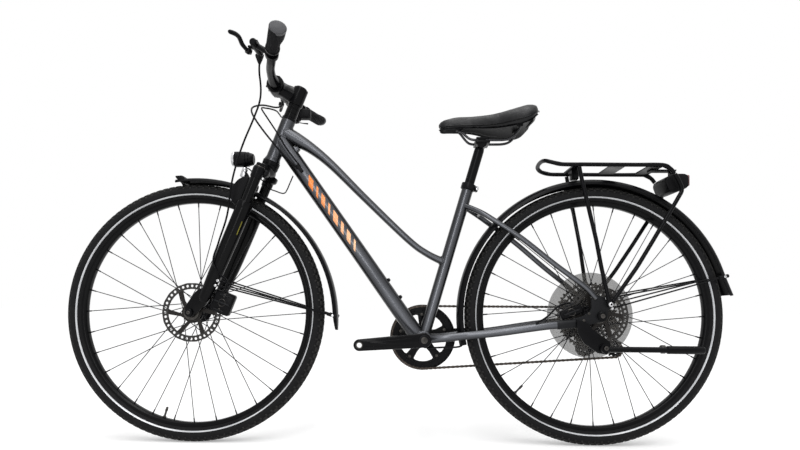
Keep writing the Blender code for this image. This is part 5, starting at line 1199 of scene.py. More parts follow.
TOP_TUBE_BOW = (
    (0.0, 0.0, 0.0195, 0.0195), (0.08, 0.008, 0.019, 0.019), (0.18, 0.0165, 0.0147, 0.018),
    (0.3, 0.0155, 0.012, 0.0165), (0.5, -0.0015, 0.0103, 0.015), (0.77, -0.02, 0.0095, 0.014),
    (0.89, -0.016, 0.0095, 0.014), (1.0, 0.0, 0.011, 0.014),
)
TOP_TUBE_ENDS = (fork(0.556, 0), seat(0.2182))
DOWN_TUBE_ENDS = (fork(0.5306, 0), BB)


def down_tube_route():
    start, end = DOWN_TUBE_ENDS
    run = (end - start).normalized()
    below = Vector((run.z, 0, -run.x)) * 0.0085
    return [start, start.lerp(end, 0.5) + below * 0.5, end - run * 0.036 + below, end]


def down_tube_at(reach):
    """The down tube's centre at a distance below its top, and its direction."""
    top, middle, low, _ = down_tube_route()
    first = middle - top
    if reach < first.length:
        return top.lerp(middle, reach / first.length), first.normalized()
    way = (low - middle).normalized()
    return middle + way * (reach - first.length), way


def make_main_tubes():
    start, end = TOP_TUBE_ENDS
    rows = [(*(start.lerp(end, share) + Vector((0, 0, rise))), wide, high) for share, rise, high, wide in TOP_TUBE_BOW]
    placed(flowing_tube("top_tube_paint", rows, 8, 36), "frame", "frame_paint", "top_tube")
    down = [(*point, radius, radius) for point, radius in zip(down_tube_route(), (0.022, 0.022, 0.022, 0.02))]
    placed(flowing_tube("down_tube_paint", down, 10, 40), "frame", "frame_paint", "down_tube")
    head = mm([(14.8, 590), (19.5, 590), (19.5, 479), (20.3, 474), (22.2, 470), (22.2, 466), (14.8, 466)])
    placed(turned("head_tube_paint", head, STEER, 64, 30), "frame", "frame_paint", "head_tube")
    for name, low, high, radius in (("lower", 0.4553, 0.4665, 0.024), ("upper", 0.5895, 0.598, 0.0199)):
        ring = [
            (0.0148, low), (radius - 0.0008, low), (radius, low + 0.0008), (radius, high - 0.001),
            (radius - 0.001, high), (0.0148, high),
        ]
        placed(turned(f"headset_{name}_cup", ring, STEER, 56), "frame", "satin_black")
    post_bore = 0.0139
    seat_profile = [(post_bore, 0.0), (0.016, 0.0), (0.016, 0.444), (0.0156, 0.445), (post_bore, 0.445)]
    placed(turned("seat_tube_paint", seat_profile, SEAT, 48), "frame", "frame_paint", "seat_tube")
    shell = mm([(12.4, 36.5), (19, 36.5), (20.5, 35.5), (20.5, -35.5), (19, -36.5), (12.4, -36.5)])
    placed(turned("bracket_shell_paint", shell, across(BB), 48), "frame", "frame_paint", "bottom_bracket_shell")
    cup = mm([(12.4, 36.4), (18.2, 36.4), (18.2, 36.8), (12.4, 36.8)])
    cups = [turned("cup", [(r, side * y) for r, y in cup], across(BB), 32) for side in (-1, 1)]
    placed(joined("bracket_cups", cups), "frame", "black_alloy")


def make_frame_welds():
    """The web between the main tubes and a bead at each joint of the frame."""
    web = mm([(-320, 830), (-276.5, 812), (-286.2, 807.5), (-283, 795), (-315, 805)])
    web = plate("tube_web", [rounded_outline(web, 4, 0.4)], 0.024, side_view(0), 0.009)
    placed(web, "frame", "frame_paint")
    start, end = TOP_TUBE_ENDS
    first = start.lerp(end, 0.08) + Vector((0, 0, 0.008)) - start
    last = start.lerp(end, 0.89) - Vector((0, 0, 0.016)) - end
    top, middle, low, bracket = down_tube_route()
    run = middle - top
    seat_way = SEAT.to_3x3() @ Vector((0, 0, 1))
    head = (fork(0.5, 0), STEER_UP, HEAD_RADIUS)
    shell = (BB, Vector((0, 1, 0)), BB_SHELL_RADIUS)
    for name, point, way, wide, high, *tube in (
        ("top_head", start + first * 3, -first, 0.019, 0.019, *head),
        ("down_head", top + run * 0.3, -run, 0.022, 0.022, *head),
        ("top_seat", end + last * 3, -last, 0.014, 0.0102, seat(0.2), seat_way, SEAT_TUBE_RADIUS),
        ("down_bracket", low, bracket - low, 0.0212, 0.0212, *shell),
        ("seat_bracket", seat(0.1), -seat_way, 0.016, 0.016, *shell),
    ):
        weld_bead(f"weld_{name}", weld_line(point, way, wide, high, *tube), way.normalized())


BAR_WIDTHS = (0.022, 0.009, 0.018, 0.009, 0.022, 0.013, 0.018, 0.009)


def bar_point(side, along, share):
    """A point on the down tube's skin, at a share of a slanted bar's height."""
    lean = math.radians(-20 + 48 * share)
    centre, way = down_tube_at(along + 0.024 * (0.5 - share))
    up = Vector((-way.z, 0, way.x)) * (1 if way.x > 0 else -1)
    return centre + (Vector((0, side, 0)) * math.cos(lean) + up * math.sin(lean)) * 0.02215


def make_accent_bars():
    """Generic slanted bars along both sides of the down tube."""
    start, end = DOWN_TUBE_ENDS
    run = (end - start).normalized()
    high, low = ((bike(x, 0, z) - start).dot(run) for x, z in ((-0.786, 0.723), (-0.651, 0.542)))
    gap = (low - high - sum(BAR_WIDTHS)) / (len(BAR_WIDTHS) - 1)
    parts = []
    for side in (-1, 1):
        reach = high
        for width in BAR_WIDTHS:
            steps = [reach + width * step / 6 for step in range(7)]
            parts.append(patch("bar", [[bar_point(side, along, turn / 12) for turn in range(13)] for along in steps]))
            reach += width + gap
    placed(joined("accent_bars", parts), "frame", "accent_bars")


def patch(name, rows, thickness=0.00025):
    """A thin open sheet through rows of points."""
    deselect()
    bpy.ops.mesh.primitive_grid_add(x_subdivisions=len(rows[0]) - 1, y_subdivisions=len(rows) - 1, size=0.01)
    thing = started(name)
    for row, points in enumerate(rows):
        for column, point in enumerate(points):
            thing.data.vertices[row * len(points) + column].co = point
    apply(thing, "SOLIDIFY", thickness=thickness, offset=0.0)
    weld(thing)
    return shade(thing, 40)


def chainstay_rows(side):
    points = [BB + Vector((0.018, side * 0.024, 0))] + [
        bike(x, side * y, z)
        for x, y, z in mm((
            (-430, 31, 289.5), (-400, 36, 292.5), (-355, 36.8, 298), (-325, 40.5, 301.5), (-264, 50, 309),
            (-146, 66, 327),
        ))
    ] + [REAR_AXLE + Vector((-0.065, side * STAY_Y, -0.02))]
    sizes = mm(((7.8, 11.8), (7.6, 11.4), (7.3, 11), (7.3, 11), (7.3, 11), (7.3, 11), (7.3, 10.6), (7, 10)))
    return [(*point, *size) for point, size in zip(points, sizes)]


def seatstay_rows(side):
    points = [seat(0.385, 0.004, side * 0.009)] + [
        bike(x, side * y, z)
        for x, y, z in mm(((-314, 31, 634), (-280, 40, 612), (-207, 51, 562), (-119, 61, 490.5), (-45, 70, 433.5)))
    ] + [REAR_AXLE + Vector((-0.014, side * STAY_Y, 0.046))]
    return [(*point, 0.007, 0.0072) for point in points]


DROPOUT = mm([
    (-80, -9), (-44, 1), (-27, 16), (-28, 46), (-10, 55), (6, 50), (14, 40), (24, 40), (29, 32), (26, 22), (16, 14),
    (15, -6), (6, -15), (-16, -19), (-60, -33), (-80, -30),
])
HANGER = mm([(-14, -10), (-10, 0), (10, 4), (16, -6), (22, -30), (14, -38), (3, -36)])


def rounded_outline(corners, steps=3, reach=0.3):
    """An outline with each corner cut back and curved."""
    made = []
    for before, corner, after in zip(corners[-1:] + corners[:-1], corners, corners[1:] + corners[:1]):
        start = [c + (b - c) * reach for b, c in zip(before, corner)]
        end = [c + (a - c) * reach for a, c in zip(after, corner)]
        for step in range(steps + 1):
            t = step / steps
            made.append(tuple(
                s * (1 - t) ** 2 + c * 2 * t * (1 - t) + e * t * t for s, c, e in zip(start, corner, end)
            ))
    return made


def make_rear_stays(side, word):
    parts = [
        flowing_tube("chainstay", chainstay_rows(side), 6, 24),
        flowing_tube("seatstay", seatstay_rows(side), 6, 20),
    ]
    if side < 0:
        for row, radius in ((seatstay_rows(1)[1], 0.0056), (chainstay_rows(1)[2], 0.006)):
            right = Vector(row[:3])
            parts.append(rod("bridge", Vector((right.x, -right.y, right.z)), right, radius, 20))
    placed(joined(f"stays_{word}", parts), "frame", "frame_paint", f"{word}_rear_stays")
    axle = Matrix.Translation(REAR_AXLE)
    bore = circle(0, 0, 0.0064)
    ends = [plate("dropout", [rounded_outline(DROPOUT), bore], 0.008, axle @ side_view(side * STAY_Y), 0.0014)]
    if side > 0:
        ends.append(plate("hanger", [rounded_outline(HANGER)], 0.0078, axle @ side_view(STAY_Y), 0.0012))
    low_end = Vector(chainstay_rows(side)[-1][:3])
    low_start = Vector(chainstay_rows(side)[-2][:3])
    run = (low_end - low_start).normalized()
    socket = [low_end - run * 0.052, low_end - run * 0.049, low_end - run * 0.01, low_end + run * 0.01]
    ends.append(swept("socket", socket, mm([(7.8, 11.2), (8.6, 12), (8.2, 11.6), (5, 9)]), 24))
    placed(joined(f"dropout_{word}", ends), "frame", "charcoal")
    heads = [
        facing(REAR_AXLE + Vector((x, side * (STAY_Y + 0.004), z)), side)
        for x, z in mm(((-18, 46), (-34, 6), (-48, -12), (18, 30)))
    ]
    placed(bolts(f"dropout_bolts_{word}", heads, 0.0036, 0.0018), "frame", "dark_steel")


def make_seat_collar():
    collar = smoothed_node("seat_clamp", "seat_collar", 0.0008)
    placed(collar, "frame", "black_alloy", "seat_clamp")
    screw = bolts("collar_bolt", [facing(seat(0.439, 0.0255, -0.0085), -1)], 0.0042, 0.003)
    placed(screw, "frame", "bright_steel")


def make_bottle_bosses():
    start, end = DOWN_TUBE_ENDS
    run = (end - start).normalized()
    up = Vector((-run.z, 0, run.x))
    _, middle, low, _ = down_tube_route()
    parts = []
    for share in (0.504, 0.692):
        base = middle.lerp(low, share) + up * (DOWN_TUBE_RADIUS - 0.001)
        parts.append(rod("boss", base, base + up * 0.004, 0.006, 24, 0.0052))
        parts.append(bolts("boss screw", [aim(base + up * 0.0038, up)], 0.0042, 0.003))
    placed(joined("bottle_bosses", parts), "frame", "black_alloy")


# Fork and fenders


def fork_outline(corners):
    """A rounded outline from corners given as (up, ahead) on the steering axis."""
    return rounded_outline([(fork(*corner).x, fork(*corner).z) for corner in corners])


def make_fork_crown():
    ahead = STEER.to_3x3() @ Vector((-1, 0, 0))
    parts = []
    half = mm([
        # beside the steerer, ahead of it, half depth, half height
        (0, 0, 21.2, 14.5), (28, 2, 18, 15), (46, 5, 15, 14), (60, 6, 14, 12),
    ])
    rows = [
        (*fork(0.4185 + 0.018 * min(1, 2 - abs(y) / 0.03), out, y), deep, high)
        for y, out, deep, high in [(-y, *rest) for y, *rest in half[:0:-1]] + half
    ]
    parts.append(flowing_tube("bridge", rows, 6, 28, ahead))
    parts.append(turned("steerer", mm([(10, 425), (14.3, 425), (14.3, 685.4), (10, 685.4)]), STEER, 32))
    race = mm([(14.3, 440), (21.5, 440), (23.5, 447), (23.5, 454.7), (14.3, 454.7)])
    parts.append(turned("crown race", race, STEER, 48))
    for side in (-1, 1):
        leg = STEER @ Matrix.Translation((-0.006, side * LEG_Y, 0))
        ear = mm([(14.1, 401), (15.4, 401), (16, 403), (16, 427), (15, 431), (14.1, 431.6)])
        parts.append(turned("ear", ear, leg, 40, 50))
        shoulder = mm([(433, -20), (433, 10), (414, 8), (410, -8), (417, -20)])
        parts.append(plate("shoulder", [fork_outline(shoulder)], 0.022, side_view(side * 0.046), 0.004))
    placed(joined("fork_bridge", parts), "steering", "satin_black")
    for side, word in SIDES:
        leg = STEER @ Matrix.Translation((-0.006, side * LEG_Y, 0))
        tube = mm([(10, 230), (14, 230), (14, 408), (10, 408)])
        placed(turned(f"stanchion_{word}", tube, leg, 48), "steering", "gloss_black", "fork_crown")
        knob = mm([
            (2, 433.8), (11, 433.8), (11.8, 435), (11.8, 440), (10.8, 442), (9, 442.8), (6, 442.4), (2, 442.4),
        ])
        ring = mm([(10, 431.2), (13.4, 431.2), (13.6, 432.6), (13, 434), (10, 434)])
        placed(turned(f"fork_knob_ring_{word}", ring, leg, 32, 40), "steering", "dark_steel")
        placed(turned(f"fork_knob_{word}", knob, leg, 32, 30), "steering", "black_plastic")


FORK_DROPOUT = mm([(72, -2), (78, 22), (62, 41), (14, 52), (-8, 48), (-13, 36), (-8, 24), (12, 14), (42, 0)])


def make_fork_lowers():
    parts = []
    for side in (-1, 1):
        legs = mm([
            (40, 14, 10.5), (47, 13, 14.2), (60, 12, 15.7), (85, 10.5, 16.7), (140, 8.2, 19.8), (190, 7.2, 20.9),
            (250, 6.1, 21.3), (315, 5.5, 21.3),
        ])
        rows = [(*fork(up, ahead, side * LEG_Y), radius, radius) for up, ahead, radius in legs]
        parts.append(flowing_tube("leg", rows, 5, 40))
        top = STEER @ Matrix.Translation((-0.0062, side * LEG_Y, 0))
        collar = mm([
            (14.6, 312), (20.9, 312), (21.8, 314), (22, 316), (22, 325.5), (20.8, 328.5), (17.5, 330), (16.5, 332.5),
            (14.6, 332.5),
        ])
        parts.append(turned("collar", collar, top, 48, 40))
        outlines = [fork_outline(FORK_DROPOUT), circle(FRONT_AXLE.x, FRONT_AXLE.z, 0.0064)]
        parts.append(plate("dropout", outlines, 0.0087, side_view(side * 0.05435), 0.0014))
    placed(joined("fork_lowers_cast", parts), "fork_slider", "gloss_black", "fork_lowers")
    for side, word in SIDES:
        stripe = [fork(up, -0.0095, side * (LEG_Y + 0.0146)) for up in (0.24, 0.252, 0.268, 0.278)]
        placed(swept(f"fork_stripe_{word}", stripe, 0.0013, 8), "fork_slider", "yellow_mark")
    cheek = mm([
        (312, 15), (312, 30), (320, 47), (354.2, 59.1), (364.8, 56.1), (380, 50.9), (392.2, 40.9), (397.5, 27),
        (389, 22.5), (334.1, 22.5),
    ])
    bridge = mm([(376.5, 52), (381.5, 51.5), (392.2, 40.9), (397.5, 27), (389, 24), (376.5, 25)])
    arm = mm([(385, 33), (393, 30), (414, 54), (414, 66.5), (405, 66.5), (382, 48)])
    casting = []
    for outline, width, ys in ((cheek, 0.026, (-0.0437, 0.0437)), (bridge, 0.064, (0,)), (arm, 0.011, (0,))):
        casting += [plate("casting", [fork_outline(outline)], width, side_view(y), 0.003) for y in ys]
    placed(joined("fork_brace", casting), "fork_slider", "black_plastic")
    small = [block("lamp base", (0.013, 0.019, 0.014), aim(fork(0.402, 0.06), STEER_UP), 0.0015)]
    for side in (-1, 1):
        cheek = aim(fork(0.4145, 0.0615, side * 0.0072), STEER_UP)
        small.append(block("cheek", (0.011, 0.0038, 0.014), cheek, 0.0012))
    small.append(crossbar("lamp screw", LAMP_PIVOT, -0.0115, 0.0115, 0.0026, 16))
    heads = [facing(LAMP_PIVOT, side, 0.009) for side in (-1, 1)]
    small.append(bolts("screw", heads, 0.0042, 0.0026))
    placed(joined("lamp_bracket", small), "fork_slider", "bright_steel")


def fender_rows(axle, radius, start, end, steps, flare, section, tail):
    """Sections along the blade; the first ones narrow to a slanted tail."""
    rows = []
    for step in range(steps + 1):
        angle = start + (end - start) * step / steps
        full = min(1.0, (angle - start) / math.radians(7))
        size = tail + (1 - tail) * full * (2 - full)
        rows.append([axle + ray(angle, radius + flare(angle) + drop * size, y * size) for drop, y in section])
    return rows


def make_fender(end):
    """A rounded blade with rolled edges, its stay wires and their clips."""
    axle = AXLES[end]
    front = end == "front"
    radius = 0.3715 if front else 0.376
    start, finish = (math.radians(-6.5), math.radians(99)) if front else (math.radians(9), math.radians(193))

    def flare(angle):
        if front:
            return 0.0225 * max(0.0, (math.radians(75) - angle) / math.radians(81.5)) ** 1.5
        return 0.009 * max(0.0, (math.radians(20) - angle) / math.radians(11)) ** 2

    half = 0.0275
    curve = [
        (-0.0155, -half), (-0.014, -half * 0.985), (-0.0085, -half * 0.9), (-0.0035, -half * 0.7),
        (-0.0008, -half * 0.36), (0.0, 0.0),
    ]
    curve = [(drop * 0.66, y) for drop, y in curve] if front else curve
    section = flowing(curve + [(drop, -y) for drop, y in curve[-2::-1]], 3)
    rows = fender_rows(axle, radius, start, finish, 56 if front else 96, flare, section, 0.45 if front else 1.0)
    parts = [patch("blade", rows, 0.0017)]
    parts += [swept("rolled edge", [row[side] for row in rows], 0.0013, 8) for side in (0, -1)]
    parts += [swept("tip edge", row, 0.0012, 8) for row in (rows[0], rows[-1])]
    body = "fork_slider" if front else "frame"
    placed(joined(f"fender_{end}", parts), body, "satin_black", f"{end}_fender")
    wires, clips, heads = [], [], []
    clip_angle = math.radians(-1.0 if front else 17.3)
    clip_radius = radius + 0.001 + flare(clip_angle) - (0.009 if front else 0.008)
    for side in (-1, 1):
        clip = axle + ray(clip_angle, clip_radius, side * 0.0262)
        if front:
            tops = [fork(0.1085, -0.0085, side * LEG_Y), fork(0.0945, -0.0075, side * LEG_Y)]
        else:
            tops = [REAR_AXLE + Vector((x, side * STAY_Y, z)) for x, z in ((0.0117, 0.0461), (0.0272, 0.0203))]
        wires += [rod("wire", top, clip, 0.0021, 12) for top in tops]
        inward = (tops[0].lerp(tops[1], 0.5) - clip).normalized()
        clips.append(rod("clip", clip - inward * 0.008, clip + inward * 0.02, 0.005, 16, 0.004, 0.0008))
        heads.append(facing(clip + inward * 0.004, side, 0.0042))
        for top in tops:
            foot = Vector((top.x, side * (0.0745 if front else 0.0748), top.z))
            wires.append(rod("foot", top, foot, 0.003, 12))
            heads.append(facing(foot, side))
    placed(joined(f"stay_wires_{end}", wires), body, "satin_black")
    placed(joined(f"stay_clips_{end}", clips), body, "black_plastic")
    placed(bolts(f"stay_bolts_{end}", heads, 0.0036, 0.002), body, "bright_steel")
    if front:
        lug = rod("front_fender_lug", fork(0.369, 0.042), fork(0.379, 0.042), 0.006, 20)
        placed(lug, body, "satin_black")
        tip = mm([(-622.2, 731), (-598, 732.5), (-593.2, 711.5), (-602, 711.5), (-618, 723.5)])
        tip = plate("front_fender_tip", [rounded_outline(tip)], 0.044, side_view(0), 0.002)
        placed(tip, body, "black_plastic")


# Cockpit


def bar_route(side):
    return [
        BAR_CENTRE + Vector((x, side * y, z))
        for x, y, z in (
            (0, 0, 0), (0, 0.03, 0), (0.002, 0.0672, 0), (0.01, 0.1175, 0.001), (0.024, 0.1679, 0.001),
            (0.04, GRIP_START, 0.005), (0.071, 0.324, 0.0095),
        )
    ]


def make_handlebar():
    route = bar_route(-1)[::-1] + bar_route(1)[1:]
    sizes = [BAR_RADIUS] * 4 + [0.012, 0.0157, 0.0159, 0.0157, 0.012] + [BAR_RADIUS] * 4
    bar = flowing_tube("bar_tube", [(*point, size, size) for point, size in zip(route, sizes)], 8, 32)
    placed(bar, "steering", "satin_black", "handlebar")


def make_stem():
    """Spacers, clamp, forged arm and a split bar clamp with its cap bolts."""
    parts = []
    for low in (0.5985, 0.6115, 0.6245):
        high = low + 0.0125
        edge = [(0.0175, low + 0.0005), (0.0175, high - 0.0005)]
        ring = [(0.0146, low), (0.0171, low), *edge, (0.0171, high), (0.0146, high)]
        parts.append(turned("spacer", ring, STEER, 48, 30))
    clamp = mm([
        (14.5, 637.2), (19.6, 637.2), (20.5, 638.2), (20.5, 685), (19.6, 686.2), (15.2, 686.6), (15, 689.5),
        (14, 690.2), (3, 690.2), (3, 686.2), (14.5, 686.2),
    ])
    parts.append(turned("clamp", clamp, STEER, 48))
    start, end = fork(0.6615, 0.01), BAR_CENTRE
    sizes = (
        (0, 0.0225, 0.0185), (0.3, 0.0215, 0.018), (0.55, 0.0195, 0.0172), (0.8, 0.02, 0.0185), (1, 0.0215, 0.0205),
    )
    rows = [(*start.lerp(end, share), *size) for share, *size in sizes]
    parts.append(flowing_tube("arm", rows, 6, 36, STEER_UP))
    ring = mm([
        (16.2, -24), (22.2, -24), (23.8, -22.2), (24.2, -19), (24.2, 19), (23.8, 22.2), (22.2, 24), (16.2, 24),
    ])
    parts.append(turned("bar clamp", ring, across(BAR_CENTRE), 56))
    placed(joined("stem_forging", parts), "steering", "gloss_black", "stem")
    out = (BAR_CENTRE - fork(0.6615, 0.016)).normalized()
    side_on = Vector((0, 1, 0))
    up = out.cross(side_on)
    # painted shade: dark rods along the split of the bar clamp stand in for the shade inside its gap
    seam = [BAR_CENTRE + up * s * 0.0205 + side_on * y - out * 0.001 for s in (-1, 1) for y in (-0.0235, 0.0235)]
    gap = [rod("gap", seam[i], seam[i + 1], 0.0042, 12) for i in (0, 2)]
    placed(joined("clamp_gap_shade", gap), "steering", "black_plastic")
    face = BAR_CENTRE + out * 0.018
    heads = [aim(face + up * s * 0.015 + side_on * y, out) for s in (-1, 1) for y in (-0.015, 0.015)]
    heads += [aim(fork(0.69, 0.0), STEER_UP)]
    placed(bolts("stem_bolts", heads, 0.004, 0.0028), "steering", "dark_steel")


def make_grip(side, word):
    """A ribbed sleeve with an inner clamp ring, a palm wing and a hatched end."""
    start, end = bar_route(side)[-2:]
    run = (end - start).normalized()
    length = (end - start).length
    place = aim(start, run, (0, 0, 1))
    bore = BAR_RADIUS + 0.0003
    profile = [(bore, 0.008), (0.0158, 0.008)]
    for index in range(18):
        reach = 0.01 + index * 0.0049
        profile += [(0.0163, reach), (0.0163, reach + 0.0032), (0.0156, reach + 0.0038), (0.0156, reach + 0.0045)]
    profile += [(0.016, length - 0.001), (0.015, length + 0.0012), (bore, length + 0.0012)]
    sleeve = turned("sleeve", profile, place, 48, 40)
    back = Vector((1, 0, -0.12)).normalized()
    rows = []
    for along, out, wide, high in mm((
        (20, 1, 12, 12), (40, 3, 14.5, 12.2), (62, 5.5, 17, 13), (82, 5, 18.8, 15), (96, 4, 19.8, 15.4),
    )):
        rows.append((*(start + run * along + back * out * 0.95), wide, high))
    wing = flowing_tube("wing", rows, 5, 32, back)
    placed(joined(f"grip_{word}_rubber", [sleeve, wing]), "steering", "grip_rubber", f"{word}_grip")
    ring = [(bore, 0.001), (0.0172, 0.001), (0.0178, 0.0018), (0.0178, 0.0072), (0.0172, 0.008), (bore, 0.008)]
    placed(turned(f"grip_{word}_ring", ring, place, 40), "steering", "black_alloy")
    rows = []
    for along, wide, high in mm(((95.5, 19.8, 15.4), (102, 20.3, 15.8), (105.5, 19.8, 15.3), (107.2, 17, 12.8))):
        rows.append((*(start + run * along + back * 0.004), wide, high))
    placed(flowing_tube(f"grip_{word}_plug", rows, 3, 36, back), "steering", "grip_end")


def lever_pivot(side):
    return BAR_CENTRE + Vector((-0.028, side * (GRIP_START - 0.038), 0.016))


LEVER_AXIS = Vector((0.232, 0, 0.973)).normalized()


def make_brake_body(side, word):
    before, after = bar_route(side)[4:6]
    run = (after - before).normalized()
    spot = before.lerp(after, 0.56)
    place = aim(spot, run, (0, 0, 1))
    ring = mm([(11.3, -6.8), (15.8, -6.8), (16.5, -6), (16.5, 6), (15.8, 6.8), (11.3, 6.8)])
    parts = [turned("clamp", ring, place, 40)]
    start = BAR_CENTRE + Vector((-0.006, side * (GRIP_START - 0.073), 0.024))
    end = BAR_CENTRE + Vector((-0.01, side * (GRIP_START - 0.005), 0.027))
    rows = [(*start.lerp(end, share), wide, high) for share, wide, high in (
        (0, 0.0055, 0.0055), (0.06, 0.0072, 0.0072), (0.14, 0.0084, 0.0085), (0.45, 0.0094, 0.0095),
        (0.85, 0.0095, 0.0095), (0.96, 0.0088, 0.0088), (1.0, 0.0065, 0.0065),
    )]
    parts.append(flowing_tube("cylinder", rows, 4, 28))
    middle = start.lerp(end, 0.72)
    parts.append(rod("arm", spot.lerp(middle, 0.29), middle, 0.007, 20))
    lug = aim(lever_pivot(side), LEVER_AXIS) @ Matrix.Translation((0.009, 0, 0.0105))
    parts.append(block("lug", (0.026, 0.012, 0.005), lug, 0.0015))
    pin = lever_pivot(side)
    parts.append(rod("pin", pin - LEVER_AXIS * 0.0072, pin + LEVER_AXIS * 0.0132, 0.0034, 16))
    lid = aim(start.lerp(end, 0.55) + Vector((0, 0, 0.0085)), (0.04, 0, 1))
    parts.append(block("lid", (0.015, 0.04, 0.003), lid, 0.001))
    placed(joined(f"brake_body_{word}_cast", parts), "steering", "satin_black", f"{word}_brake_body")
    corners = mm([(-20, 6), (5, 6.5), (1, -6), (-5.5, -21), (-9.5, -21.5)])
    shape = rounded_outline([(start.x + x, start.z + z) for x, z in corners])
    placed(plate(f"hose_boot_{word}", [shape], 0.012, side_view(start.y - side * 0.012), 0.003), "steering", "charcoal")
    heads = [aim(pin + LEVER_AXIS * 0.013, LEVER_AXIS), aim(spot + Vector((-0.0155, 0, 0.001)), (-1, 0, 0.06))]
    placed(bolts(f"brake_bolts_{word}", heads, 0.0036, 0.0018), "steering", "dark_steel")


def make_brake_lever(side, word):
    pivot = lever_pivot(side)
    rows = []
    for x, y, z, wide, high in mm((
        (-2, 2, 0.3, 5, 4.2), (-6, 14, 3.4, 5.4, 4.4), (-9, 26, 6.5, 5.6, 5), (-9.6, 38, 10.2, 5.4, 5.4),
        (-10.5, 50, 13, 5.3, 5.6), (-14, 66, 12.2, 5.1, 5.6), (-20.5, 82, 9, 4.8, 5.2), (-22.2, 86.5, 8, 3.4, 3.6),
    )):
        rows.append((*(pivot + Vector((x, side * y, z))), wide, high))
    blade = flowing_tube("blade", rows, 5, 24, (1, 0, 0))
    eye = mm([(3.7, -4.8), (8, -4.8), (8.5, -4.3), (8.5, 4.3), (8, 4.8), (3.7, 4.8)])
    hub = turned("eye", eye, aim(pivot, LEVER_AXIS), 32)
    placed(joined(f"lever_{word}_blade", [blade, hub]), f"{word}_lever", "satin_black", f"{word}_brake_lever")


def make_shifter():
    before, after = bar_route(1)[4:6]
    run = (after - before).normalized()
    band = mm([(11.3, -5.8), (14.3, -5.8), (15, -5), (15, 5), (14.3, 5.8), (11.3, 5.8)])
    parts = [turned("band", band, aim(before.lerp(after, 0.14), run, (0, 0, 1)), 40)]
    pod = mm([(3, 2.5), (12, 2.5), (14.6, 4.5), (15, 8), (15, 24), (13.8, 27.5), (10.5, 29), (3, 29)])
    parts.append(turned("pod", pod, Matrix.Translation(SHIFTER_PIVOT), 40))
    tie_end = before.lerp(after, 0.56) - Vector((0, 0, 0.0187))
    parts.append(rod("tie", SHIFTER_PIVOT + Vector((0, 0, 0.0245)), tie_end, 0.004, 16))
    parts.append(rod("pin", SHIFTER_PIVOT - Vector((0, 0, 0.0058)), SHIFTER_PIVOT + Vector((0, 0, 0.028)), 0.0029, 16))
    outlet = SHIFTER_PIVOT + Vector((-0.016, 0, 0.012))
    tip = outlet + Vector((-0.008, -0.002, -0.0006))
    parts.append(rod("cable outlet", outlet + Vector((0.006, 0, 0)), tip, 0.0042, 16, 0.003))
    parts.append(block("housing", (0.038, 0.03, 0.03), SHIFTER_PIVOT + Vector((0.026, 0.003, 0.024)), 0.006, 4))
    placed(joined("shifter_pod", parts), "steering", "black_plastic")
    blade = smoothed_node("shift_lever", "shift_paddle", 0.0008)
    placed(blade, "shifter", "black_plastic", "shift_lever")


def make_headlight():
    """Finned shell, silver rim and ribbed lens on its lug."""
    centre = LAMP_PIVOT + Vector((-0.0055, 0, 0.0285))
    place = aim(centre, (-1, 0, 0))
    shell = mm([
        (2, -31), (12, -30.8), (15.2, -29), (17.2, -24), (18, -19.5), (18, -18), (20, -17.2), (20.4, -12),
        (19, -11.2), (19.2, -9.6), (20.9, -8.8), (21.3, 0), (21.5, 18), (21.3, 21), (20.4, 22.2), (2, 22.2),
    ])
    body = turned("lamp_shell", shell, place, 56, 28)
    lug = block("lug", (0.01, 0.009, 0.017), LAMP_PIVOT + Vector((0, 0, 0.0045)), 0.0015)
    placed(joined("lamp_shell", [body, lug]), "lamp", "satin_black", "headlight")
    lens = mm([(1, 21.2), (19.8, 21.2), (20.2, 26.2), (18.6, 29.2), (11, 30.6), (1, 31)])
    placed(turned("lamp_lens", lens, place, 48, 50), "lamp", "lens_glass")
    rim = mm([(19, 21.8), (20.7, 21.8), (21.1, 22.8), (20.7, 24), (19, 24)])
    placed(turned("lamp_rim", rim, place, 48, 40), "lamp", "bright_steel")


# Rack and lights


def make_rack_deck():
    half, top = RACK_HALF_WIDTH, RACK_HEIGHT
    one = [
        bike(0.1995, half, top - 0.0225), bike(0.189, half, top - 0.01), bike(0.168, half, top), bike(0.1, half, top),
        bike(0.03, half, top), bike(-0.04, half, top), bike(-0.1, half, top), bike(-0.128, half * 0.97, top + 0.006),
        bike(-0.142, half * 0.75, top + 0.013), bike(-0.146, half * 0.3, top + 0.017),
    ]
    route = one + [Vector((p.x, -p.y, p.z)) for p in reversed(one)]
    parts = [flowing_tube("rail", [(*point, 0.0055, 0.0055) for point in route], 6, 20, (0, 0, 1))]
    height = top + 0.0015
    for low, high in ((-0.066, -0.044), (0.034, 0.076), (0.139, 0.178)):
        middle = (low + high) / 2
        parts.append(block("deck plate", (high - low, 0.118, 0.0036), bike(middle, 0, height), 0.0014, 3))
        for y in (-0.04, -0.02, 0, 0.02, 0.04):
            rib = Matrix.Translation(bike(middle, y, height + 0.0012))
            parts.append(block("rib", (high - low - 0.008, 0.004, 0.0016), rib, 0.0006))
    placed(joined("rack_top", parts), "frame", "satin_black")
    post = smoothed_node("rack_deck", "rack_core", 0.0012)
    placed(post, "frame", "satin_black", "rack_deck")


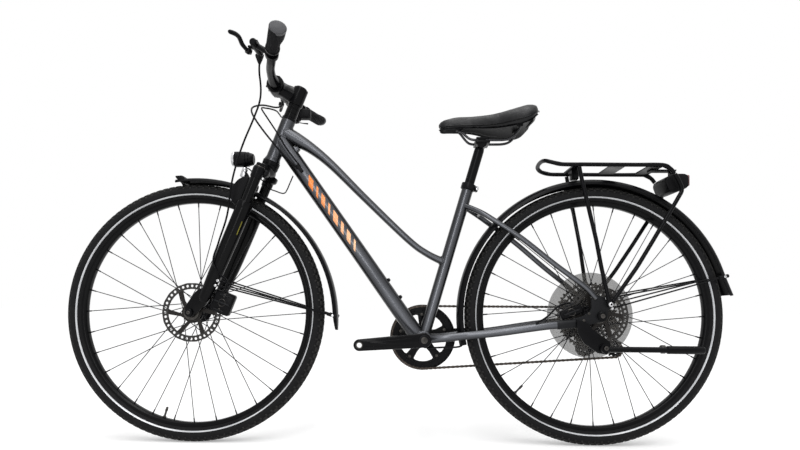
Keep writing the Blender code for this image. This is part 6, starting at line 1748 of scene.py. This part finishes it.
def make_rack_side(side, word):
    leg = [
        bike(x, side * y, z) for x, y, z in mm((
            (200.8, 60, 736.9), (213, 60, 716.5), (221.5, 60, 694), (209, 61.5, 673), (139, 70, 559), (92, 77, 485),
            (25.4, 85, 393.5),
        ))
    ]
    strut = [
        bike(x, side * y, z) for x, y, z in mm((
            (-54.5, 60, 753.5), (-51, 60, 733.5), (-13.6, 71, 557), (-2, 76, 485), (15.4, 85, 393.5),
        ))
    ]
    parts = [
        swept("leg", eased(leg, 0.012), 0.0055, 20), swept("strut", eased(strut, 0.012), 0.0055, 20),
    ]
    foot = RACK_BOLT
    shape = hull([(leg[-1].x, leg[-1].z, 0.006), (strut[-1].x, strut[-1].z, 0.006), (foot.x, foot.z, 0.0085)])
    parts.append(plate("eye", [shape], 0.0046, side_view(side * 0.085), 0.001))
    placed(joined(f"rack_{word}_tubes", parts), "frame", "satin_black", f"rack_{word}_side")
    head = facing(foot, side, 0.0868)
    dome = mm([(2.2, 0), (6.6, 0), (6.9, 1), (6.1, 2.8), (4.6, 4), (2.6, 4.2), (2.2, 3.4)])
    placed(turned(f"rack_bolt_{word}", dome, head, 28, 40), "frame", "bright_steel")


def make_tail_light():
    side = mm([(182, 724), (202, 742), (247, 743), (249.5, 706), (214, 691), (194, 694)])
    outline = rounded_outline([(bike(x, 0, 0).x, z) for x, z in side], 4, 0.35)
    shell = plate("shell", [outline], 0.084, side_view(0), 0.004)
    tongue = block("tongue", (0.07, 0.03, 0.0036), bike(0.192, 0, RACK_HEIGHT - 0.0028), 0.001)
    drop = block("drop", (0.008, 0.03, 0.03), bike(0.22, 0, RACK_HEIGHT - 0.016), 0.001)
    placed(joined("light_shell", [shell, tongue, drop]), "frame", "black_plastic", "tail_light")
    lens = block("light_lens", (0.014, 0.078, 0.031), bike(0.245, 0, 0.7245), 0.004, 4)
    placed(lens, "frame", "red_lens")


# Brakes, derailleur, stand


def make_caliper(end):
    """A brake caliper with its ribs, its bolts and the cap over its piston."""
    body = "fork_slider" if end == "front" else "frame"
    node = f"{end}_brake_caliper"
    placed(smoothed_node(node, f"{end}_caliper_cast", 0.0022), body, "satin_black", node)
    centre = middle_of(node)
    way = STEER_UP if end == "front" else Vector((-0.37, 0, 0.93)).normalized()
    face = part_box(node)[0].y + 0.0006
    heads = []
    for reach in (-0.02, 0.02):
        point = centre + way * reach
        heads.append(facing(Vector((point.x, face, point.z)), -1))
    centre.y = face + 0.001
    pads = []
    for reach, wide, out in mm(((-30, 30, 4), (0, 44, 5), (29, 26, 4.5))):
        point = centre + way * reach * 0.7 - Vector((0, out * 0.3, 0))
        pads.append(block("pad", (0.0085, out, wide), aim(point, way.cross((0, 1, 0)), way), 0.0015))
    placed(joined(f"{end}_caliper_ribs", pads), body, "charcoal")
    ring = mm([(1, -0.6), (10.8, -0.6), (10.8, 1.2), (9.6, 1.8), (8, 1.2), (1, 1.2)])
    cap = turned(f"{end}_piston_cap", ring, facing(centre, -1), 32, 30)
    placed(bolts(f"{end}_caliper_bolts", heads, 0.0038, 0.0014), body, "dark_steel")
    placed(cap, body, "dark_steel")


def make_derailleur():
    for node, name, body, look in (
        ("derailleur_base", "mech_base", "frame", "black_alloy"),
        ("derailleur_link", "mech_link_arm", "mech_link", "satin_black"),
        ("derailleur_knuckle", "mech_lower_knuckle", "mech_knuckle", "black_plastic"),
    ):
        placed(smoothed_node(node, name, 0.0008), body, look, node)
    circles = [(p.x, p.z, 0.01) for p in (GUIDE_PULLEY, TENSION_PULLEY)]
    circles.append((REAR_AXLE.x - 0.012, REAR_AXLE.z - 0.08, 0.008))
    parts = [plate("cage plate", [hull(circles)], 0.0015, side_view(y), 0.0003) for y in (0.0553, 0.0657)]
    parts += [crossbar("pin", centre, 0.0553, 0.0657, 0.003, 20) for centre in (GUIDE_PULLEY, TENSION_PULLEY)]
    placed(joined("mech_cage_plates", parts), "mech_cage", "black_alloy", "derailleur_cage")
    for node, wheel, name, body in (
        ("guide_pulley", 2, "toothed_guide_pulley", "upper_jockey"),
        ("tension_pulley", 1, "toothed_tension_pulley", "lower_jockey"),
    ):
        centre = CHAIN_WHEELS[wheel][0]
        outlines = [tooth_outline(11, tooth_phase(wheel), 0.0016, 0.0042), circle(0, 0, 0.0033, 20)]
        outlines += [circle(*spot(a, 0.0105), 0.0026, 12) for a in turns(5)]
        pulley = plate(name, outlines, 0.0044, side_view(CHAINLINE_REAR, centre), 0.0004)
        placed(pulley, body, "black_plastic", node)


STAND_AXIS = Vector((-0.12, 1, 0)).normalized()


def make_kickstand():
    bracket = smoothed_node("kickstand_bracket", "stand_bracket", 0.0012)
    placed(bracket, "frame", "satin_black", "kickstand_bracket")
    leg = smoothed_node("kickstand_leg", "stand_leg", 0.001)
    placed(leg, "stand", "satin_black", "kickstand_leg")
    start = Vector((REAR_AXLE.x, -0.0955, 0.272))
    way = Vector((STAND_AXIS.y, -STAND_AXIS.x, 0))
    spot = Vector((start.x, start.y, 0.269)) + way * 0.16
    band = mm([(10.2, -4.5), (11.2, -4.5), (11.4, 0), (11.2, 4.5), (10.2, 4.5)])
    ring = turned("stand_ring", band, aim(spot, way), 32, 40)
    placed(ring, "stand", "dark_steel")
    bolt_spots = [aim(start + STAND_AXIS * -0.0085, -STAND_AXIS, (1, 0, 0))]
    placed(bolts("stand_bolt", bolt_spots, 0.006, 0.002), "frame", "dark_steel")


# Seat


RAIL_MIDDLE_X = seat(0.57).x
SADDLE_NOSE_X = RAIL_MIDDLE_X - 0.122


def saddle_point(x, y, z):
    return Vector((SADDLE_NOSE_X + x, y, RAIL_HEIGHT + z))


def make_seatpost():
    tube = mm([(11, 208), (13.6, 208), (13.6, 545), (13, 550), (11, 550)])
    parts = [turned("post", tube, SEAT, 48, 40)]
    barrel = across(seat(0.562))
    ring = mm([(1, -26), (12.5, -26), (14, -24.5), (14, 24.5), (12.5, 26), (1, 26)])
    parts.append(turned("barrel", ring, barrel, 40))
    parts.append(rod("neck", seat(0.535), seat(0.562), 0.0112, 28))
    placed(joined("post_tube", parts), "seat", "satin_black", "seatpost")
    clamp = block("clamp", (0.04, 0.058, 0.0075), (RAIL_MIDDLE_X, 0, RAIL_HEIGHT - 0.0052), 0.002, 3)
    upper = block("upper", (0.036, 0.056, 0.006), (RAIL_MIDDLE_X, 0, RAIL_HEIGHT + 0.0045), 0.002, 3)
    placed(joined("rail_clamp", [clamp, upper]), "seat", "black_alloy")
    heads = [aim(Vector((RAIL_MIDDLE_X + x, 0, RAIL_HEIGHT + 0.007)), (0, 0, 1)) for x in (-0.012, 0.012)]
    placed(bolts("rail_clamp_bolts", heads, 0.004, 0.003), "seat", "dark_steel")


def make_saddle_rails():
    parts = []
    for side in (-1, 1):
        route = [
            saddle_point(x, side * y, z) for x, y, z in mm((
                (58, 6, 29), (64, 12, 26.5), (80, 17.6, 8), (92, 22, 0), (120, 22, 0), (150, 22, 0), (182, 22, 0.5),
                (200, 24, 5), (214, 28, 16.5), (222.5, 31, 34),
            ))
        ]
        parts.append(swept("rail", eased(route, 0.01), 0.0035, 16))
    placed(joined("rails", parts), "seat", "rail_steel", "saddle_rails")


SADDLE_RINGS = (
    # back from the nose, half width, top, skirt
    (0.0, 0.01, 0.05, 0.04), (0.01, 0.02, 0.06, 0.029), (0.034, 0.0255, 0.0665, 0.03),
    (0.09, 0.031, 0.068, 0.03), (0.15, 0.054, 0.072, 0.024), (0.2, 0.08, 0.082, 0.025),
    (0.24, 0.09, 0.092, 0.035), (0.262, 0.078, 0.093, 0.054), (0.2705, 0.05, 0.082, 0.064),
)


SADDLE_PUFF = 0.0012


def saddle_section(row):
    """One closed cross section of the saddle, its left half mirrored from the right."""
    x, half, top, skirt = row
    half -= SADDLE_PUFF
    top -= SADDLE_PUFF
    high = top - skirt
    groove = 0.004 if 0.05 < x < 0.25 else 0.0
    right = [
        (0.0, top - groove), (0.16, top - groove * 0.75), (0.36, top - groove * 0.12), (0.6, top - 0.07 * high),
        (0.8, top - 0.21 * high), (0.93, top - 0.4 * high), (1.0, top - 0.63 * high), (0.985, skirt + 0.2 * high),
        (0.93, skirt + 0.04 * high), (0.86, skirt), (0.7, skirt + 0.2 * high), (0.42, skirt + 0.3 * high),
        (0.0, skirt + 0.34 * high),
    ]
    left = [(-y, z) for y, z in right[-2:0:-1]]
    return [saddle_point(x, y * half, z) for y, z in right + left]


def make_saddle():
    """A soft cover pressed out over its shell, with seam, rear bumper and sockets."""
    rows = flowing(SADDLE_RINGS, 4)
    cover = skin("saddle_cover_skin", [saddle_section(row) for row in rows], degrees=60)
    fill = puffed(cover)
    placed(fill, "seat", "saddle_leather", "saddle")
    seams = []
    for side in (-1, 1):
        line = []
        for row in rows[2:-1]:
            x, half, top, skirt = row
            line.append(saddle_point(x, side * (half * 0.992 - 0.0002), skirt + 0.22 * (top - skirt)))
        seams.append(swept("seam", line, 0.0014, 10))
    placed(joined("saddle_seam", seams), "seat", "gloss_black")
    under = []
    for row in rows[3:-3]:
        x, half, top, skirt = row
        high = top - skirt
        section = [
            saddle_point(x, y * half, skirt + z) for y, z in (
                (0.9, 0.001), (0.7, 0.14 * high), (0.42, 0.24 * high), (0.0, 0.28 * high), (-0.42, 0.24 * high),
                (-0.7, 0.14 * high), (-0.9, 0.001),
            )
        ]
        under.append(section)
    parts = [patch("saddle_tray", under, 0.0016)]
    parts.append(block("nose socket", (0.02, 0.026, 0.01), saddle_point(0.06, 0, 0.036), 0.002))
    for side in (-1, 1):
        parts.append(block("rear socket", (0.016, 0.016, 0.016), saddle_point(0.2225, side * 0.031, 0.043), 0.002))
    placed(joined("saddle_tray", parts), "seat", "black_plastic")
    bumper = []
    for step in range(17):
        share = -1 + step / 8
        bend = math.cos(share * math.pi / 2)
        bumper.append(saddle_point(0.24 + 0.0265 * bend, share * 0.08, 0.051 + 0.012 * bend))
    placed(swept("saddle_bumper", bumper, 0.0035, 14, (0, 0, 1)), "seat", "gloss_black")


def puffed(cover):
    """Presses the closed cover out a little so that it bulges like foam under leather."""
    cover.name = "saddle_cushion"
    cover.data.name = "saddle_cushion"
    apply(cover, "REMESH", mode="VOXEL", voxel_size=0.005, use_smooth_shade=True)
    before = [corner.co.copy() for corner in cover.data.vertices]
    choose([cover])
    cloth = cover.modifiers.new("cloth", "CLOTH")
    cloth.settings.use_pressure = True
    cloth.settings.uniform_pressure_force = 4
    cloth.settings.effector_weights.gravity = 0
    cloth.settings.quality = 6
    cloth.point_cache.frame_start = 1
    cloth.point_cache.frame_end = 20
    for number in range(1, 21):
        bpy.context.scene.frame_set(number)
    bpy.ops.object.modifier_apply(modifier=cloth.name)
    bpy.context.scene.frame_set(1)
    limit = 0.0022
    for corner, old in zip(cover.data.vertices, before):
        shift = corner.co - old
        if shift.length > limit:
            corner.co = old + shift.normalized() * limit
    apply(cover, "SUBSURF", levels=1)
    return shade(cover, 60)


# Axles


def make_axles():
    front = mm([
        (1.5, -66.5), (8.5, -66.5), (9.9, -65), (9.9, -59), (6, -58.8), (6, 58.8), (9.9, 59), (9.9, 65), (8.5, 66.5),
        (1.5, 66.5),
    ])
    placed(turned("front_skewer", front, across(FRONT_AXLE), 40), "fork_slider", "satin_black", "front_axle")
    rear = mm([
        (3, -83.6), (10, -83.6), (12.2, -82), (12.4, -76), (6, -75.7), (6, 75.7), (12.4, 76), (12.2, 82), (10, 83.6),
        (3, 83.6),
    ])
    placed(turned("rear_skewer", rear, across(REAR_AXLE), 40), "frame", "satin_black", "rear_axle")
    for end, y, radius in (("front", 0.066, 0.005), ("rear", 0.0832, 0.0062)):
        body = "fork_slider" if end == "front" else "frame"
        spots = [facing(AXLES[end], side, y) for side in (-1, 1)]
        placed(bolts(f"{end}_axle_bolts", spots, radius, 0.0009), body, "dark_steel")


# Cables


HOSES = {
    # name: (node, body, radius, points)
    "front_hose": ("front_brake_hose", "fork_slider", 0.0025, [
        BAR_CENTRE + Vector((-0.013, -0.139, 0.012)), BAR_CENTRE + Vector((-0.0138, -0.1385, -0.004)),
        BAR_CENTRE + Vector((-0.0142, -0.134, -0.02)), BAR_CENTRE + Vector((-0.014, -0.124, -0.037)),
        bike(-0.8995, -0.111, 0.932), bike(-0.905, -0.1, 0.911), bike(-0.919, -0.094, 0.875),
        bike(-0.951, -0.088, 0.8), bike(-0.968, -0.086, 0.7475), bike(-0.98, -0.086, 0.694),
        fork(0.2777, 0.032, -0.08), fork(0.2, 0.026, -0.079), fork(0.1498, 0.019, -0.0805),
        fork(0.135, 0.004, -0.082), fork(0.125, -0.01, -0.0765), fork(0.119, -0.022, -0.061),
        fork(0.11, -0.0265, -0.0505), fork(0.099, -0.028, -0.0455), fork(0.087, -0.028, -0.045),
    ]),
    "rear_brake_loop": ("front_cable_loops", "steering", 0.0025, [
        BAR_CENTRE + Vector((-0.013, 0.139, 0.012)), BAR_CENTRE + Vector((-0.0145, 0.137, -0.002)),
        BAR_CENTRE + Vector((-0.021, 0.127, -0.0135)), BAR_CENTRE + Vector((-0.033, 0.104, -0.022)),
        bike(-0.936, 0.062, 0.958), bike(-0.953, 0.015, 0.936),
        bike(-0.944, -0.026, 0.903), bike(-0.913, -0.044, 0.857), bike(-0.878, -0.042, 0.814),
        bike(-0.846, -0.034, 0.778), bike(-0.8165, -0.0262, 0.751),
    ]),
    "shift_loop": ("front_cable_loops", "steering", 0.0022, [
        SHIFTER_PIVOT + Vector((-0.016, 0, 0.012)), SHIFTER_PIVOT + Vector((-0.028, -0.004, 0.011)),
        SHIFTER_PIVOT + Vector((-0.04, -0.02, 0.007)), bike(-0.905, 0.085, 0.95), bike(-0.925, 0.04, 0.942),
        bike(-0.924, -0.005, 0.925), bike(-0.903, -0.034, 0.893), bike(-0.874, -0.039, 0.85),
        bike(-0.846, -0.033, 0.805), bike(-0.8085, -0.0262, 0.757),
    ]),
    "dynamo_cable": ("dynamo_wire", "frame", 0.0017, [
        LAMP_PIVOT + Vector((0.0061, 0, 0.004)), fork(0.4237, 0.0518), fork(0.4205, 0.043, -0.003),
        fork(0.414, 0.028, -0.004), fork(0.408, 0.006), fork(0.402, -0.01), bike(-0.904, 0, 0.703),
        bike(-0.88, 0, 0.6935), bike(-0.8575, 0, 0.689), bike(-0.8445, 0, 0.713), bike(-0.8345, 0, 0.7375),
    ]),
    "rear_hose": ("rear_brake_hose", "frame", 0.0025, [
        bike(-0.172, -0.07, 0.3345), bike(-0.156, -0.0712, 0.343), bike(-0.138, -0.07, 0.356),
        bike(-0.115, -0.064, 0.377), bike(-0.088, -0.056, 0.388), bike(-0.074, -0.052, 0.386),
    ]),
    "lower_hose": ("lower_brake_hose", "frame", 0.0025, [
        bike(-0.466, -0.016, 0.2645), bike(-0.445, -0.026, 0.264), bike(-0.415, -0.034, 0.266),
        bike(-0.389, -0.037, 0.2665), bike(-0.368, -0.0375, 0.27), bike(-0.356, -0.0372, 0.2835),
    ]),
}


def make_hose(name):
    """A round cable on a smooth open curve."""
    node, body, radius, points = HOSES[name]
    deselect()
    bpy.ops.curve.primitive_bezier_curve_add()
    cable = started(name)
    sheet = cable.data
    sheet.dimensions = "3D"
    sheet.splines.clear()
    rows = flowing(points, 2) if len(points) < 14 else [tuple(p) for p in points]
    spline = sheet.splines.new("POLY")
    spline.points.add(len(rows) - 1)
    for corner, row in zip(spline.points, rows):
        corner.co = (*row, 1)
    choose([cable])
    bpy.ops.object.mode_set(mode="EDIT")
    bpy.ops.curve.select_all(action="SELECT")
    bpy.ops.curve.spline_type_set(type="BEZIER", use_handles=False)
    bpy.ops.curve.handle_type_set(type="AUTOMATIC")
    bpy.ops.object.mode_set(mode="OBJECT")
    sheet.resolution_u = 6
    sheet.bevel_depth = radius
    sheet.bevel_resolution = 4
    sheet.use_fill_caps = True
    length = sheet.splines[0].calc_length()
    placed(cable, body, "cable_cover", node)
    return length


def make_cable_port():
    place = Matrix.Translation(bike(-0.8115, -0.0252, 0.753)) @ Matrix.Rotation(math.radians(-36), 4, "Y")
    port = block("cable_port", (0.01, 0.006, 0.025), place, 0.002, 3)
    placed(port, "frame", "black_plastic")


# Studio


CAMERA_PLACE = (0.01503, -1.57506, 0.38228)
CAMERA_PITCH = 0.02897
CAMERA_YAW = 0.00587
CAMERA_ROLL = 0.00838


def make_camera():
    deselect()
    bpy.ops.object.camera_add(location=CAMERA_PLACE)
    camera = bpy.context.object
    camera.name = "photo_camera"
    right = Vector((math.cos(CAMERA_YAW), math.sin(CAMERA_YAW), 0))
    ahead = Vector((
        -math.cos(CAMERA_PITCH) * math.sin(CAMERA_YAW), math.cos(CAMERA_PITCH) * math.cos(CAMERA_YAW),
        math.sin(CAMERA_PITCH),
    ))
    up = right.cross(ahead)
    rolled_right = right * math.cos(CAMERA_ROLL) + up * math.sin(CAMERA_ROLL)
    rolled_up = up * math.cos(CAMERA_ROLL) - right * math.sin(CAMERA_ROLL)
    turn = Matrix((rolled_right, rolled_up, -ahead)).transposed().to_4x4()
    camera.matrix_world = Matrix.Translation(CAMERA_PLACE) @ turn
    camera.data.sensor_width = 36
    camera.data.lens = 25.56
    camera.data.shift_x = -0.0018
    camera.data.shift_y = 0.0782
    bpy.context.scene.camera = camera


def make_floor():
    deselect()
    bpy.ops.mesh.primitive_plane_add(size=60)
    floor = started("studio_floor")
    made = Finish("studio_floor", 0.85, 0.0, 0.0)
    made.colours(made.noise(2), (0.3, (0.79, 0.79, 0.79)), (0.7, (0.81, 0.81, 0.81)))
    made.inputs["Emission Color"].default_value = (1, 1, 1, 1)
    made.tree.links.new(made.times(seen_rays(made), 0.3), made.inputs["Emission Strength"])
    floor.data.materials.append(made.made)


def seen_rays(nodes):
    """One for rays that the camera sees straight, mirrored or through clear plastic."""
    rays = nodes.add("LightPath").outputs
    mirrored_or_through = nodes.calc("MAXIMUM", rays["Is Glossy Ray"], rays["Is Transmission Ray"])
    return nodes.calc("MAXIMUM", rays["Is Camera Ray"], mirrored_or_through)


def make_world():
    """White for the camera, a softer grey for the light it throws."""
    world = bpy.data.worlds.new("studio")
    bpy.context.scene.world = world
    world.use_nodes = True
    nodes = Nodes(world.node_tree)
    background = nodes.tree.nodes["Background"]
    background.inputs["Color"].default_value = (1, 1, 1, 1)
    strength = nodes.plus(nodes.times(seen_rays(nodes), 0.5), 0.5)
    nodes.tree.links.new(strength, background.inputs["Strength"])


def make_lamp(name, place, size):
    """A wide lamp above or beside the bicycle, turned to its middle."""
    deselect()
    bpy.ops.object.light_add(type="AREA", location=place)
    lamp = bpy.context.object
    lamp.name = name
    lamp.data.energy = settings().lamp_power
    lamp.data.shape = "RECTANGLE"
    lamp.data.size, lamp.data.size_y = size
    lamp.matrix_world = aim(place, Vector(place) - Vector((0, 0, 0.5)), (1, 0, 0.001))


def make_sun():
    deselect()
    bpy.ops.object.light_add(type="SUN", location=(0, -2, 4))
    sun = bpy.context.object
    sun.name = "wide_sun"
    sun.data.energy = 1.4
    sun.data.angle = math.radians(60)
    sun.matrix_world = aim((0, -2, 4), (0.15, -0.35, 1), (1, 0, 0))


def make_studio():
    make_floor()
    make_world()
    make_lamp("top_softbox", (0, -0.9, 2.9), (4.0, 0.5))
    make_lamp("front_softbox", (-0.6, -3.6, 1.9), (3.2, 0.6))
    make_sun()
    bpy.context.scene.view_settings.view_transform = "Standard"


# Operators


class BuildOperator:
    """Shared by the operators below."""

    bl_options = {"REGISTER", "UNDO"}


class BIKE_OT_camera(BuildOperator, bpy.types.Operator):
    """Add the camera that looks at the bicycle's left side"""

    bl_idname = "bike.camera"
    bl_label = "Camera"

    def execute(self, context):
        make_camera()
        return {"FINISHED"}


class BIKE_OT_cables(BuildOperator, bpy.types.Operator):
    """Add the brake hoses, the gear cable, the lamp wire and their port"""

    bl_idname = "bike.cables"
    bl_label = "Cables"

    def execute(self, context):
        for name in HOSES:
            make_hose(name)
        make_cable_port()
        return {"FINISHED"}


class BIKE_OT_tyres(BuildOperator, bpy.types.Operator):
    """Add both tyres with their tread blocks and reflective lines"""

    bl_idname = "bike.tyres"
    bl_label = "Tyres"

    def execute(self, context):
        for end in AXLES:
            make_tyre(end)
        return {"FINISHED"}


class BIKE_OT_rims(BuildOperator, bpy.types.Operator):
    """Add both rims with their valves"""

    bl_idname = "bike.rims"
    bl_label = "Rims"

    def execute(self, context):
        for end in AXLES:
            make_rim(end)
        return {"FINISHED"}


class BIKE_OT_hubs(BuildOperator, bpy.types.Operator):
    """Add the hubs, the spokes and the spoke protector"""

    bl_idname = "bike.hubs"
    bl_label = "Hubs and Spokes"

    def execute(self, context):
        make_hub("front", FRONT_HUB)
        make_hub("rear", REAR_HUB)
        make_spokes("front", FRONT_FLANGES)
        make_spokes("rear", REAR_FLANGES)
        make_spoke_protector()
        return {"FINISHED"}


class BIKE_OT_brakes(BuildOperator, bpy.types.Operator):
    """Add the brake discs and their calipers"""

    bl_idname = "bike.brakes"
    bl_label = "Brakes"

    def execute(self, context):
        for end in AXLES:
            make_disc(end)
            make_caliper(end)
        return {"FINISHED"}


class BIKE_OT_drive(BuildOperator, bpy.types.Operator):
    """Add the chainring, the cassette and the chain"""

    bl_idname = "bike.drive"
    bl_label = "Drive"

    def execute(self, context):
        make_chain()
        make_chainring()
        make_ring_bolts()
        make_cassette()
        return {"FINISHED"}


class BIKE_OT_cranks(BuildOperator, bpy.types.Operator):
    """Add both cranks"""

    bl_idname = "bike.cranks"
    bl_label = "Cranks"

    def execute(self, context):
        for side, word in SIDES:
            make_crank(side, word)
        return {"FINISHED"}


class BIKE_OT_derailleur(BuildOperator, bpy.types.Operator):
    """Add the rear derailleur with its toothed pulleys"""

    bl_idname = "bike.derailleur"
    bl_label = "Derailleur"

    def execute(self, context):
        make_derailleur()
        return {"FINISHED"}


class BIKE_OT_frame(BuildOperator, bpy.types.Operator):
    """Add the frame's main tubes, their welds, bars and bosses"""

    bl_idname = "bike.frame"
    bl_label = "Frame"

    def execute(self, context):
        make_main_tubes()
        make_frame_welds()
        make_accent_bars()
        make_seat_collar()
        make_bottle_bosses()
        return {"FINISHED"}


class BIKE_OT_stays(BuildOperator, bpy.types.Operator):
    """Add the rear stays with their dropouts"""

    bl_idname = "bike.stays"
    bl_label = "Rear Stays"

    def execute(self, context):
        for side, word in SIDES:
            make_rear_stays(side, word)
        return {"FINISHED"}


class BIKE_OT_fork(BuildOperator, bpy.types.Operator):
    """Add the suspension fork"""

    bl_idname = "bike.fork"
    bl_label = "Fork"

    def execute(self, context):
        make_fork_crown()
        make_fork_lowers()
        return {"FINISHED"}


class BIKE_OT_axles(BuildOperator, bpy.types.Operator):
    """Add both axles with their heads"""

    bl_idname = "bike.axles"
    bl_label = "Axles"

    def execute(self, context):
        make_axles()
        return {"FINISHED"}


class BIKE_OT_fenders(BuildOperator, bpy.types.Operator):
    """Add both fenders with their stay wires"""

    bl_idname = "bike.fenders"
    bl_label = "Fenders"

    def execute(self, context):
        for end in AXLES:
            make_fender(end)
        return {"FINISHED"}


class BIKE_OT_cockpit(BuildOperator, bpy.types.Operator):
    """Add the stem, the handlebar and the grips"""

    bl_idname = "bike.cockpit"
    bl_label = "Stem, Bar and Grips"

    def execute(self, context):
        make_stem()
        make_handlebar()
        for side, word in SIDES:
            make_grip(side, word)
        return {"FINISHED"}


class BIKE_OT_controls(BuildOperator, bpy.types.Operator):
    """Add the brake levers and the shifter"""

    bl_idname = "bike.controls"
    bl_label = "Brake Levers and Shifter"

    def execute(self, context):
        for side, word in SIDES:
            make_brake_body(side, word)
            make_brake_lever(side, word)
        make_shifter()
        return {"FINISHED"}


class BIKE_OT_lights(BuildOperator, bpy.types.Operator):
    """Add the headlight and the tail light"""

    bl_idname = "bike.lights"
    bl_label = "Lights"

    def execute(self, context):
        make_headlight()
        make_tail_light()
        return {"FINISHED"}


class BIKE_OT_rack(BuildOperator, bpy.types.Operator):
    """Add the carrier rack"""

    bl_idname = "bike.rack"
    bl_label = "Rack"

    def execute(self, context):
        make_rack_deck()
        for side, word in SIDES:
            make_rack_side(side, word)
        return {"FINISHED"}


class BIKE_OT_seat(BuildOperator, bpy.types.Operator):
    """Add the seatpost, the rails and the saddle"""

    bl_idname = "bike.seat"
    bl_label = "Seat"

    def execute(self, context):
        make_seatpost()
        make_saddle_rails()
        make_saddle()
        return {"FINISHED"}


class BIKE_OT_kickstand(BuildOperator, bpy.types.Operator):
    """Add the folded kickstand"""

    bl_idname = "bike.kickstand"
    bl_label = "Kickstand"

    def execute(self, context):
        make_kickstand()
        return {"FINISHED"}


class BIKE_OT_studio(BuildOperator, bpy.types.Operator):
    """Add the floor, the world and the soft lamps"""

    bl_idname = "bike.studio"
    bl_label = "Studio"

    def execute(self, context):
        make_studio()
        return {"FINISHED"}


OPERATORS = (
    BIKE_OT_camera, BIKE_OT_cables, BIKE_OT_tyres, BIKE_OT_rims, BIKE_OT_hubs, BIKE_OT_brakes, BIKE_OT_drive,
    BIKE_OT_cranks, BIKE_OT_derailleur, BIKE_OT_frame, BIKE_OT_stays, BIKE_OT_fork, BIKE_OT_axles, BIKE_OT_fenders,
    BIKE_OT_cockpit, BIKE_OT_controls, BIKE_OT_lights, BIKE_OT_rack, BIKE_OT_seat, BIKE_OT_kickstand, BIKE_OT_studio,
)


class BIKE_PT_build(bpy.types.Panel):
    bl_label = "Trekking Bicycle"
    bl_idname = "BIKE_PT_build"
    bl_space_type = "VIEW_3D"
    bl_region_type = "UI"
    bl_category = "Bicycle"

    def draw(self, context):
        column = self.layout.column()
        for name in BikeSettings.__annotations__:
            column.prop(settings(), name)
        for operator in OPERATORS:
            column.operator(operator.bl_idname)


CLASSES = (BikeSettings, *OPERATORS, BIKE_PT_build)


def register():
    for kind in CLASSES:
        bpy.utils.register_class(kind)
    bpy.types.Scene.bike_settings = bpy.props.PointerProperty(type=BikeSettings)


def unregister():
    del bpy.types.Scene.bike_settings
    for kind in reversed(CLASSES):
        bpy.utils.unregister_class(kind)


def main():
    register()
    bpy.ops.bike.camera()
    bpy.ops.bike.cables()
    bpy.ops.bike.tyres()
    bpy.ops.bike.rims()
    bpy.ops.bike.hubs()
    bpy.ops.bike.brakes()
    bpy.ops.bike.drive()
    bpy.ops.bike.cranks()
    bpy.ops.bike.derailleur()
    bpy.ops.bike.frame()
    bpy.ops.bike.stays()
    bpy.ops.bike.fork()
    bpy.ops.bike.axles()
    bpy.ops.bike.fenders()
    bpy.ops.bike.cockpit()
    bpy.ops.bike.controls()
    bpy.ops.bike.lights()
    bpy.ops.bike.rack()
    bpy.ops.bike.seat()
    bpy.ops.bike.kickstand()
    bpy.ops.bike.studio()


if __name__ == "__main__":
    main()
